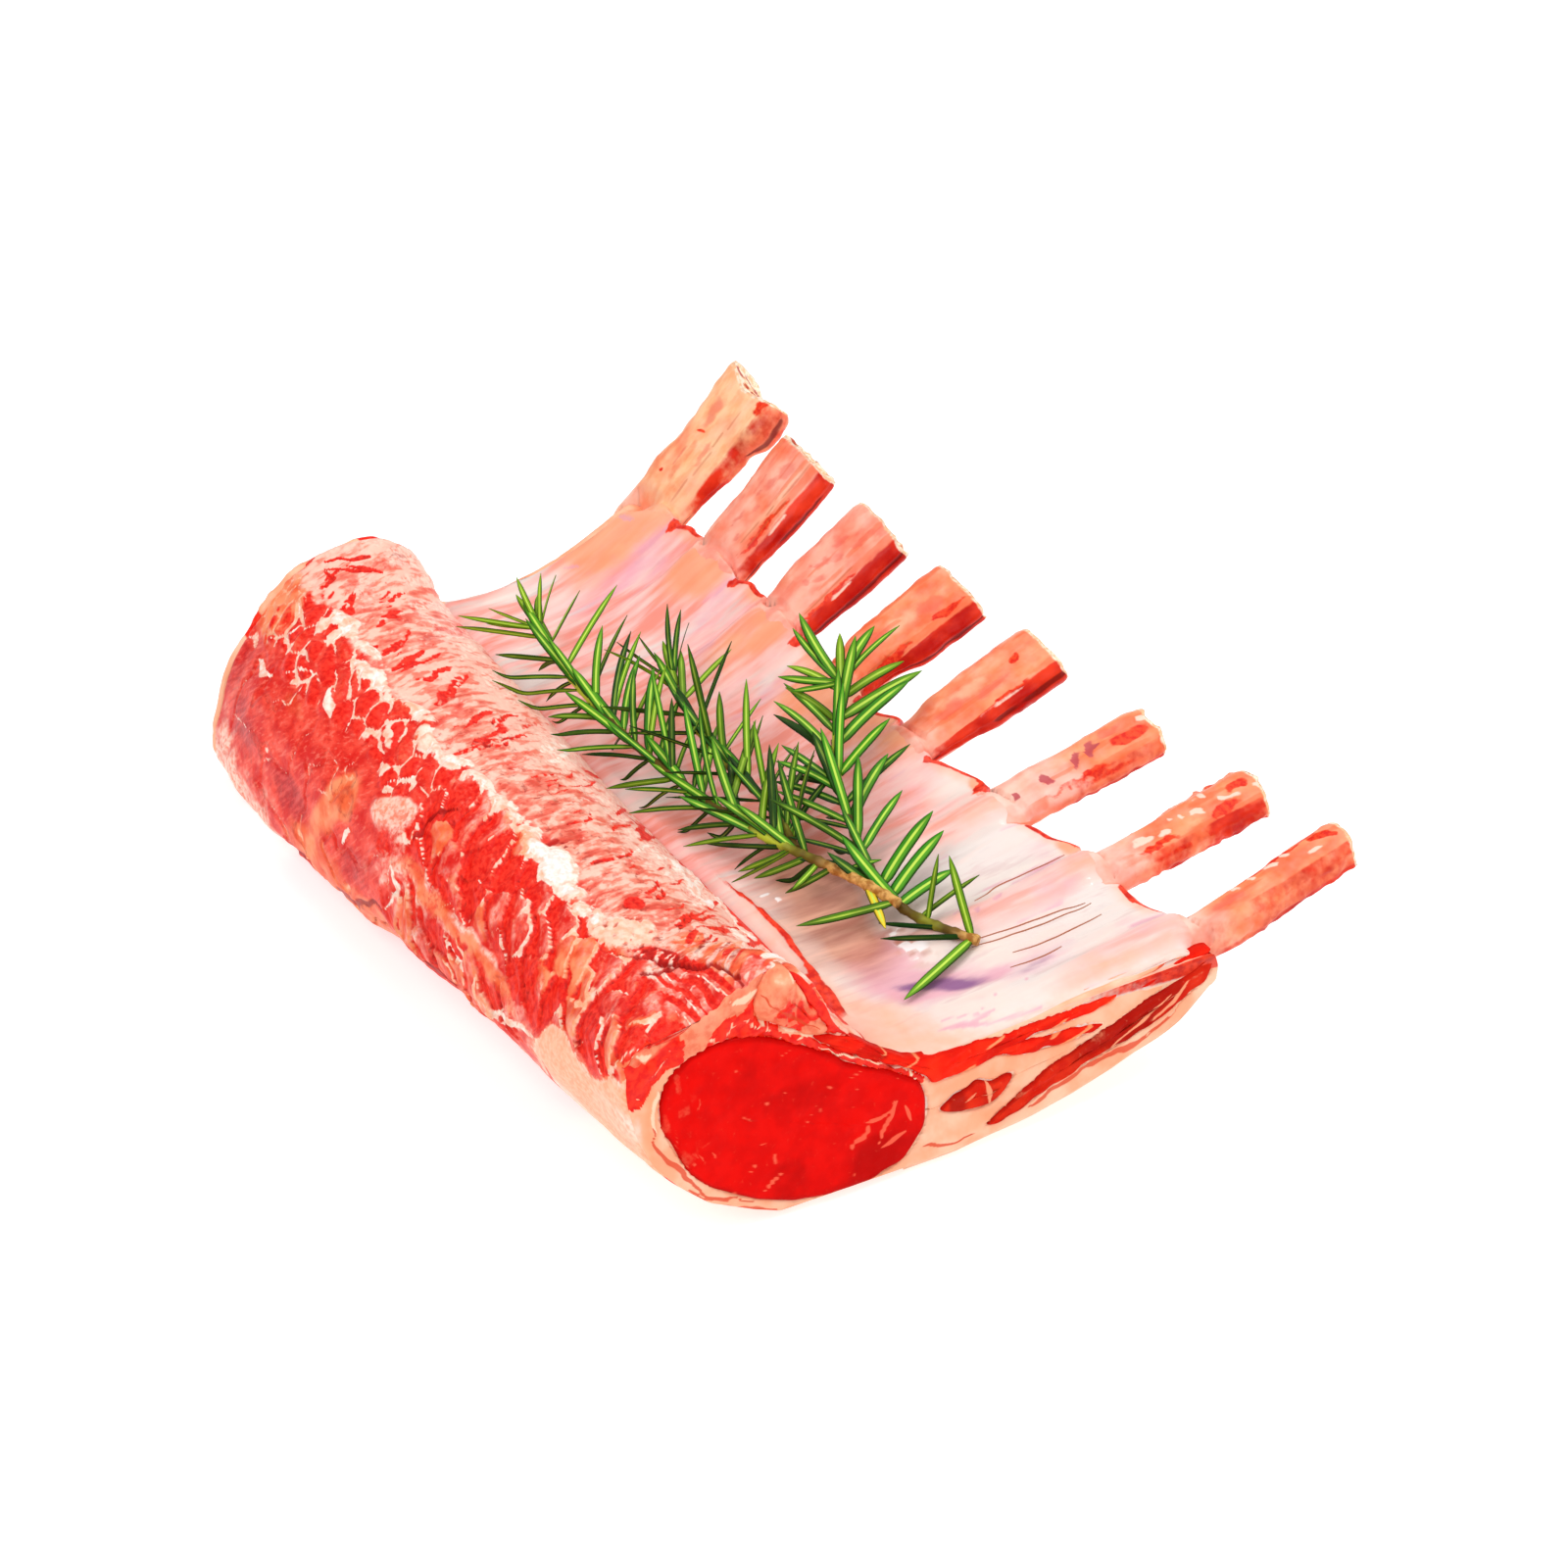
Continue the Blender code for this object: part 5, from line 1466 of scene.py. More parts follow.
def near_fat_look(y, z):
    """The fat of the near cut: peach rind, red folds round the top of the eye, orange lines and pale
    strokes, partly painted highlights.
    """
    p = face_points(y, z)
    wy = y + 1.0 * noise(p, 5, 201) + 0.4 * noise(p, 2, 208)
    wz = z + 1.0 * noise(p, 5, 202) + 0.4 * noise(p, 2, 209)
    height = 0.3 * noise(p, 6, 203) + 0.12 * noise(p, 2.5, 204)
    left, top, flank = (inside_loop(wy, wz, spline(loop, 5, closed=True), 0.5)
                        for loop in (LEFT_FOLD, TOP_FOLD, FLANK))
    folds = np.maximum(np.maximum(left, top), inside_loop(wy, wz, LONG_FOLD, 0.4))
    red = np.maximum(folds, flank)
    cream = np.zeros(y.shape)
    for points, width, amount in CREAM_AND_HIGHLIGHT_STROKES:
        cream += amount * stroke(wy, wz, points, width)
    seam = stroke(wy, wz, ((-20, 48.5), (-16.5, 44), (-12.5, 40), (-9.5, 37.8)), 0.8)
    seam = np.maximum(seam,
                      0.8 * stroke(wy, wz, ((-10, 37), (-4, 32.2), (2, 28.6), (8, 25.2), (12, 22)), 0.4))
    flecks = ramp(noise(p, (2.6, 1.1, 1.1), 205), 0.5, 0.8) * folds * (0.4 + 0.3 * ramp(y, -38, -34))
    orange = (0.25 + 0.3 * noise(p, 9, 206) + 0.5 * blob(wy, wz, 70, 25, 14, 4, 18, 0.6)
              + 0.5 * blob(wy, wz, -33, 47, 7, 2.4, 10, 0.5))
    red = (red - 0.6 * blob(wy, wz, -45.5, 45.5, 3.2, 1.8, 10, 0.5)
           - 0.5 * blob(wy, wz, -42, 47.5, 2.4, 1.2, 0, 0.5))
    orange = (orange + 0.9 * blob(wy, wz, -45, 45.5, 5, 3.2, 10, 0.5)
              + 0.5 * blob(wy, wz, -46, 30, 1.6, 9, 0, 0.5) + 0.4 * blob(wy, wz, 24, 7.5, 6, 2, 10, 0.5))
    lines = np.zeros(y.shape)
    for points, width in ORANGE_LINES:
        lines = np.maximum(lines, stroke(wy, wz, points, width))
    pearl = ramp(wz - 0.07 * (y - 30), 26.8, 28.2) * ramp(y, 20, 30)
    pearl = np.maximum(pearl, 0.45 * blob(wy, wz, -50, 24, 3, 12, 0, 0.6))
    height += 0.35 * unit(cream) - 0.2 * lines + 0.5 * folds * noise(p, 3, 207) + 0.3 * seam
    for corners in (EYE_LOOP, BAND_LOOP, BRANCH_LOOP, UPPER_LOOP, ISLAND_LOOP, CAP_LOOP, EAR_LOOP):
        height -= 1.3 * inside_loop(y, z, spline(corners, 4, closed=True), 0.7)
    pale = unit(np.maximum(cream, np.maximum(seam, 0.9 * flecks)))
    return height, {"red": unit(red - pale), "cream": pale, "orange": unit(orange), "lines": lines,
                    "pearl": pearl,
                    "rosy": unit(0.8 * ramp(z, 40, 44) * ramp(y, 0, -8)
                                 * ramp(noise(p, 5, 210), -0.5, 0.3))}


def far_rings():
    """Outlines of the two muscles of the far cut, which the photo doesn't show."""
    eye, island = spline(EYE_LOOP, 8, closed=True), spline(ISLAND_LOOP, 8, closed=True)
    middle = eye.mean(0)
    return middle + 0.84 * (eye - middle) + np.array([-3.0, -0.5]), island + np.array([0, 1.0])


def paired(loop):
    """The outline with each lower point straight under an upper one, so that its sides close cleanly."""
    loop = np.roll(loop, -int(np.argmin(loop[:, 0])), 0)
    right = int(np.argmax(loop[:, 0]))
    upper = resample(loop[:right + 1], len(loop) // 2 + 1)
    upper[:, 0] = np.maximum.accumulate(upper[:, 0]) + 1e-4 * np.arange(len(upper))
    lower = np.concatenate([loop[right:], loop[:1]])
    lower = lower[np.argsort(lower[:, 0])]
    under = np.stack([upper[:, 0], np.interp(upper[:, 0], lower[:, 0], lower[:, 1])], 1)
    return np.concatenate([upper, under[1:-1][::-1]])


def far_fat_look(y, z):
    """The fat of the far cut, hollow under its two muscles."""
    p = face_points(y, z)
    height = 0.3 * noise(p, 8, 211) + 0.12 * noise(p, 3, 212)
    for ring in far_rings():
        height -= 1.3 * inside_loop(y, z, ring, 0.7)
    red = ramp(noise(p, (9, 9, 4), 213), 0.2, 0.5) * ramp(z, 30, 36)
    return height, {"red": red, "cream": 0.4 * ramp(noise(p, 6, 214), 0.1, 0.7),
                    "orange": 0.35 + 0.3 * noise(p, 7, 215), "lines": 0 * y,
                    "pearl": ramp(z - 0.35 * (y - 20), 26, 28) * ramp(y, 20, 30)}


def cut_fat_material():
    s = Shader("cut_fat", roughness=0.34, specular=0.15, coat=0.06, coat_roughness=0.1)
    fine = s.noise(1.6, 4.0)
    broad = s.noise(7.0, 3.0)
    base = s.shades(broad, 0.35, 0.65, (250, 176, 138), (255, 204, 172))
    base = s.over(base, (252, 150, 98), s.mask("orange"), 0.7)
    base = s.blend(s.crisp("pearl", 2.0, 0.3, 0.2), base, (250, 232, 222))
    base = s.over(base, s.shades(fine, 0.35, 0.62, (232, 76, 44), (246, 134, 98)), s.mask("rosy"), 0.85)
    red = s.shades(fine, 0.35, 0.65, (234, 14, 4), (254, 48, 18))
    base = s.blend(s.crisp("red", 1.6, 0.5, 0.2), base, red)
    # cream fat, with painted highlights on the near cut's lumps and the ear
    base = s.over(base, (255, 214, 180), s.crisp("cream", 1.2, 0.5, 0.2), 0.9)
    base = s.over(base, (226, 66, 26), s.step(s.mask("lines"), 0.3, 0.8), 0.85)
    return s.finish(base, fine, 0.3, 0.4)


EYE_VEINS = 60             # short pale strokes of the eye
# Longer pale strokes in the eye: points in Y and Z, and half width.
EYE_STROKES = (
    (((2.5, 10.5), (4, 14), (6, 18.5)), 1.0), (((-0.5, 15.6), (2.0, 15.2), (4.4, 16.2)), 0.6),
    (((8, 16), (9.5, 12.5)), 0.7), (((-4, 10), (-1, 13), (1, 16)), 0.7), (((-24, 8), (-20, 11.5)), 0.7),
    (((3, 9.5), (8, 10.5)), 0.6))


def eye_look(y, z):
    """Marbling of the eye: short pale strokes, a white fleck, and a darker border."""
    p = face_points(y, z)
    wy, wz = y + 1.0 * noise(p, 4, 221), z + 1.0 * noise(p, 4, 222)
    height = 0.22 * noise(p, 5, 223) + 0.1 * noise(p, 2, 224)
    vein = np.zeros(y.shape)
    for k in range(EYE_VEINS):
        across, upwards, turning, longer, stronger = (lattice(np.int64(k), n, 0, 225)
                                                      for n in range(1, 6))
        cy, cz = -16 + 27 * across, 22 + 18 * upwards
        turn, half, weight = 1.2 + 1.3 * turning, 1.0 + 0.6 * longer, 0.45 + 0.4 * stronger
        dy, dz = half * math.cos(turn), half * math.sin(turn)
        points = ((cy - dy, cz - dz), (cy + 0.3, cz), (cy + dy, cz + dz))
        vein = np.maximum(vein, weight * stroke(wy, wz, points, 0.42))
    for points, width in EYE_STROKES:
        vein = np.maximum(vein, stroke(wy, wz, points, width))
    vein = np.maximum(vein, 0.4 * ramp(noise(p, (2.4, 1.6, 2.6), 220), 0.1, 0.6) * ramp(y, -33, -39))
    shade = (0.75 * blob(wy, wz, 3, 7, 10, 5, 12, 0.7) + 0.5 * ramp(noise(p, (9, 9, 9), 229), 0.1, 0.7)
             * ramp(y, -34, -22))
    return height + 0.12 * vein, {"vein": unit(vein), "shade": unit(shade)}


def lean_material(name, bright, middle, dark, pale):
    """Cut meat: fine grain, darker patches and pale strokes."""
    s = Shader(name, roughness=0.45, specular=0.03, coat=0.015, coat_roughness=0.1)
    fine = s.noise(1.1, 4.0)
    grain = s.noise(4.5, 3.0)
    base = s.shades(grain, 0.3, 0.7, middle, bright)
    base = s.over(base, dark, s.crisp("shade", 3.0, 0.6, 0.5), 0.7)
    base = s.over(base, pale, s.step(fine, 0.62, 0.8), 0.22)
    base = s.over(base, dark, s.step(s.mask("border"), 0.0, 1.0), 0.6)
    base = s.blend(s.crisp("vein", 0.8, 0.4, 0.3), base, pale)
    return s.finish(base, s.add(fine, grain), 0.3, 0.3)


def with_border(look, loop, width):
    """The same look with a mask that is 1 at the outline and 0 further in than width."""
    def bordered(y, z):
        height, masks = look(y, z)
        d = np.min(np.hypot(y[:, None] - loop[None, :, 0], z[:, None] - loop[None, :, 1]), 1)
        uneven = width * (1 + 0.5 * noise(face_points(y, z), 4, 231))
        return height, {**masks, "border": ramp(d, uneven, 0.0)}
    return bordered


STREAK_TURN = 0.3          # radians that the streaks of the plate's meat are turned by


def streaked_look(seed, stretch, dark_from=None):
    """Meat with streaks along the plate. dark_from is a stretch of Y over which it gets darker."""
    def look(y, z):
        p = face_points(y, z)
        c, s = math.cos(STREAK_TURN), math.sin(STREAK_TURN)
        turned = np.stack([0 * y, y * c + z * s, z * c - y * s], -1)
        streak = noise(turned, (1, stretch, 1.0), seed)
        shade = ramp(noise(turned, (1, 9, 3), seed + 1), -0.2, 0.5)
        if dark_from is not None:
            shade = unit(shade * ramp(y, *dark_from) + 0.3)
        return 0.25 * streak + 0.15 * noise(p, 2, seed + 2), {"vein": 0.75 * ramp(streak, 0.45, 0.75),
                                                              "shade": shade}
    return look


# Outlines of what is set into the near cut, in Y and Z.
EYE_LOOP = (
    (-44.2, 31), (-42.5, 38), (-37, 42.5), (-29, 43.8), (-20, 41.5), (-11, 36), (-2, 29.5), (6, 24.8),
    (11.8, 20.5), (13.6, 15), (12, 9), (8.5, 5), (3, 2.6), (-5, 1.7), (-14, 2.6), (-23, 5.2), (-31, 9.5),
    (-37.5, 15), (-41.5, 22))
BAND_LOOP = (
    (-10.5, 38.4), (-5, 37.2), (1, 33.4), (5.5, 29.4), (10, 26.6), (16, 25.6), (24, 25.2), (32, 24.6),
    (40, 25.2), (48, 25.4), (56, 26.4), (58, 25.2), (52, 23.4), (44, 22.6), (37, 22.0), (31, 20.6),
    (25, 19.6), (19, 19.0), (15.2, 19.4), (12.8, 21.8), (7, 26.0), (-1, 30.9), (-7, 35.2))
BRANCH_LOOP = ((29, 21.2), (34, 22.0), (40, 21.2), (47, 21.0), (53, 20.2), (54, 19.0), (47, 18.2),
               (40, 18.4), (34, 19.2))
UPPER_LOOP = ((58, 25.8), (64, 27.4), (70, 28.4), (77, 29.6), (80, 29.4), (75, 27.4), (69, 26.2),
              (63, 25.0))
ISLAND_LOOP = ((16.5, 12.4), (19.5, 14.6), (23, 15.4), (25.5, 16.4), (28.5, 15.0), (31.5, 15.4),
               (33.6, 14.8), (31.2, 11.8), (27.8, 9.8), (23.5, 9.8), (19.5, 10.8))
CAP_LOOP = ((27, 5.0), (31, 7.6), (36, 10.4), (42, 13.6), (49, 16.2), (56, 18.6), (63, 21.4), (69, 23.6),
            (75, 26.0), (80.2, 28.0), (80.6, 25.8), (77.5, 22.2), (72, 18.8), (65, 15.8), (57, 13.2),
            (49, 11.2), (41, 8.8), (34, 6.2))
EAR_LOOP = ((-22.5, 47), (-21.5, 53), (-19, 56.2), (-16, 55.6), (-13.4, 51.8), (-11.2, 46.8),
            (-8.8, 42.2), (-7.4, 39.4), (-9.5, 38.4), (-12.5, 39.8), (-16.5, 42.6), (-20, 44.8))


def ear_look(y, z):
    """A lump of pinkish fat: painted highlights on top, orange with red specks in the middle, red at its
    foot.
    """
    p = face_points(y, z)
    height = 1.2 * noise(p, 4.5, 241) + 0.7 * noise(p, 2.2, 242)
    specks = ramp(noise(p, 0.9, 243), 0.1, 0.5) * blob(y, z, -14, 44.5, 4.5, 3.4, -40, 0.5)
    warm = blob(y + noise(p, 3, 247), z, -14, 45, 5.5, 4.4, -40, 0.6)
    streaks = ramp(noise(p, (4, 1.6, 3.6), 244), 0.2, 0.6)
    # painted highlights: two pale spots near the top
    bright = (0.55 * blob(y + noise(p, 2, 248), z, -16.5, 54, 2.0, 1.3, -20, 0.7)
              + 0.5 * blob(y, z, -12.6, 49.5, 0.9, 2.6, 20, 0.5))
    seam = stroke(y + 0.6 * noise(p, 2, 249), z, ((-21, 52), (-18, 47.5), (-13, 43), (-9.5, 40)), 0.5)
    return height - 0.2 * specks, {
        "red": unit(0.9 * specks + 0.4 * warm + 0.75 * streaks * ramp(z, 53, 45)),
        "cream": unit(0.8 * bright + 0.4 * streaks * ramp(z, 46, 50)),
        "orange": unit(0.85 + 0.6 * warm - 0.5 * bright),
        "lines": 0.9 * seam,
        "pearl": 0.3 * bright,
        "rosy": unit(0.65 + 0.5 * warm + 0.3 * streaks - bright)}


def wobbled(loop, amount, size, seed):
    """The outline with small uneven waves."""
    p = face_points(*loop.T)
    return loop + amount * np.stack([noise(p, size, seed), noise(p, size, seed + 1)], 1)


def make_near_cut(loin, plate):
    """The near end: its fat, the eye, and the smaller pieces of meat and fat set into it."""
    fat = cut_fat_material()
    outline = inset(end_outline(-5, loin, *plate), 0.55)
    make_cut("near_cut_fat", outline, near_x, fat, ["fat_body"], near_fat_look, levels=64)
    eye = lean_material("eye", (236, 10, 4), (220, 6, 3), (170, 3, 2), (246, 96, 70))
    deep = lean_material("dark_lean", (232, 50, 22), (214, 28, 10), (150, 8, 6), (248, 156, 116))
    bright = lean_material("bright_lean", (252, 46, 20), (244, 26, 10), (206, 18, 8), (255, 150, 100))
    loop = wobbled(spline(EYE_LOOP, 9, closed=True), 0.35, 3.5, 251)
    make_cut("eye_cut", loop, near_x, eye, ["eye_muscle"], with_border(eye_look, loop, 1.6),
             lift=0.3, levels=52)
    for name, corners, material, node, look, lift, levels in (
            ("band_cut", BAND_LOOP, bright, "intercostal_8", streaked_look(261, 7.0), 0.28, 10),
            ("band_branch", BRANCH_LOOP, bright, "intercostal_8", streaked_look(264, 6.0), 0.3, 7),
            ("band_upper", UPPER_LOOP, bright, "intercostal_8", streaked_look(267, 6.0), 0.3, 7),
            ("island_cut", ISLAND_LOOP, deep, "island_muscle", island_look, 0.3, 12),
            ("cap_cut", CAP_LOOP, deep, "cap_muscle", cap_look, 0.3, 12),
            ("ear_lump", EAR_LOOP, fat, "fat_body", ear_look, 1.1, 18)):
        ring = wobbled(spline(corners, 10, closed=True), 0.4, 2.6, 255)
        if material is fat:
            slot, shown, soft = "fat", look, 2.2
        else:
            slot, shown, soft = "dark_meat", with_border(look, ring, 0.7), 0.6
        make_cut(name, ring, near_x, material, [node], shown, lift, levels, soft)


def island_look(y, z):
    """The island: two pale strokes on dark meat."""
    p = face_points(y, z)
    fleck = (stroke(y, z, ((27.2, 10.6), (27.6, 13), (27.2, 15.2)), 0.9)
             + 0.6 * stroke(y, z, ((22, 12.4), (24.5, 13.8)), 0.5))
    return 0.25 * noise(p, 3, 271) + 0.3 * fleck, {"vein": unit(fleck),
                                                   "shade": ramp(noise(p, 4, 272), -0.3, 0.6)}


def cap_look(y, z):
    """The cap: streaked, with two pale lines towards its tip."""
    height, masks = streaked_look(275, 8.0, (40, 62))(y, z)
    lines = (stroke(y, z, ((56, 14), (63, 17.4), (70, 21.6)), 0.5)
             + stroke(y, z, ((66, 17), (71, 20), (74, 23.6)), 0.8))
    return height, {**masks, "vein": unit(0.5 * masks["vein"] + lines)}


def make_far_cut(loin, plate):
    """The far end: its fat and two muscles."""
    fat = bpy.data.materials["cut_fat"]
    outline = paired(inset(end_outline(9, loin, *plate), 0.6))
    make_cut("far_cut_fat", outline, far_x, fat, ["fat_body"], far_fat_look, levels=32)
    eye, deep = bpy.data.materials["eye"], bpy.data.materials["dark_lean"]
    eye_ring, island_ring = far_rings()
    for name, ring, material, slot, node, look in (
            ("eye_far", eye_ring, eye, "eye_meat", "eye_muscle", eye_look),
            ("island_far", island_ring, deep, "dark_meat", "island_muscle", island_look)):
        make_cut(name, ring, far_x, material, [node], with_border(look, ring, 1.2), 0.3, 16)


# ---------------------------------------------------------------- the ribs
RIB_AROUND = 72
RIB_STEP = 0.6
RIB_RAYS, MOST_SECTIONS = 96, 200
ROOT_INSIDE = 11.0         # how far a rib's visible piece starts inside the plate's edge
TIP_RINGS = (0.96, 0.9, 0.8, 0.62, 0.4, 0.2)
TIP_CUT = (1.0, 1.0, 0.8, 0.7, 0.7, 0.7)           # for each tip ring: share of the cut's colour
TIP_MARROW = (0.2, 0.8, 1, 1, 1, 1)                # for each tip ring: share of marrow


def rib_sections(number):
    """Outlines of a CAD rib square to its own curved line, from inside the plate to the tip."""
    tree = solid_tree([f"rib_{number}"])
    low, high = (np.array(corner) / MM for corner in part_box(f"rib_{number}"))
    x = (low[0] + high[0]) / 2

    def middle(y):
        return (upper(tree, x, y) + lower(tree, x, y)) / 2

    start = plate_edge(x) - ROOT_INSIDE
    point, after = middle(start), middle(start + 3)
    run = (after - point) / np.linalg.norm(after - point)
    side = np.array([1.0, 0, 0])
    sections, centres = [], []
    for _ in range(MOST_SECTIONS):
        up = np.cross(side, run)
        outline = []
        for k in range(RIB_RAYS):
            turn = 2 * math.pi * k / RIB_RAYS
            found = hit(tree, point, math.cos(turn) * side + math.sin(turn) * up)
            outline.append(point if found is None else found)
        outline = np.array(outline)
        flat = np.stack([(outline - point) @ side, (outline - point) @ up], 1)
        shift = (flat.max(0) + flat.min(0)) / 2
        point = point + shift[0] * side + shift[1] * up
        sections.append(outline)
        centres.append(point)
        ahead = hit(tree, point, run)
        if ahead is None or np.linalg.norm(ahead - point) < RIB_STEP * 1.6:
            break
        if len(centres) > 6:
            back = centres[-1] - centres[-7]
            run = back / np.linalg.norm(back)
        point = point + run * RIB_STEP
    rings = []
    for outline in sections:
        loop = resample(np.concatenate([outline, outline[:1]]), RIB_AROUND + 1)[:-1]
        wrapped = np.concatenate([loop[-8:], loop, loop[:8]])
        rings.append(blur(wrapped, 1.5, 0)[8:-8])
    rings = blur(np.array(rings).reshape(len(rings), -1), 3.0, 0).reshape(len(rings), RIB_AROUND, 3)
    return rings, plate_edge(x)


# For each rib: how far its cut end reaches past the CAD's, from its far side to its near side.
TIP_PROFILES = {
    1: (0.7, -0.6, -3.0, -2.4, -1.2), 2: (0.4, 0.3, 0.3, -0.3, -0.6), 3: (-0.2, 1.0, 1.2, 0.3, -0.6),
    4: (-0.2, 0.6, 0.3, 0.6, 0.0), 5: (-0.4, 0.4, 0.4, 0.5, 0.5), 6: (-0.8, 0.7, 0.2, 0.7, -0.3),
    7: (-1.2, 0.4, 1.2, 0.6, -0.2), 8: (-0.6, 0.6, 0.9, 0.8, -0.4)}
# For each rib: share of pink, of yellow, how far the pale sheath reaches from the plate, and how ragged.
RIB_LOOKS = {1: (0.2, 0.8, 2, 0.5), 2: (0.7, 0.2, 6, 0.3), 3: (0.8, 0.1, 5, 0.25), 4: (0.1, 0.0, 2, 0.4),
             5: (0.25, 0.0, 6, 0.35), 6: (-0.1, 0.1, 17, 0.45), 7: (-0.1, 0.1, 9, 1.1),
             8: (-0.1, 0.15, 6, 0.7)}
SIDE_REDNESS = {1: 0.8, 2: 1.0, 3: 1.0, 4: 1.0, 5: 1.1, 6: 0.5, 7: 0.72, 8: 0.6}
# For each rib: how much wider its far and near side are than the CAD's near the plate, in mm.
ROOT_SIDES = {1: (1.2, -1.5), 2: (0.2, -0.7), 3: (0.3, -0.6), 4: (0.0, -2.2), 5: (0.0, -1.7),
              6: (0.7, -0.4), 7: (-1.4, 0.7), 8: (-1.3, 2.0)}
# Marks on the ribs' upper sides: rib, kind, distance from the plate, place across, half length and
# half width in mm, and turn.
RIB_MARKS = (
    (1, "rose", 13, -0.3, 2.0, 0.5, 10), (1, "red", 20, -0.25, 0.6, 0.5, 0),
    (1, "red", 7, -0.5, 1.2, 0.6, 30), (1, "rose", 25, -0.3, 3.5, 1.2, 0),
    (1, "rose", 16, 0.25, 3.0, 0.8, 0), (1, "pale", 22, 0.1, 3.0, 1.4, 10),
    (1, "red", 36, 0.75, 5.0, 1.1, 0), (1, "pale", 34, 0.5, 3.5, 0.9, 8),
    (2, "rose", 10, -0.2, 2.0, 0.5, 0), (2, "rose", 14, 0.0, 1.6, 0.5, 5),
    (2, "rose", 17, -0.25, 1.5, 0.4, 0), (2, "rose", 7, 0.15, 1.4, 0.5, 0),
    (2, "rose", 21, -0.1, 2.0, 0.8, 0), (2, "red", 12, 0.62, 9.0, 0.7, 0),
    (2, "pale", 21, 0.45, 5.0, 0.9, 0), (2, "rose", 25, 0.0, 2.2, 1.6, 70),
    (3, "rose", 9, -0.1, 1.4, 0.6, 0), (3, "rose", 12, 0.1, 1.6, 0.6, 8),
    (3, "rose", 15, -0.2, 1.4, 0.5, 0), (3, "rose", 18, 0.0, 1.6, 0.7, 0),
    (3, "rose", 21, -0.3, 1.8, 0.7, 10), (3, "rose", 13, -0.35, 1.2, 0.5, 0),
    (3, "rose", 24, 0.15, 1.4, 0.6, 0), (3, "red", 10, 0.7, 8.0, 0.6, 0),
    (4, "rose", 10, -0.2, 4.0, 1.4, 0), (4, "pale", 16, -0.1, 5.0, 1.6, 0),
    (4, "red", 9, 0.6, 7.0, 1.0, 0), (4, "rose", 24, 0.0, 3.0, 1.8, 0), (4, "red", 26, 0.5, 3.0, 1.0, 0),
    (5, "rose", 10, 0.0, 5.0, 1.2, 0), (5, "pale", 15, -0.2, 4.5, 1.2, 0),
    (5, "rose", 20, 0.2, 4.0, 1.2, 0), (5, "red", 28, -0.1, 1.4, 0.9, 0),
    (5, "red", 20, 0.75, 8.0, 0.6, 0), (5, "pale", 29, 0.8, 1.6, 0.5, 0),
    (6, "nick", 9.5, 0.1, 1.1, 1.9, 20), (6, "nick", 18, 0.0, 1.1, 2.4, 20),
    (6, "nick", 22, -0.1, 1.4, 2.2, 20), (6, "nick", 1.5, 0.1, 0.8, 1.3, 0),
    (6, "red", 30, 0.2, 4.0, 1.6, 0), (6, "red", 15, 0.75, 9.0, 0.7, 0),
    (6, "pale", 34, -0.2, 1.6, 1.0, 30), (6, "rose", 27, -0.4, 3.0, 1.0, 0),
    (7, "pale", 9, 0.1, 2.2, 1.0, 10), (7, "pale", 14, 0.3, 2.0, 0.9, 0),
    (7, "pale", 19, -0.1, 1.2, 0.7, 40), (7, "pale", 23, 0.1, 1.3, 0.8, 40),
    (7, "pale", 30, 0.1, 2.0, 0.8, 30), (7, "red", 28, 0.5, 3.0, 1.4, 0),
    (7, "red", 33, -0.2, 2.0, 1.4, 20), (7, "pale", 36, 0.3, 1.4, 0.5, 60),
    (7, "red", 11, 0.6, 5.0, 0.8, 0), (7, "pale", 26, -0.5, 1.2, 0.6, 30),
    (8, "red", 20, -0.7, 14.0, 0.5, 0), (8, "pale", 11, -0.4, 1.3, 0.6, 20),
    (8, "pale", 16, -0.5, 1.2, 0.6, 30), (8, "pale", 21, -0.45, 1.4, 0.6, 20),
    (8, "pale", 25, -0.5, 1.0, 0.5, 30), (8, "red", 33, -0.3, 2.0, 1.0, 40),
    (8, "rose", 8, 0.0, 4.0, 1.0, 0), (8, "pale", 30, 0.2, 1.6, 0.6, 0))


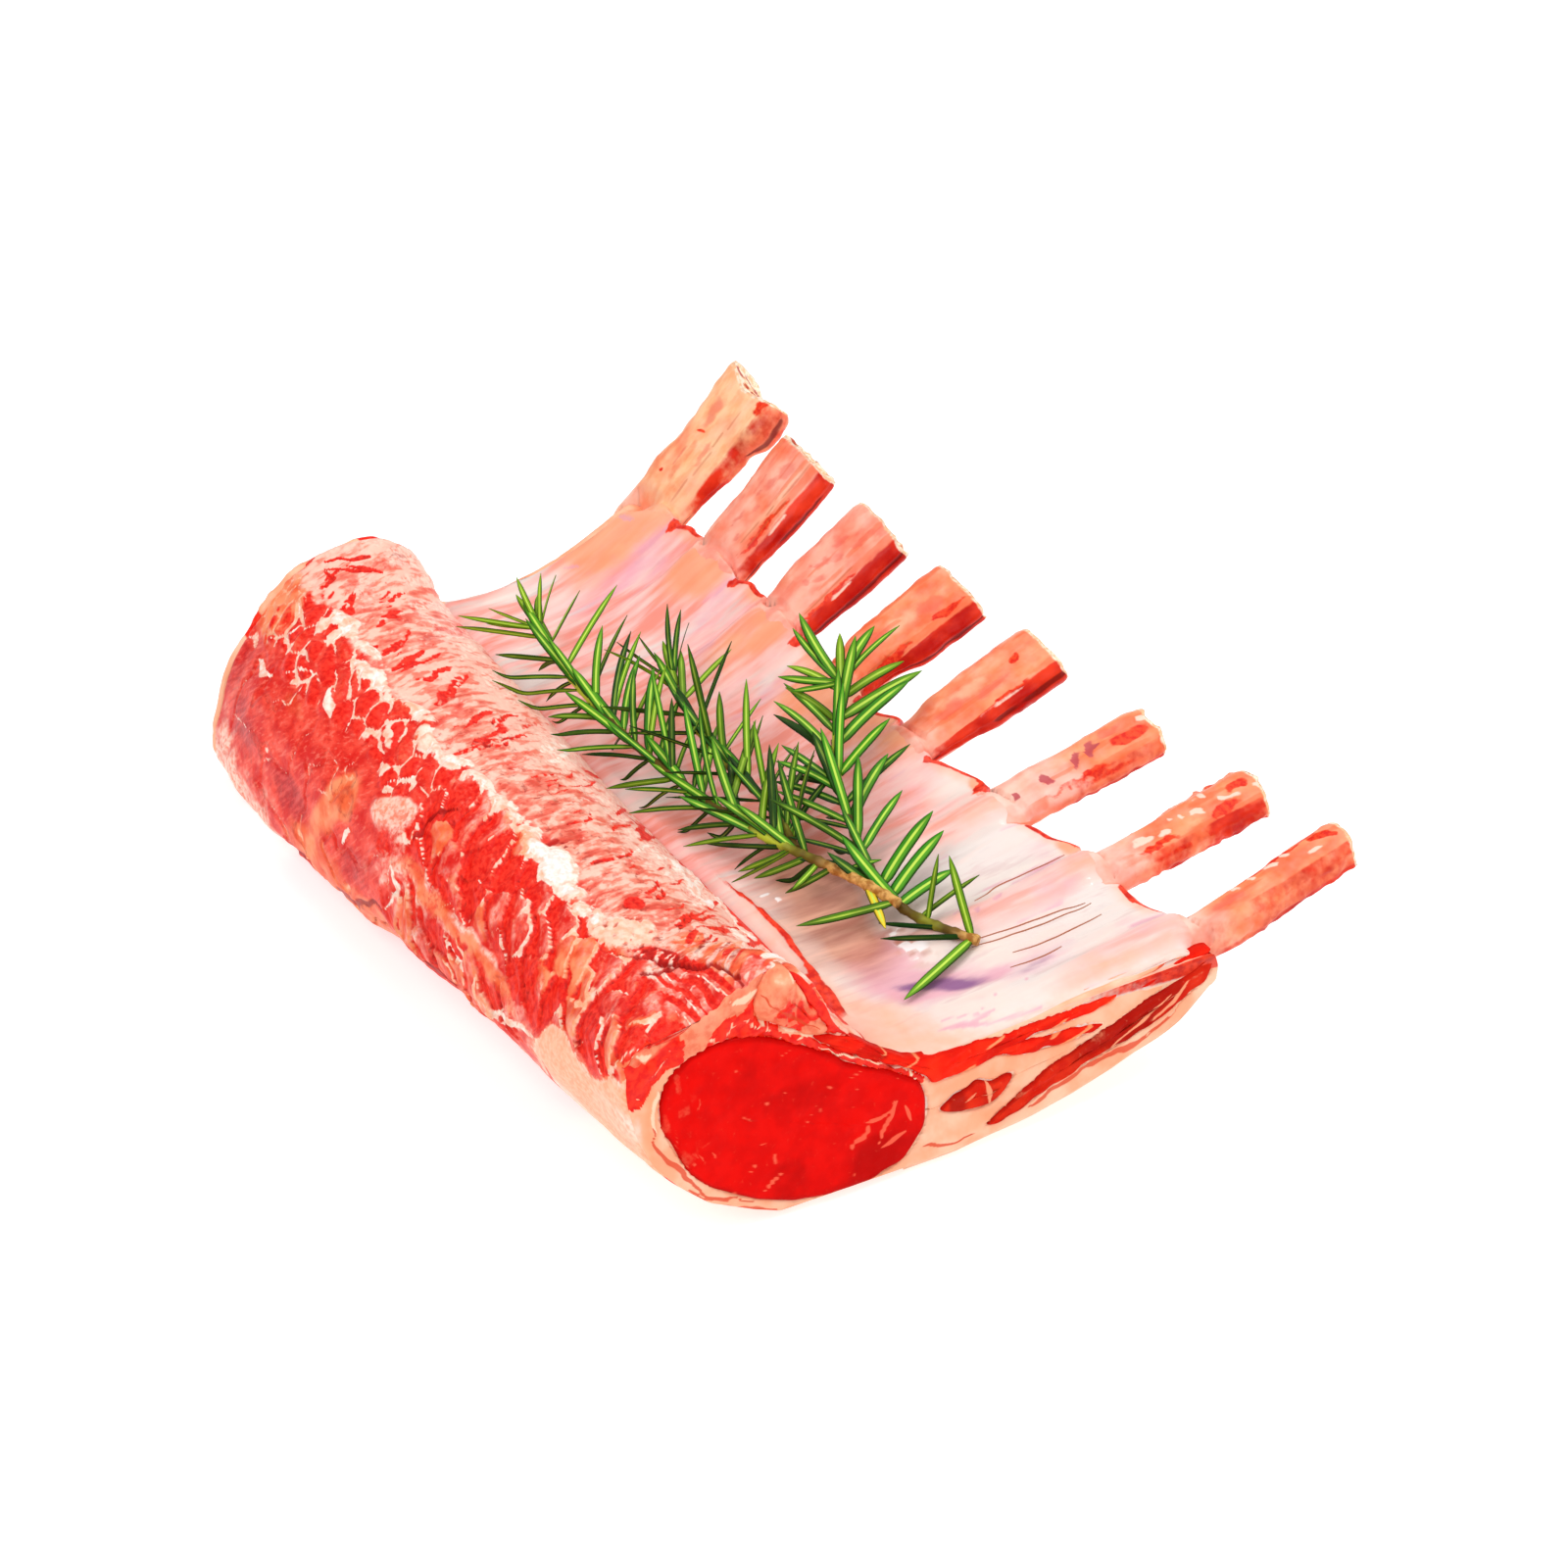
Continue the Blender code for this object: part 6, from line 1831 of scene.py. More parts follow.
def rib_material():
    s = Shader("rib_bone", roughness=0.33, specular=0.12, coat=0.06, coat_roughness=0.08)
    fine = s.noise(1.1, 4.0)
    patch = s.noise(4.5, 3.0, stretch=(1, 2.2, 1.6))
    base = s.shades(patch, 0.32, 0.68, (248, 98, 48), (252, 142, 86))
    straw = s.shades(s.noise(2.2, 4.0, stretch=(1, 3, 2)), 0.35, 0.62, (248, 178, 122), (253, 210, 158))
    base = s.over(base, straw, s.step(s.add(s.mask("yellow"), s.swing(patch, 0.9)), 0.2, 0.9), 0.9)
    pink = s.shades(patch, 0.35, 0.65, (246, 132, 112), (252, 174, 150))
    base = s.blend(s.step(s.add(s.mask("pinkish"), s.swing(patch, 1.1)), 0.25, 0.95), base, pink)
    base = s.blend(s.crisp("root", 3.0, 0.8, 0.8), base,
                   s.shades(patch, 0.35, 0.65, (248, 186, 172), (246, 216, 206)))
    base = s.over(base, (255, 206, 170), s.crisp("glow", 2.5, 0.9, 0.9), 0.6)
    base = s.over(base, (240, 104, 58), s.crisp("bands", 1.6, 0.6, 0.3), 0.55)
    base = s.over(base, (232, 92, 78), s.crisp("rose", 1.2, 0.7, 0.45), 0.5)
    base = s.blend(s.crisp("red", 1.2, 0.6, 0.25), base,
                   s.shades(fine, 0.35, 0.65, (222, 34, 18), (244, 74, 36)))
    side = s.shades(patch, 0.3, 0.7, (188, 16, 8), (238, 60, 30))
    base = s.blend(s.crisp("side", 2.0, 0.55, 0.25), base, side)
    # pale marks, and the painted highlight along the ribs' sides
    base = s.over(base, (255, 216, 196), s.crisp("pale", 1.0, 0.5, 0.25), 0.9)
    base = s.over(base, (120, 14, 8), s.step(s.mask("line"), 0.3, 0.8), 0.85)
    base = s.over(base, (196, 92, 48), s.step(s.mask("hair"), 0.3, 0.8), 0.45)
    base = s.over(base, (190, 74, 84), s.crisp("nick", 0.8, 0.4, 0.25), 0.9)
    base = s.blend(s.crisp("cut", 0.9, 0.4, 0.2), base,
                   s.shades(fine, 0.4, 0.6, (250, 196, 150), (255, 236, 212)))
    base = s.blend(s.crisp("marrow", 0.7, 0.5, 0.3), base, (190, 74, 46))
    return s.finish(base, s.add(s.times(fine, 0.6), s.times(patch, 0.4)), 0.3, 0.35)


MARK_HEIGHTS = {"rose": -0.12, "red": -0.1, "pale": 0.16, "nick": -0.3}
# For each rib: place across, start and end of the thin lines along it.
RIB_HAIRS = {1: ((0.36, 2, 33), (-0.93, 0, 60)), 2: ((0.42, 6, 30), (0.6, 3, 24)), 3: ((0.55, 3, 20),),
             4: ((0.5, 4, 16),)}
# For some ribs: how much the far side swells along the whole rib, in mm.
FAR_SIDE_SWELL = {1: 0.6, 3: 1.0, 4: 1.3, 5: 1.4}


class Rib:
    """A rib's surface while it builds up: its height in mm and its masks, and the places that they
    are measured by. s_all is the distance from the plate's edge and across runs from -1 to 1."""

    def __init__(self, number):
        self.number = number
        self.p, edge = rib_sections(number)
        self.pink, self.yellow, self.sheath, self.ragged = RIB_LOOKS[number]
        centre = self.p.mean(1)
        self.run = directions(blur(centre, 2.0, 0))
        length = travelled(centre)
        s = length - np.interp(edge, centre[:, 1], length)
        self.total = s[-1]
        offset = self.p - centre[:, None]
        self.half = (offset[..., 0].max(1) - offset[..., 0].min(1))[:, None] / 2
        self.across = offset[..., 0] / self.half
        up = np.cross((1.0, 0, 0), self.run)
        self.rise = np.einsum("ijk,ik->ij", offset, up)
        self.tall = np.abs(self.rise).max(1)[:, None]
        along = np.roll(offset, -1, 1) - np.roll(offset, 1, 1)
        normal = np.cross(along, self.run[:, None])
        normal /= np.linalg.norm(normal, axis=-1)[..., None]
        self.normal = normal if np.mean(np.sum(normal * offset, -1)) >= 0 else -normal
        self.over = ramp(self.normal[..., 2], 0.15, 0.6)
        self.s_all = np.broadcast_to(s[:, None], self.across.shape)
        self.own = 300 + 10 * number           # the rib's own noise starts here
        self.masks = {key: np.zeros(self.across.shape) for key in ("rose", "red", "pale", "nick", "glow")}


def bone_relief(r):
    """Long, low waves, ragged edges and a slightly rounded upper side."""
    number, p, s_all, across = r.number, r.p, r.s_all, r.across
    half, over, own, ragged = r.half, r.over, r.own, r.ragged
    r.lengthwise = noise(plane_points(across * half, s_all), (1.4, 13, 1), own)
    r.height = 0.45 + 0.2 * fractal(p, 5.5, 2, own + 1) + 0.16 * r.lengthwise * over
    edges = ramp(np.abs(across), 0.72, 0.97)
    left_more = 1 + 0.8 * (across < 0) * (number == 7)
    r.height += (ragged * edges * left_more
                 * (0.55 * noise(p, 2.3, own + 2) + 0.3 * noise(p, (1.2, 1.2, 1.2), own + 3))
                 * ramp(s_all, 0, 8))
    r.height += 0.25 * over * np.cos(np.clip(across, -1, 1) * math.pi / 2) ** 2


def bone_marks(r):
    """The marks on the rib's upper side, and fine rose flecks."""
    number, p, s_all, across = r.number, r.p, r.s_all, r.across
    half, over, own, pink = r.half, r.over, r.own, r.pink
    w_s = s_all + 1.1 * noise(p, 2.2, own + 4) + 0.5 * noise(p, 1.0, own + 19)
    w_a = across * half + 0.6 * noise(p, 2.0, own + 20) + 0.3 * noise(p, 0.9, own + 21)
    for which, kind, at, place, half_s, half_a, turn in RIB_MARKS:
        if which == number:
            spot = blob(w_s, w_a, at, place * float(half.mean()), half_s, half_a, turn, 0.4) * over
            shown = "glow" if kind == "pale" and number < 6 else kind
            r.masks[shown] = np.maximum(r.masks[shown], spot)
            r.height += spot * MARK_HEIGHTS[kind]
    fleck = noise(plane_points(across * half, s_all), (0.8, 3.5, 1), own + 5)
    r.masks["rose"] = np.maximum(r.masks["rose"], 0.75 * ramp(fleck, 0.5, 0.75) * over * ramp(s_all, 3, 7)
                                 * (0.3 + 0.7 * pink))


def bone_sides(r):
    """The red side that faces the near end, with a dark groove, bands and a painted highlight along its
    upper edge.
    """
    number, p, s_all, across, over = r.number, r.p, r.s_all, r.across, r.over
    normal, rise, tall, own, yellow = r.normal, r.rise, r.tall, r.own, r.yellow
    facing = ramp(normal[..., 0], 0.3, 0.62) * ramp(s_all, -4, 3)
    low_side = ramp(rise / tall, -0.1, -0.6)
    uneven = 0.8 + 0.4 * noise(p, 6, own + 6) + 0.3 * (2 <= number <= 5)
    redness = np.clip(mix(SIDE_REDNESS[number], 1.1, low_side if number > 5 else 0.0), 0, 1.1)
    r.masks["side"] = redness * unit(facing * uneven * (0.7 + 0.3 * ramp(s_all, 4, 12)))
    groove_drop, groove_width = (0.1, 1.0) if number == 5 else (0.35, 0.55)
    off_groove = np.abs(rise + groove_drop * tall + 0.3 * noise(p, 5, own + 7))
    groove = facing * ramp(off_groove, groove_width, 0.2)
    r.masks["line"] = unit(groove * (number < 6)) * ramp(noise(p, 7, own + 8), -0.6, -0.1)
    # painted highlight along the side's upper edge of ribs 2, 3 and 5
    r.shine = (window(normal[..., 0], 0.45, 0.62, 0.05) * window(s_all, 8, r.total - 8, 4)
             * ramp(noise(p, (4, 6, 4), own + 22), -0.2, 0.1) * (number in (2, 3, 5)))
    r.height -= 0.35 * groove
    r.masks["bands"] = over * ramp(r.lengthwise, 0.25, 0.6) * ramp(s_all, -2, 8) * (1 - 0.5 * yellow)
    r.masks["bands"] = np.maximum(r.masks["bands"], over * window(across, 0.5, 0.72, 0.05)
                                  * ramp(s_all, 0, 8) * (number in (2, 3, 4)))
    r.masks["glow"] = np.maximum(r.masks["glow"], 0.8 * over * window(across, 0.3, 0.46, 0.05)
                                 * ramp(s_all, 2, 12) * (number in (1, 2)))


def bone_hairs(r):
    """Thin lines along the rib, and red along its upper edges."""
    number, p, s_all, across = r.number, r.p, r.s_all, r.across
    half, over, own = r.half, r.over, r.own
    hair = np.zeros(across.shape)
    for place, start, stop in RIB_HAIRS.get(number, ()):
        line = (ramp(np.abs(across * half - place * half + 0.5 * noise(p, 6, own + 9)), 0.32, 0.1)
                * window(s_all, start, stop, 1))
        hair = np.maximum(hair, line * over)
    r.height -= 0.12 * hair
    r.masks["hair"] = hair
    rim_red = (ramp(np.abs(across), 0.8, 0.93) * over * ramp(noise(p, 4, own + 10), -0.3, 0.2)
               * ramp(s_all, 6, 10))
    r.masks["red"] = np.maximum(r.masks["red"], 0.8 * rim_red * (number != 1))


def bone_root(r):
    """The pale sheath that reaches from the plate, and the rib's own tint."""
    number, p, s_all, over = r.number, r.p, r.s_all, r.over
    own, pink, yellow, sheath = r.own, r.pink, r.yellow, r.sheath
    root = ramp(s_all + 2.5 * noise(p, 5, own + 11), sheath + 3, sheath - 5) * (0.35 + 0.65 * over)
    r.masks["root"] = unit(root * (0.8 + 0.2 * noise(p, 3, own + 12))) * (0.9 if number > 5 else 0.3)
    for key in ("rose", "red", "side"):
        r.masks[key] = r.masks[key] * (1 - 0.6 * r.masks["root"])
    # painted highlight: the shine is painted pale
    r.masks["pale"] = np.maximum(r.masks["pale"], 0.8 * r.shine)
    r.masks["pinkish"] = (unit(pink + 0.25 * noise(p, 8, own + 13) + 0.4 * ramp(s_all, 6, -2))
                          * (0.4 + 0.6 * over))
    r.masks["yellow"] = unit(yellow + 0.3 * noise(p, 7, own + 14)) * (0.3 + 0.7 * over)


def bone_outline(r):
    """The outline: fuller or slimmer than the CAD's near the plate and the tip."""
    number, s_all, across, normal = r.number, r.s_all, r.across, r.normal
    r.height += FAR_SIDE_SWELL.get(number, 0) * ramp(across, 0.4, -0.9) * ramp(s_all, 2, 9)
    r.height -= (0.9 if number > 5 else 0) * ramp(normal[..., 2], -0.1, -0.6)
    far_more, near_more = ROOT_SIDES[number]
    swell = ramp(s_all, 26 if number > 6 else 18, 6) * ramp(s_all, -14, -6)
    r.height += swell * (far_more * ramp(across, -0.3, -0.9) + near_more * ramp(across, 0.3, 0.9))
    r.height += 2.2 * (number == 1) * ramp(across, 0.6, 0.95) * window(s_all, r.total - 11, r.total, 3)
    r.height -= (1.5 * (number == 8) * ramp(normal[..., 2], -0.1, -0.6)
                 * ramp(s_all, r.total - 24, r.total - 8))


def sink_root(r, plate_tree):
    """Points of the rib, whose root lies just under the plate's skin and comes out at its edge."""
    p, s_all, over, normal, own = r.p, r.s_all, r.over, r.normal, r.own
    points = p + normal * r.height[..., None]
    for k in np.ndindex(s_all.shape):
        if over[k] > 0 and s_all[k] < 4:
            found = upper(plate_tree, points[k][0], points[k][1])
            if found is not None:
                risen = float(ramp(s_all[k] + 1.5 * noise(points[k], 3, own + 15), -9, 1))
                want = found[2] + mix(-0.9, 0.5, risen)
                points[k][2] = mix(points[k][2], want, float(over[k] * ramp(s_all[k], 3.5, -1.5)))
    return points


def stretch_tip(r, points):
    """The points with the cut end moved to its own outline."""
    number, p, s_all, across, run, own = r.number, r.p, r.s_all, r.across, r.run, r.own
    profile = TIP_PROFILES[number]
    reach = (np.interp(across, np.linspace(-1, 1, len(profile)), profile) + 1.2
             + 0.35 * noise(p, 1.6, own + 16))
    return points + run[:, None] * (reach * ramp(s_all, r.total - 7, r.total))[..., None]


def close_tip(r, points):
    """All rings and masks of the rib, with its cut end: a cream rim, then hollow marrow."""
    across, over, normal, run, own = r.across, r.over, r.normal, r.run, r.own
    last, middle = points[-1], points[-1].mean(0)
    ends = []
    for t in TIP_RINGS:
        ring = middle + (last - middle) * t
        hollow = 0.75 * ramp(t, 0.97, 0.6) - 0.25 * window(t, 0.9, 0.97, 0.03)
        ring = ring - run[-1] * (hollow + 0.25 * noise(ring, 1.5, own + 17))[:, None]
        ends.append(ring)
    points[-1] -= normal[-1] * 0.35
    points[-2] -= normal[-2] * 0.12
    solid = np.concatenate([points, np.array(ends)])
    padded = {key: np.pad(value, ((0, len(ends)), (0, 0))) for key, value in r.masks.items()}
    cut = np.zeros(across.shape)
    cut[-1] = 0.8
    cut[-2] = 0.35 * over[-2]
    end_cut = np.stack([np.full(RIB_AROUND, share) for share in TIP_CUT])
    padded["cut"] = np.concatenate([cut, end_cut])
    spots = np.stack([share * ramp(noise(ring, 1.2, own + 18), 0.25, 0.5)
                      for ring, share in zip(ends, TIP_MARROW)])
    padded["marrow"] = np.concatenate([np.zeros(across.shape), spots])
    return solid, padded


BONE_LAYERS = (bone_relief, bone_marks, bone_sides, bone_hairs, bone_root, bone_outline)


def make_rib(number, material, plate_tree):
    """A bared rib, from inside the plate to its cut end."""
    rib = Rib(number)
    for layer in BONE_LAYERS:
        layer(rib)
    solid, masks = close_tip(rib, stretch_tip(rib, sink_root(rib, plate_tree)))
    points = solid.reshape(-1, 3)
    faces = outward(points, loft_faces(len(solid), RIB_AROUND))
    make_mesh(f"rib_{number}_bone", points, faces, material, [f"rib_{number}"], masks)


EDGE_STATIONS, EDGE_AROUND = 56, 18
EDGE_OVERLAP = 1.5         # how far the meat goes in behind each rib
# For some gaps: place and half width of a tab, as shares of the gap, and how far it sticks out in mm.
EDGE_TABS = {1: (0.2, 0.1, 0.8), 3: (0.9, 0.12, 0.8), 5: (0.86, 0.16, 2.6), 6: (0.86, 0.14, 2.2)}


def make_edge_meat(number, plate, material):
    """The meat between two ribs, where it shows along the plate's edge."""
    rim = plate[1]
    left = RIB_MIDDLES[number - 1] + RIB_HALVES[number - 1] - EDGE_OVERLAP
    right = RIB_MIDDLES[number] - RIB_HALVES[number] + EDGE_OVERLAP
    x = np.linspace(left, right, EDGE_STATIONS)
    share = (x - left) / (right - left)
    rows = [np.interp(x, rim[:, 3, 0], rim[:, 3, k]) for k in range(3)]
    under = [np.interp(x, rim[:, 6, 0], rim[:, 6, k]) for k in range(3)]
    own = 500 + 10 * number
    line = plane_points(x, 0 * x)
    poke = -0.9 + 0.5 * noise(line, (4, 1, 1), own) + 0.35 * noise(line, (1.8, 1, 1), own + 1)
    if number in EDGE_TABS:
        middle, half, reach = EDGE_TABS[number]
        poke = poke + reach * np.exp(-((share - middle) / half) ** 2)
    ends = np.sqrt(unit(1 - (2 * share - 1) ** 8))
    rings = []
    for k in range(EDGE_AROUND):
        turn = 2 * math.pi * k / EDGE_AROUND
        out, lift = math.cos(turn), math.sin(turn)
        y = rows[1] - 2.0 + (2.0 + poke) * out * ends + poke * 0.3
        z = mix(rows[2], under[2], 0.35) + lift * (2.3 + 0.5 * noise(line, (5, 1, 1), own + 2)) * ends
        ring = np.stack([x, y, z], 1)
        ring[:, 1] += 0.3 * noise(ring, 1.8, own + 3) * max(0.0, out)
        ring[:, 2] += 0.3 * noise(ring, 1.8, own + 4)
        rings.append(ring)
    points = np.stack(rings, 1)
    p = points.reshape(-1, 3)
    masks = {"shade": ramp(noise(p, (6, 4, 3), own + 5), -0.2, 0.6),
             "vein": 0.6 * ramp(noise(p, (4, 2, 1.2), own + 6), 0.4, 0.7), "border": np.zeros(len(p))}
    make_mesh(f"edge_meat_{number}", p, outward(p, loft_faces(EDGE_STATIONS, EDGE_AROUND)), material,
              [f"intercostal_{number}"], masks)


# ---------------------------------------------------------------- rosemary
# Stems from tip to cut end: X, Y and height over the rack.
LONG_STEM = ((-64, 12, 13), (-49, 9, 12), (-37, 10, 10), (-22, 10, 9), (-6, 12.5, 8), (13, 15, 7.5),
             (27, 20, 7), (39, 25, 6.5), (47, 28.5, 6), (57, 31.5, 5.5))
SIDE_SHOOT = ((-31, 27.5, 12), (-20, 24, 12), (-13, 23.3, 11), (-6, 23, 10), (1, 23, 10), (9, 24, 9),
              (17, 24.5, 8), (25, 24, 7), (31, 22.5, 6.8))
SHORT_STEM = ((0, 51.5, 16), (6, 48, 15), (12, 43, 14), (18, 39.5, 13), (24, 37, 11), (31, 35, 9),
              (41, 32.5, 6), (52, 32.5, 3.2), (58, 33.5, 2.4), (64, 36, 1.8), (69, 38.5, 1.8),
              (73, 41, 1.8))
STEM_STEP, STEM_AROUND = 0.7, 16
NEEDLE_ROWS = 18
# A needle's section from its right edge over the top, as shares of its half width and thickness, and
# for each point how near it is to the edge of its side.
NEEDLE_OUTLINE = ((1.0, -0.1), (0.82, 0.5), (0.45, 0.8), (0.13, 0.45), (-0.13, 0.45), (-0.45, 0.8),
                  (-0.82, 0.5), (-1.0, -0.1), (-0.75, -0.75), (-0.3, -0.9), (0.3, -0.9), (0.75, -0.75))
NEEDLE_ACROSS = (1.0, 0.8, 0.45, 0.1, 0.1, 0.45, 0.8, 1.0, 1.0, 0.6, 0.6, 1.0)


class Sprig:
    """Collects stems and needles into one mesh."""

    def __init__(self, seed):
        self.random = np.random.default_rng(seed)
        self.points, self.faces = [], []
        self.masks = {key: [] for key in ("across", "along", "tone", "stem", "brown", "yellow", "under",
                                          "lit")}

    def add(self, rings, masks):
        """A solid of these rings, with masks for the material."""
        count, around = len(rings), len(rings[0])
        flat = np.concatenate(rings)
        start = sum(len(p) for p in self.points)
        faces = outward(flat, loft_faces(count, around))
        self.faces += [tuple(start + k for k in face) for face in faces]
        self.points.append(flat)
        for key, values in self.masks.items():
            values.append(np.broadcast_to(np.asarray(masks.get(key, 0.0), float),
                                          (count, around)).ravel())

    def line(self, route):
        """A smooth line through a route's points, whose heights are over the rack."""
        rough = spline([(x, y, ground(x, y) + h) for x, y, h in route], 12)
        rough = blur(rough, 7.0, 0)
        return resample(rough, int(strides(rough).sum() / STEM_STEP))

    def stem(self, line, thin, thick, woody):
        """A round stem with a swelling at each node. woody is the length of bark from its cut end."""
        step = np.linalg.norm(line[1] - line[0])
        rings, brown, yellow = [], [], []
        total = len(line) * step
        for k, (point, ahead) in enumerate(zip(line, directions(line))):
            s = k * step
            side = np.cross(ahead, (0, 0, 1))
            side /= np.linalg.norm(side)
            up = np.cross(side, ahead)
            radius = mix(thin, thick, (s / total) ** 0.7)
            radius *= 1 + 0.25 * math.exp(-(((s / 4.4) % 1 - 0.5) / 0.16) ** 2)
            if k == 0:
                radius *= 0.4
            cosine, sine = circle(STEM_AROUND)
            ring = point + radius * (cosine[:, None] * side + sine[:, None] * up)
            ring = ring + 0.12 * noise(ring, 1.0, 401)[:, None] * up
            rings.append(ring)
            brown.append(float(ramp(total - s, woody + 3, woody - 3)) if woody else 0.0)
            yellow.append(float(0.55 + 0.4 * noise(np.array([s, 0.0, 0.0]), (9, 1, 1), 402)))
        self.add(rings, {"stem": 1.0, "across": 0.5, "brown": np.array(brown)[:, None],
                         "yellow": np.array(yellow)[:, None]})

    def needle(self, base, way, length, width, tone, yellow=0.0, bow=0.12, roll=0.0, out=None):
        """A flat blade from base along way, bowed towards out by bow times its length. It keeps clear
        of the meat, and roll turns its flat side."""
        way = np.array(way, float) / np.linalg.norm(way)
        out = np.cross(way, (0, 0, 1)) if out is None else out - way * (out @ way)
        out = out / max(np.linalg.norm(out), 1e-6)
        t = np.linspace(0, 1, NEEDLE_ROWS)[:, None]
        line = base + length * (way * t + out * bow * (t * t - t))
        line[:, 2] -= 0.03 * length * t[:, 0] ** 2
        for k in range(4, NEEDLE_ROWS):
            lack = ground(line[k, 0], line[k, 1]) + 0.9 - line[k, 2]
            if lack > 0:
                line[k:, 2] += lack
        line[:, 2] = blur(line[:, 2:], 1.5, 0)[:, 0]
        rings = []
        for k, (point, direction) in enumerate(zip(line, directions(line))):
            s = k / (NEEDLE_ROWS - 1)
            side = np.cross(direction, (0.25, -0.15, 0.95))
            side /= max(np.linalg.norm(side), 1e-6)
            top = np.cross(side, direction)
            c, n = math.cos(roll), math.sin(roll)
            side, top = side * c + top * n, top * c - side * n
            pointed = max(0.0, 1 - (max(0.0, s - 0.58) / 0.42) ** 2.2) ** 0.85
            half = 0.46 * width * mix(0.6, 1.0, float(ramp(s, 0.0, 0.15))) * pointed
            half = max(half, 0.06)
            thick = max(half * 0.3, 0.1)
            rings.append(np.array([point + side * u * half + top * v * thick for u, v in NEEDLE_OUTLINE]))
        self.add(rings,
                 {"across": NEEDLE_ACROSS, "along": np.linspace(0, 1, NEEDLE_ROWS)[:, None], "tone": tone,
                  "yellow": yellow, "under": [0] * 8 + [1] * 4, "lit": [1] * 4 + [0] * 6 + [1] * 2})

    def row(self, line, start, stop, pitch, turn, spread, lay, length, width, roll, tone,
            yellow=(0.0, 0.0), bow=(0.0, 0.2)):
        """Needles down one side of a stem. turn is the side that they leave it on, in degrees from its
        right, and lay their angle to it. lay and length run from the tip's value to the one below."""
        run = -directions(line)
        step = np.linalg.norm(line[1] - line[0])
        draw = self.random.uniform
        s = start + draw(0, 0.5) * pitch
        while s < stop:
            k = int(np.clip(s / step, 0, len(line) - 1))
            ahead = run[k]
            side = np.cross(ahead, (0, 0, 1))
            side /= np.linalg.norm(side)
            up = np.cross(side, ahead)
            angle = math.radians(turn + draw(-spread, spread))
            out = math.cos(angle) * side + math.sin(angle) * up
            share = min(1.0, s / 22)
            tilt = math.radians(mix(lay[0], lay[1], share) + draw(-8, 8))
            way = math.cos(tilt) * ahead + math.sin(tilt) * out
            young = max(0.0, 0.9 - s / 20)
            self.needle(line[k] + out * 0.5, way, mix(length[0], length[1], share) * draw(0.72, 1.12),
                        draw(*width), draw(*tone), young + draw(*yellow), draw(*bow), draw(*roll), -ahead)
            s += pitch * draw(0.65, 1.35)

    def make(self, name, replaces, material):
        """The piece with all that was collected."""
        masks = {key: np.concatenate(values) for key, values in self.masks.items()}
        make_mesh(name, np.concatenate(self.points), self.faces, material, replaces, masks)


def rosemary_material():
    s = Shader("rosemary", roughness=0.42, specular=0.14, coat=0.05, coat_roughness=0.2)
    fine = s.noise(0.7, 3.0)
    patch = s.noise(6.0, 2.0)
    tone = s.add(s.times(s.mask("tone"), 0.5), s.add(0.5, s.swing(patch, 0.8)))
    leaf = s.shades(tone, 0.0, 0.95, (8, 46, 5), (52, 138, 12))
    leaf = s.over(leaf, s.shades(tone, 0.0, 0.95, (24, 84, 8), (110, 184, 40)), s.mask("lit"), 0.4)
    leaf = s.over(leaf, (126, 166, 16), s.step(s.mask("yellow"), 0.0, 1.0), 0.9)
    leaf = s.over(leaf, (236, 204, 40), s.step(s.mask("yellow"), 1.6, 2.4), 0.9)
    edge = s.over(leaf, (10, 40, 4), s.step(s.mask("across"), 0.5, 0.95), 0.9)
    line = s.times(s.step(s.mask("across"), 0.25, 0.12), s.step(s.mask("along"), 0.97, 0.7))
    blade = s.blend(s.times(line, s.step(tone, -0.3, 0.9)), edge, (196, 226, 84))
    blade = s.over(blade, (112, 118, 36), s.mask("under"), 0.7)
    bark = s.shades(s.noise(1.6, 3.0), 0.35, 0.65, (160, 104, 40), (222, 172, 96))
    green_stem = s.shades(s.add(s.mask("yellow"), s.math("SUBTRACT", patch, 0.5)), 0.3, 0.9, (92, 72, 20),
                          (186, 200, 56))
    stem = s.blend(s.mask("brown"), green_stem, bark)
    base = s.blend(s.mask("stem"), blade, stem)
    return s.finish(base, fine, 0.3, 0.15)


# Needles at the long sprig's tip: way, length, width, roll and yellow.
TIP_TUFT = (
    ((-12, 0.5, 7), 14, 1.5, 0.2, 1.0), ((-10, 5.5, 7), 14, 1.3, 0.5, 1.2),
    ((-8.5, 8.5, 7), 14, 1.1, 0.9, 0.9), ((-11, 5, 4), 10, 2.0, 0.1, 0.7),
    ((-7, -13, 3.5), 18.5, 1.2, 0.8, 1.5), ((-8, -8, 3.5), 12.5, 0.9, 1.1, 1.3),
    ((-7, -10, 1), 12, 1.0, 1.0, 0.8))
# Needles at the shoot's tip: way, length, width and roll.
SHOOT_TUFT = (((-14, 6.3, 8), 20, 1.5, 0.5), ((-10.5, 7.2, 7.5), 18, 1.5, 0.3),
              ((-9, 8.5, 7), 15, 0.8, 1.2), ((-12, -1, 4), 15, 0.9, 1.0), ((-12, -4.5, 3), 17, 0.9, 1.0))
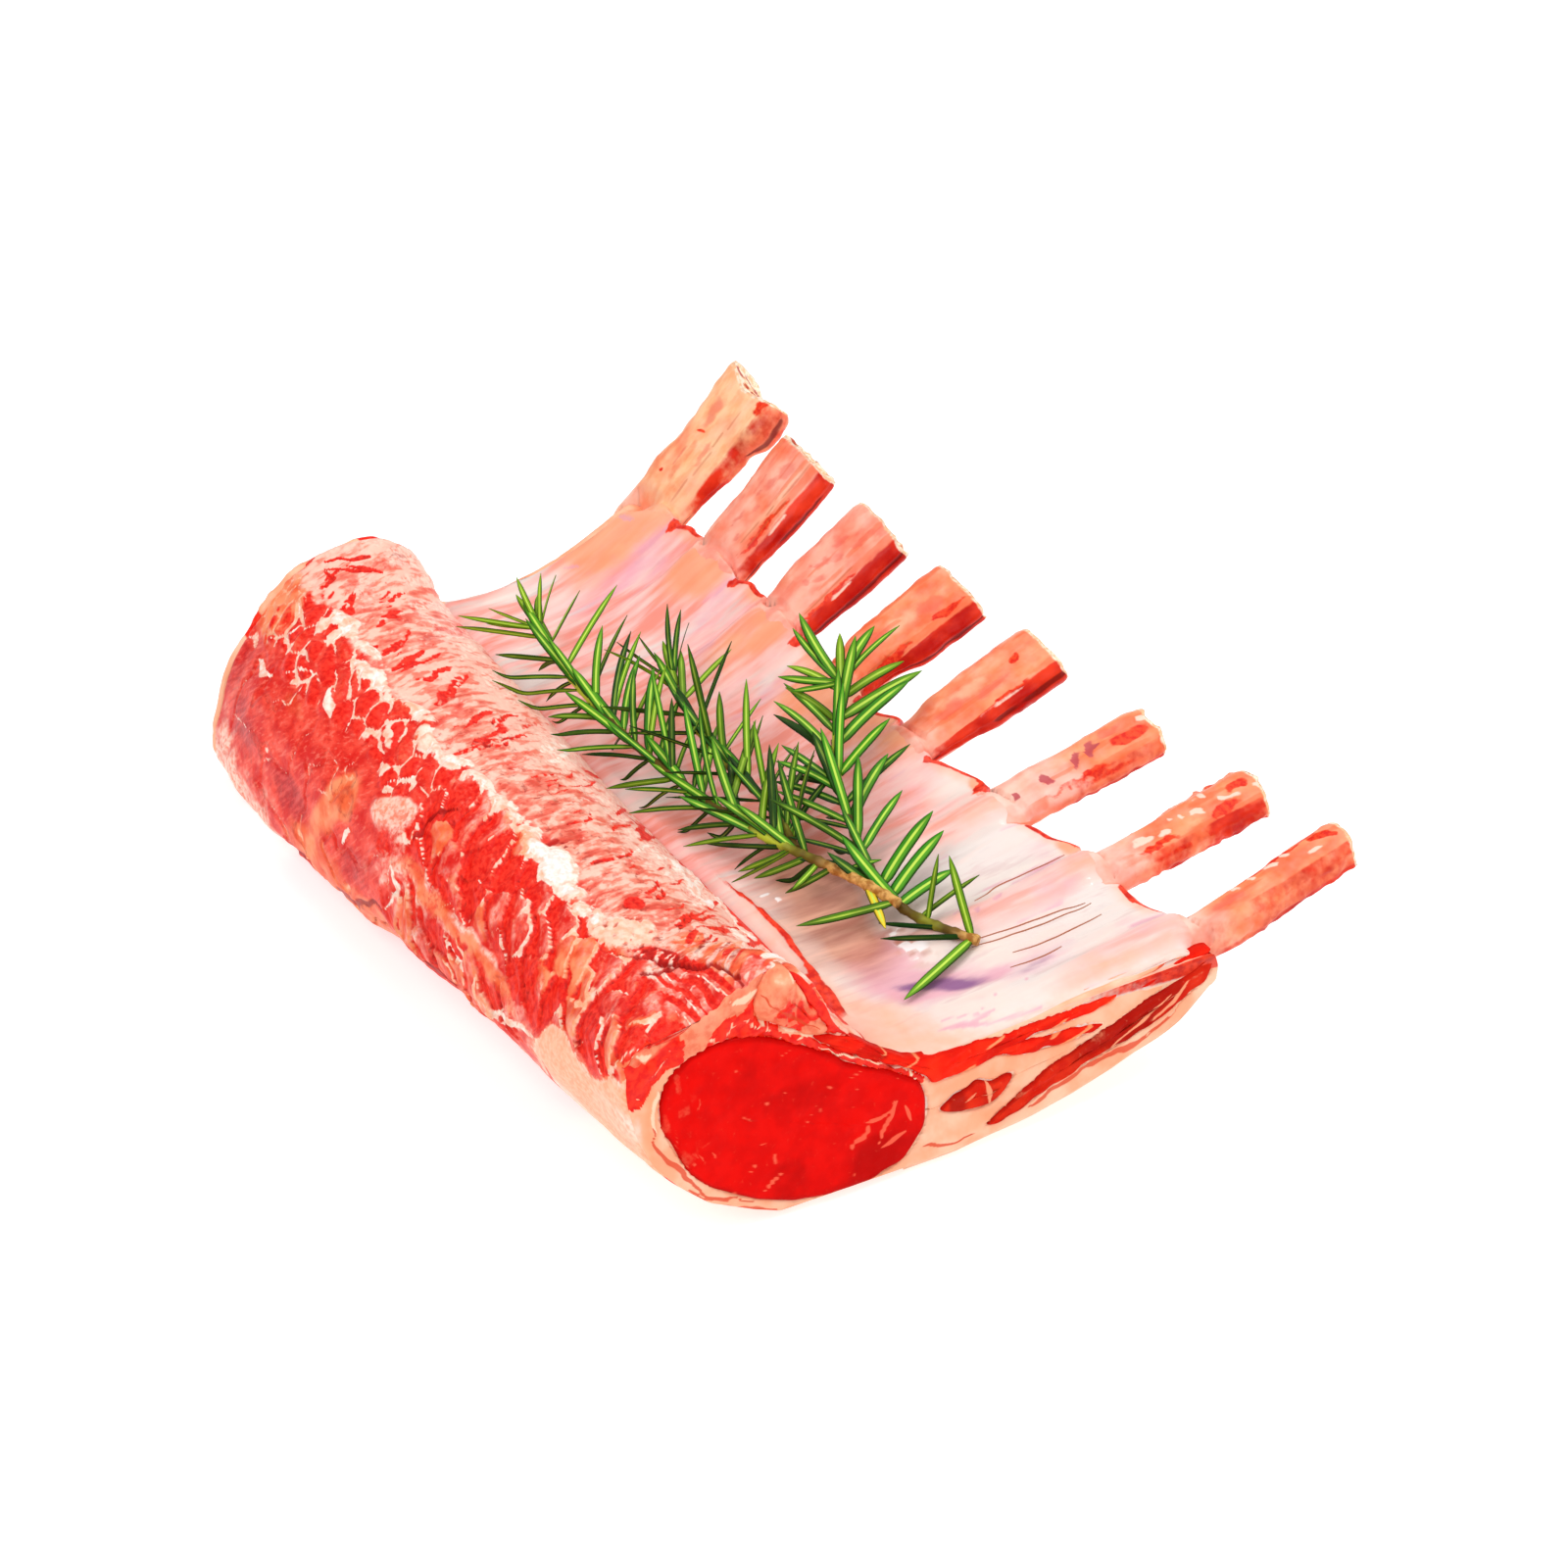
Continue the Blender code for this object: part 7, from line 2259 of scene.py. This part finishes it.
# Needles near the long sprig's cut end: distance from it, way, length, width, tone, yellow, bow, roll.
END_NEEDLES = (
    (9, (14.4, -3.4, -2.4), 12.5, 2.2, 0.6, 2.6, 0.0, 0.1),
    (1, (-5.6, -17.5, -2.0), 21.0, 2.0, -0.4, 0.35, 0.1, 0.35),
    (18, (-2, -12, -4), 11, 1.6, -0.8, 0.3, 0.1, 0.9), (24, (-3, -13, -3), 12, 1.7, -0.6, 0.4, 0.1, 0.8),
    (30, (-14, -14, -2), 18, 1.3, -1.2, 0.1, 0.1, 1.0), (28, (-4, -11, -4), 12, 1.5, -0.4, 0.5, 0.1, 0.8),
    (21, (4, -10, -2), 9, 1.5, 0.2, 0.6, 0.1, 0.4), (16, (5, 9, 4), 9, 1.8, 0.4, 0.2, 0.1, 0.2))


def make_long_sprig(material):
    """The long sprig with its side shoot."""
    sprig = Sprig(21)
    line = sprig.line(LONG_STEM)
    shoot = sprig.line(SIDE_SHOOT)
    sprig.stem(line, 0.6, 1.1, 20)
    sprig.stem(shoot, 0.45, 0.9, 0)
    total = strides(line).sum()
    reach = strides(shoot).sum()
    edge_on, flat = (0.8, 1.5), (-0.35, 0.35)
    # the tip's tuft
    for way, length, width, roll, yellow in TIP_TUFT:
        sprig.needle(line[1], way, length, width, 0.6, yellow, 0.08, roll)
    sprig.row(line, 4, total - 34, 8.5, 30, 10, (44, 56), (18, 23), (1.5, 2.1), (-0.2, 1.0), (-0.6, 0.8),
              (0.2, 0.8))
    sprig.row(line, 3, total - 24, 6.5, 178, 14, (60, 66), (18, 17), (1.1, 1.6), edge_on, (-1.2, 0.2),
              (0.0, 0.6), (-0.1, 0.25))
    sprig.row(line, 2, total - 22, 6.5, 100, 50, (8, 8), (17, 22), (1.8, 2.4), flat, (0.1, 1.2),
              (0.0, 0.35), (0.0, 0.06))
    sprig.row(line, 30, total - 26, 10.0, 60, 30, (34, 42), (18, 22), (1.5, 2.4), flat, (-0.6, 0.9),
              (0.0, 0.5))
    sprig.row(line, 12, total - 20, 10.0, 250, 30, (48, 58), (11, 12), (0.9, 1.3), edge_on, (-1.5, -0.6),
              (0.0, 0.2), (-0.1, 0.3))
    # the shoot's tuft and its needles
    for way, length, width, roll in SHOOT_TUFT:
        sprig.needle(shoot[2], way, length, width, -0.5, 0.1, 0.1, roll)
    sprig.row(shoot, 5, reach - 3, 8.0, 18, 14, (44, 56), (18, 22), (1.1, 1.8), (0.0, 1.1), (-1.2, 0.5),
              (0.0, 0.5))
    sprig.row(shoot, 3, reach - 5, 8.0, 170, 14, (50, 60), (17, 20), (0.9, 1.3), edge_on, (-1.5, -0.5),
              (0.0, 0.1), (-0.1, 0.3))
    sprig.row(shoot, 1, reach - 2, 6.0, 90, 50, (9, 10), (15, 19), (1.6, 2.2), flat, (-1.2, 0.2),
              (0.0, 0.1), (0.0, 0.08))
    sprig.row(shoot, 24, reach - 2, 7.0, 60, 35, (36, 46), (17, 22), (1.4, 2.3), (-0.3, 1.2), (-0.9, 0.8),
              (0.0, 0.7))
    # near the cut end: a yellow needle, a long dark one under the stem and a few short ones
    cut = len(line) - 1
    for back, way, length, width, tone, yellow, bow, roll in END_NEEDLES:
        sprig.needle(line[cut - int(back / STEM_STEP)], way, length, width, tone, yellow, bow, roll)
    sprig.row(line, 36, total - 22, 7.0, 45, 30, (38, 48), (17, 22), (1.3, 2.0), flat, (-1.4, 0.2),
              (0.0, 0.3))
    sprig.make("rosemary_long", ["rosemary_long_sprig"], material)


# Needles at the short sprig's tip: way, length, width and roll.
SHORT_TUFT = (((-12, -0.5, 6.5), 19, 2.5, 0.1), ((-12.8, -2.6, 5.6), 17, 2.2, -0.2),
              ((-5.5, 9.5, 5), 16, 2.8, 0.1), ((-3.5, 13.5, 5.5), 19, 1.8, 0.2),
              ((-4, -10, 2.5), 14, 1.9, 0.6), ((-1, -9, 1), 12, 1.4, 0.8))
# Needles near its cut end: distance from it, way, length, width, tone, yellow, bow and roll.
SHORT_END_NEEDLES = (
    (2, (-11.5, 1.2, 14), 18.0, 2.0, 0.3, 0.6, 0.02, 0.3),
    (12, (-5.2, 5.5, 12), 14.5, 1.7, -0.2, 0.55, 0.02, 0.6),
    (2, (8.5, -21.5, -1.2), 23.0, 2.6, 0.5, 0.5, 0.03, 0.0),
    (3, (-8, -15, 0.4), 17.5, 1.4, -1.2, 0.1, 0.05, 0.9),
    (9, (-9, -13, 1.0), 13, 1.2, -1.4, 0.0, 0.05, 0.9),
    (14, (1, 13.5, 7), 15.5, 2.1, -0.5, 0.5, 0.05, 0.5),
    (20, (-2, 14, 3), 15.0, 2.9, 0.8, 0.1, 0.12, 0.0), (23, (-5, 14, 7), 19, 3.1, 0.9, 0.0, 0.1, 0.0),
    (26, (-6, 15, 9), 20, 3.2, 0.6, 0.1, 0.1, 0.1), (19, (-16, -4, 9), 20, 3.0, 0.7, 0.1, 0.08, 0.0),
    (22, (-14, -8, 7), 17, 2.4, -0.3, 0.1, 0.1, 0.3))


def make_short_sprig(material):
    """The short sprig, which crosses under the long one's cut end."""
    sprig = Sprig(57)
    line = sprig.line(SHORT_STEM)
    total = strides(line).sum()
    sprig.stem(line, 0.7, 1.0, 5)
    for way, length, width, roll in SHORT_TUFT:
        sprig.needle(line[2], way, length, width, 0.5, 0.3, 0.16, roll)
    flat = (-0.3, 0.45)
    sprig.row(line, 4, total - 29, 6.4, 12, 14, (50, 46), (17, 22), (2.1, 2.9), flat, (-0.5, 1.0),
              (0.0, 0.2), (0.05, 0.2))
    sprig.row(line, 4, total - 29, 7.0, 170, 14, (56, 52), (15, 20), (1.6, 2.4), (-0.1, 1.0), (-0.9, 0.8),
              (0.0, 0.4), (0.05, 0.3))
    sprig.row(line, 3, total - 27, 7.0, 90, 45, (18, 22), (15, 20), (2.1, 2.8), flat, (-0.5, 1.0),
              (0.0, 0.2), (0.0, 0.15))
    sprig.row(line, 8, total - 27, 9.0, 260, 35, (46, 52), (13, 15), (1.0, 1.5), (0.6, 1.3), (-1.5, -0.5))
    end = len(line) - 1
    for back, way, length, width, tone, yellow, bow, roll in SHORT_END_NEEDLES:
        sprig.needle(line[end - int(back / STEM_STEP)], way, length, width, tone, yellow, bow, roll)
    sprig.row(line, 12, total - 26, 7.0, 205, 35, (38, 46), (15, 19), (1.5, 2.3), flat, (-1.4, 0.0),
              (0.0, 0.2))
    sprig.make("rosemary_short", ["rosemary_short_sprig"], material)


# ---------------------------------------------------------------- stage
FLOOR_DROP = 0.0002        # metres, so that the floor doesn't touch the rack's sole
FLOOR_GREY, FLOOR_GLOW = 0.64, 0.6
WORLD_STRENGTH = 0.4
LAMP_TARGET = (0, 0.02, 0.02)
# Name, place in metres, size in metres and power in watts of each lamp.
LAMPS = (("key", (0.25, -0.75, 0.95), 0.7, 6.0), ("fill", (0.9, 0.35, 0.6), 0.8, 2.5),
         ("back", (-0.1, 0.95, 0.75), 0.8, 3.0), ("top", (-0.2, 0.2, 1.2), 0.9, 5.0),
         ("glint", (0.35, 0.45, 0.9), 0.09, 0.8))
# The camera fitted to the photo: place and target in metres, lens and sensor in millimetres.
CAMERA_PLACE = (0.71025, -0.37266, 0.59890)
CAMERA_TARGET = (0.00084, 0.03692, 0.02532)
LENS, SENSOR = 106.9, 36.0
CLIP_START = 0.01
WHITE = (1, 1, 1, 1)


def place_in_scene(name, data, place, target):
    """A lamp or a camera that stands at a place and looks at a target."""
    thing = bpy.data.objects.new(name, data)
    bpy.context.scene.collection.objects.link(thing)
    thing.location = place
    thing.rotation_euler = (Vector(target) - Vector(place)).to_track_quat("-Z", "Y").to_euler()
    return thing


def make_floor():
    bpy.ops.mesh.primitive_plane_add(size=4)
    floor = bpy.context.object
    floor.name = "floor"
    s = Shader("floor", roughness=0.9, specular=0.0)
    s.out.inputs["Base Color"].default_value = (FLOOR_GREY, FLOOR_GREY, FLOOR_GREY, 1)
    s.out.inputs["Emission Color"].default_value = WHITE
    s.out.inputs["Emission Strength"].default_value = FLOOR_GLOW
    floor.data.materials.append(s.material)
    floor.location.z = -FLOOR_DROP


def make_light():
    """A pale world and soft lamps."""
    world = bpy.data.worlds.new("studio")
    world.use_nodes = True
    world.node_tree.nodes["Background"].inputs["Color"].default_value = WHITE
    world.node_tree.nodes["Background"].inputs["Strength"].default_value = WORLD_STRENGTH
    bpy.context.scene.world = world
    for name, place, size, power in LAMPS:
        light = bpy.data.lights.new(name, "AREA")
        light.size = size
        light.energy = power
        place_in_scene(name, light, place, LAMP_TARGET)


def make_camera():
    data = bpy.data.cameras.new("camera")
    data.lens = LENS
    data.sensor_width = SENSOR
    data.clip_start = CLIP_START
    scene = bpy.context.scene
    scene.camera = place_in_scene("camera", data, CAMERA_PLACE, CAMERA_TARGET)
    scene.view_settings.view_transform = "Standard"


make_floor()
make_light()
make_camera()
loin_rings = make_loin(meat_material())
plate_rows, plate_tree = make_plate(plate_material())
make_threads(plate_tree)
make_near_cut(loin_rings, plate_rows)
make_far_cut(loin_rings, plate_rows)
bone = rib_material()
for rib_number in range(1, RIBS + 1):
    make_rib(rib_number, bone, plate_tree)
for gap_number in range(1, RIBS):
    make_edge_meat(gap_number, plate_rows, bpy.data.materials["bright_lean"])
needles = rosemary_material()
make_long_sprig(needles)
make_short_sprig(needles)
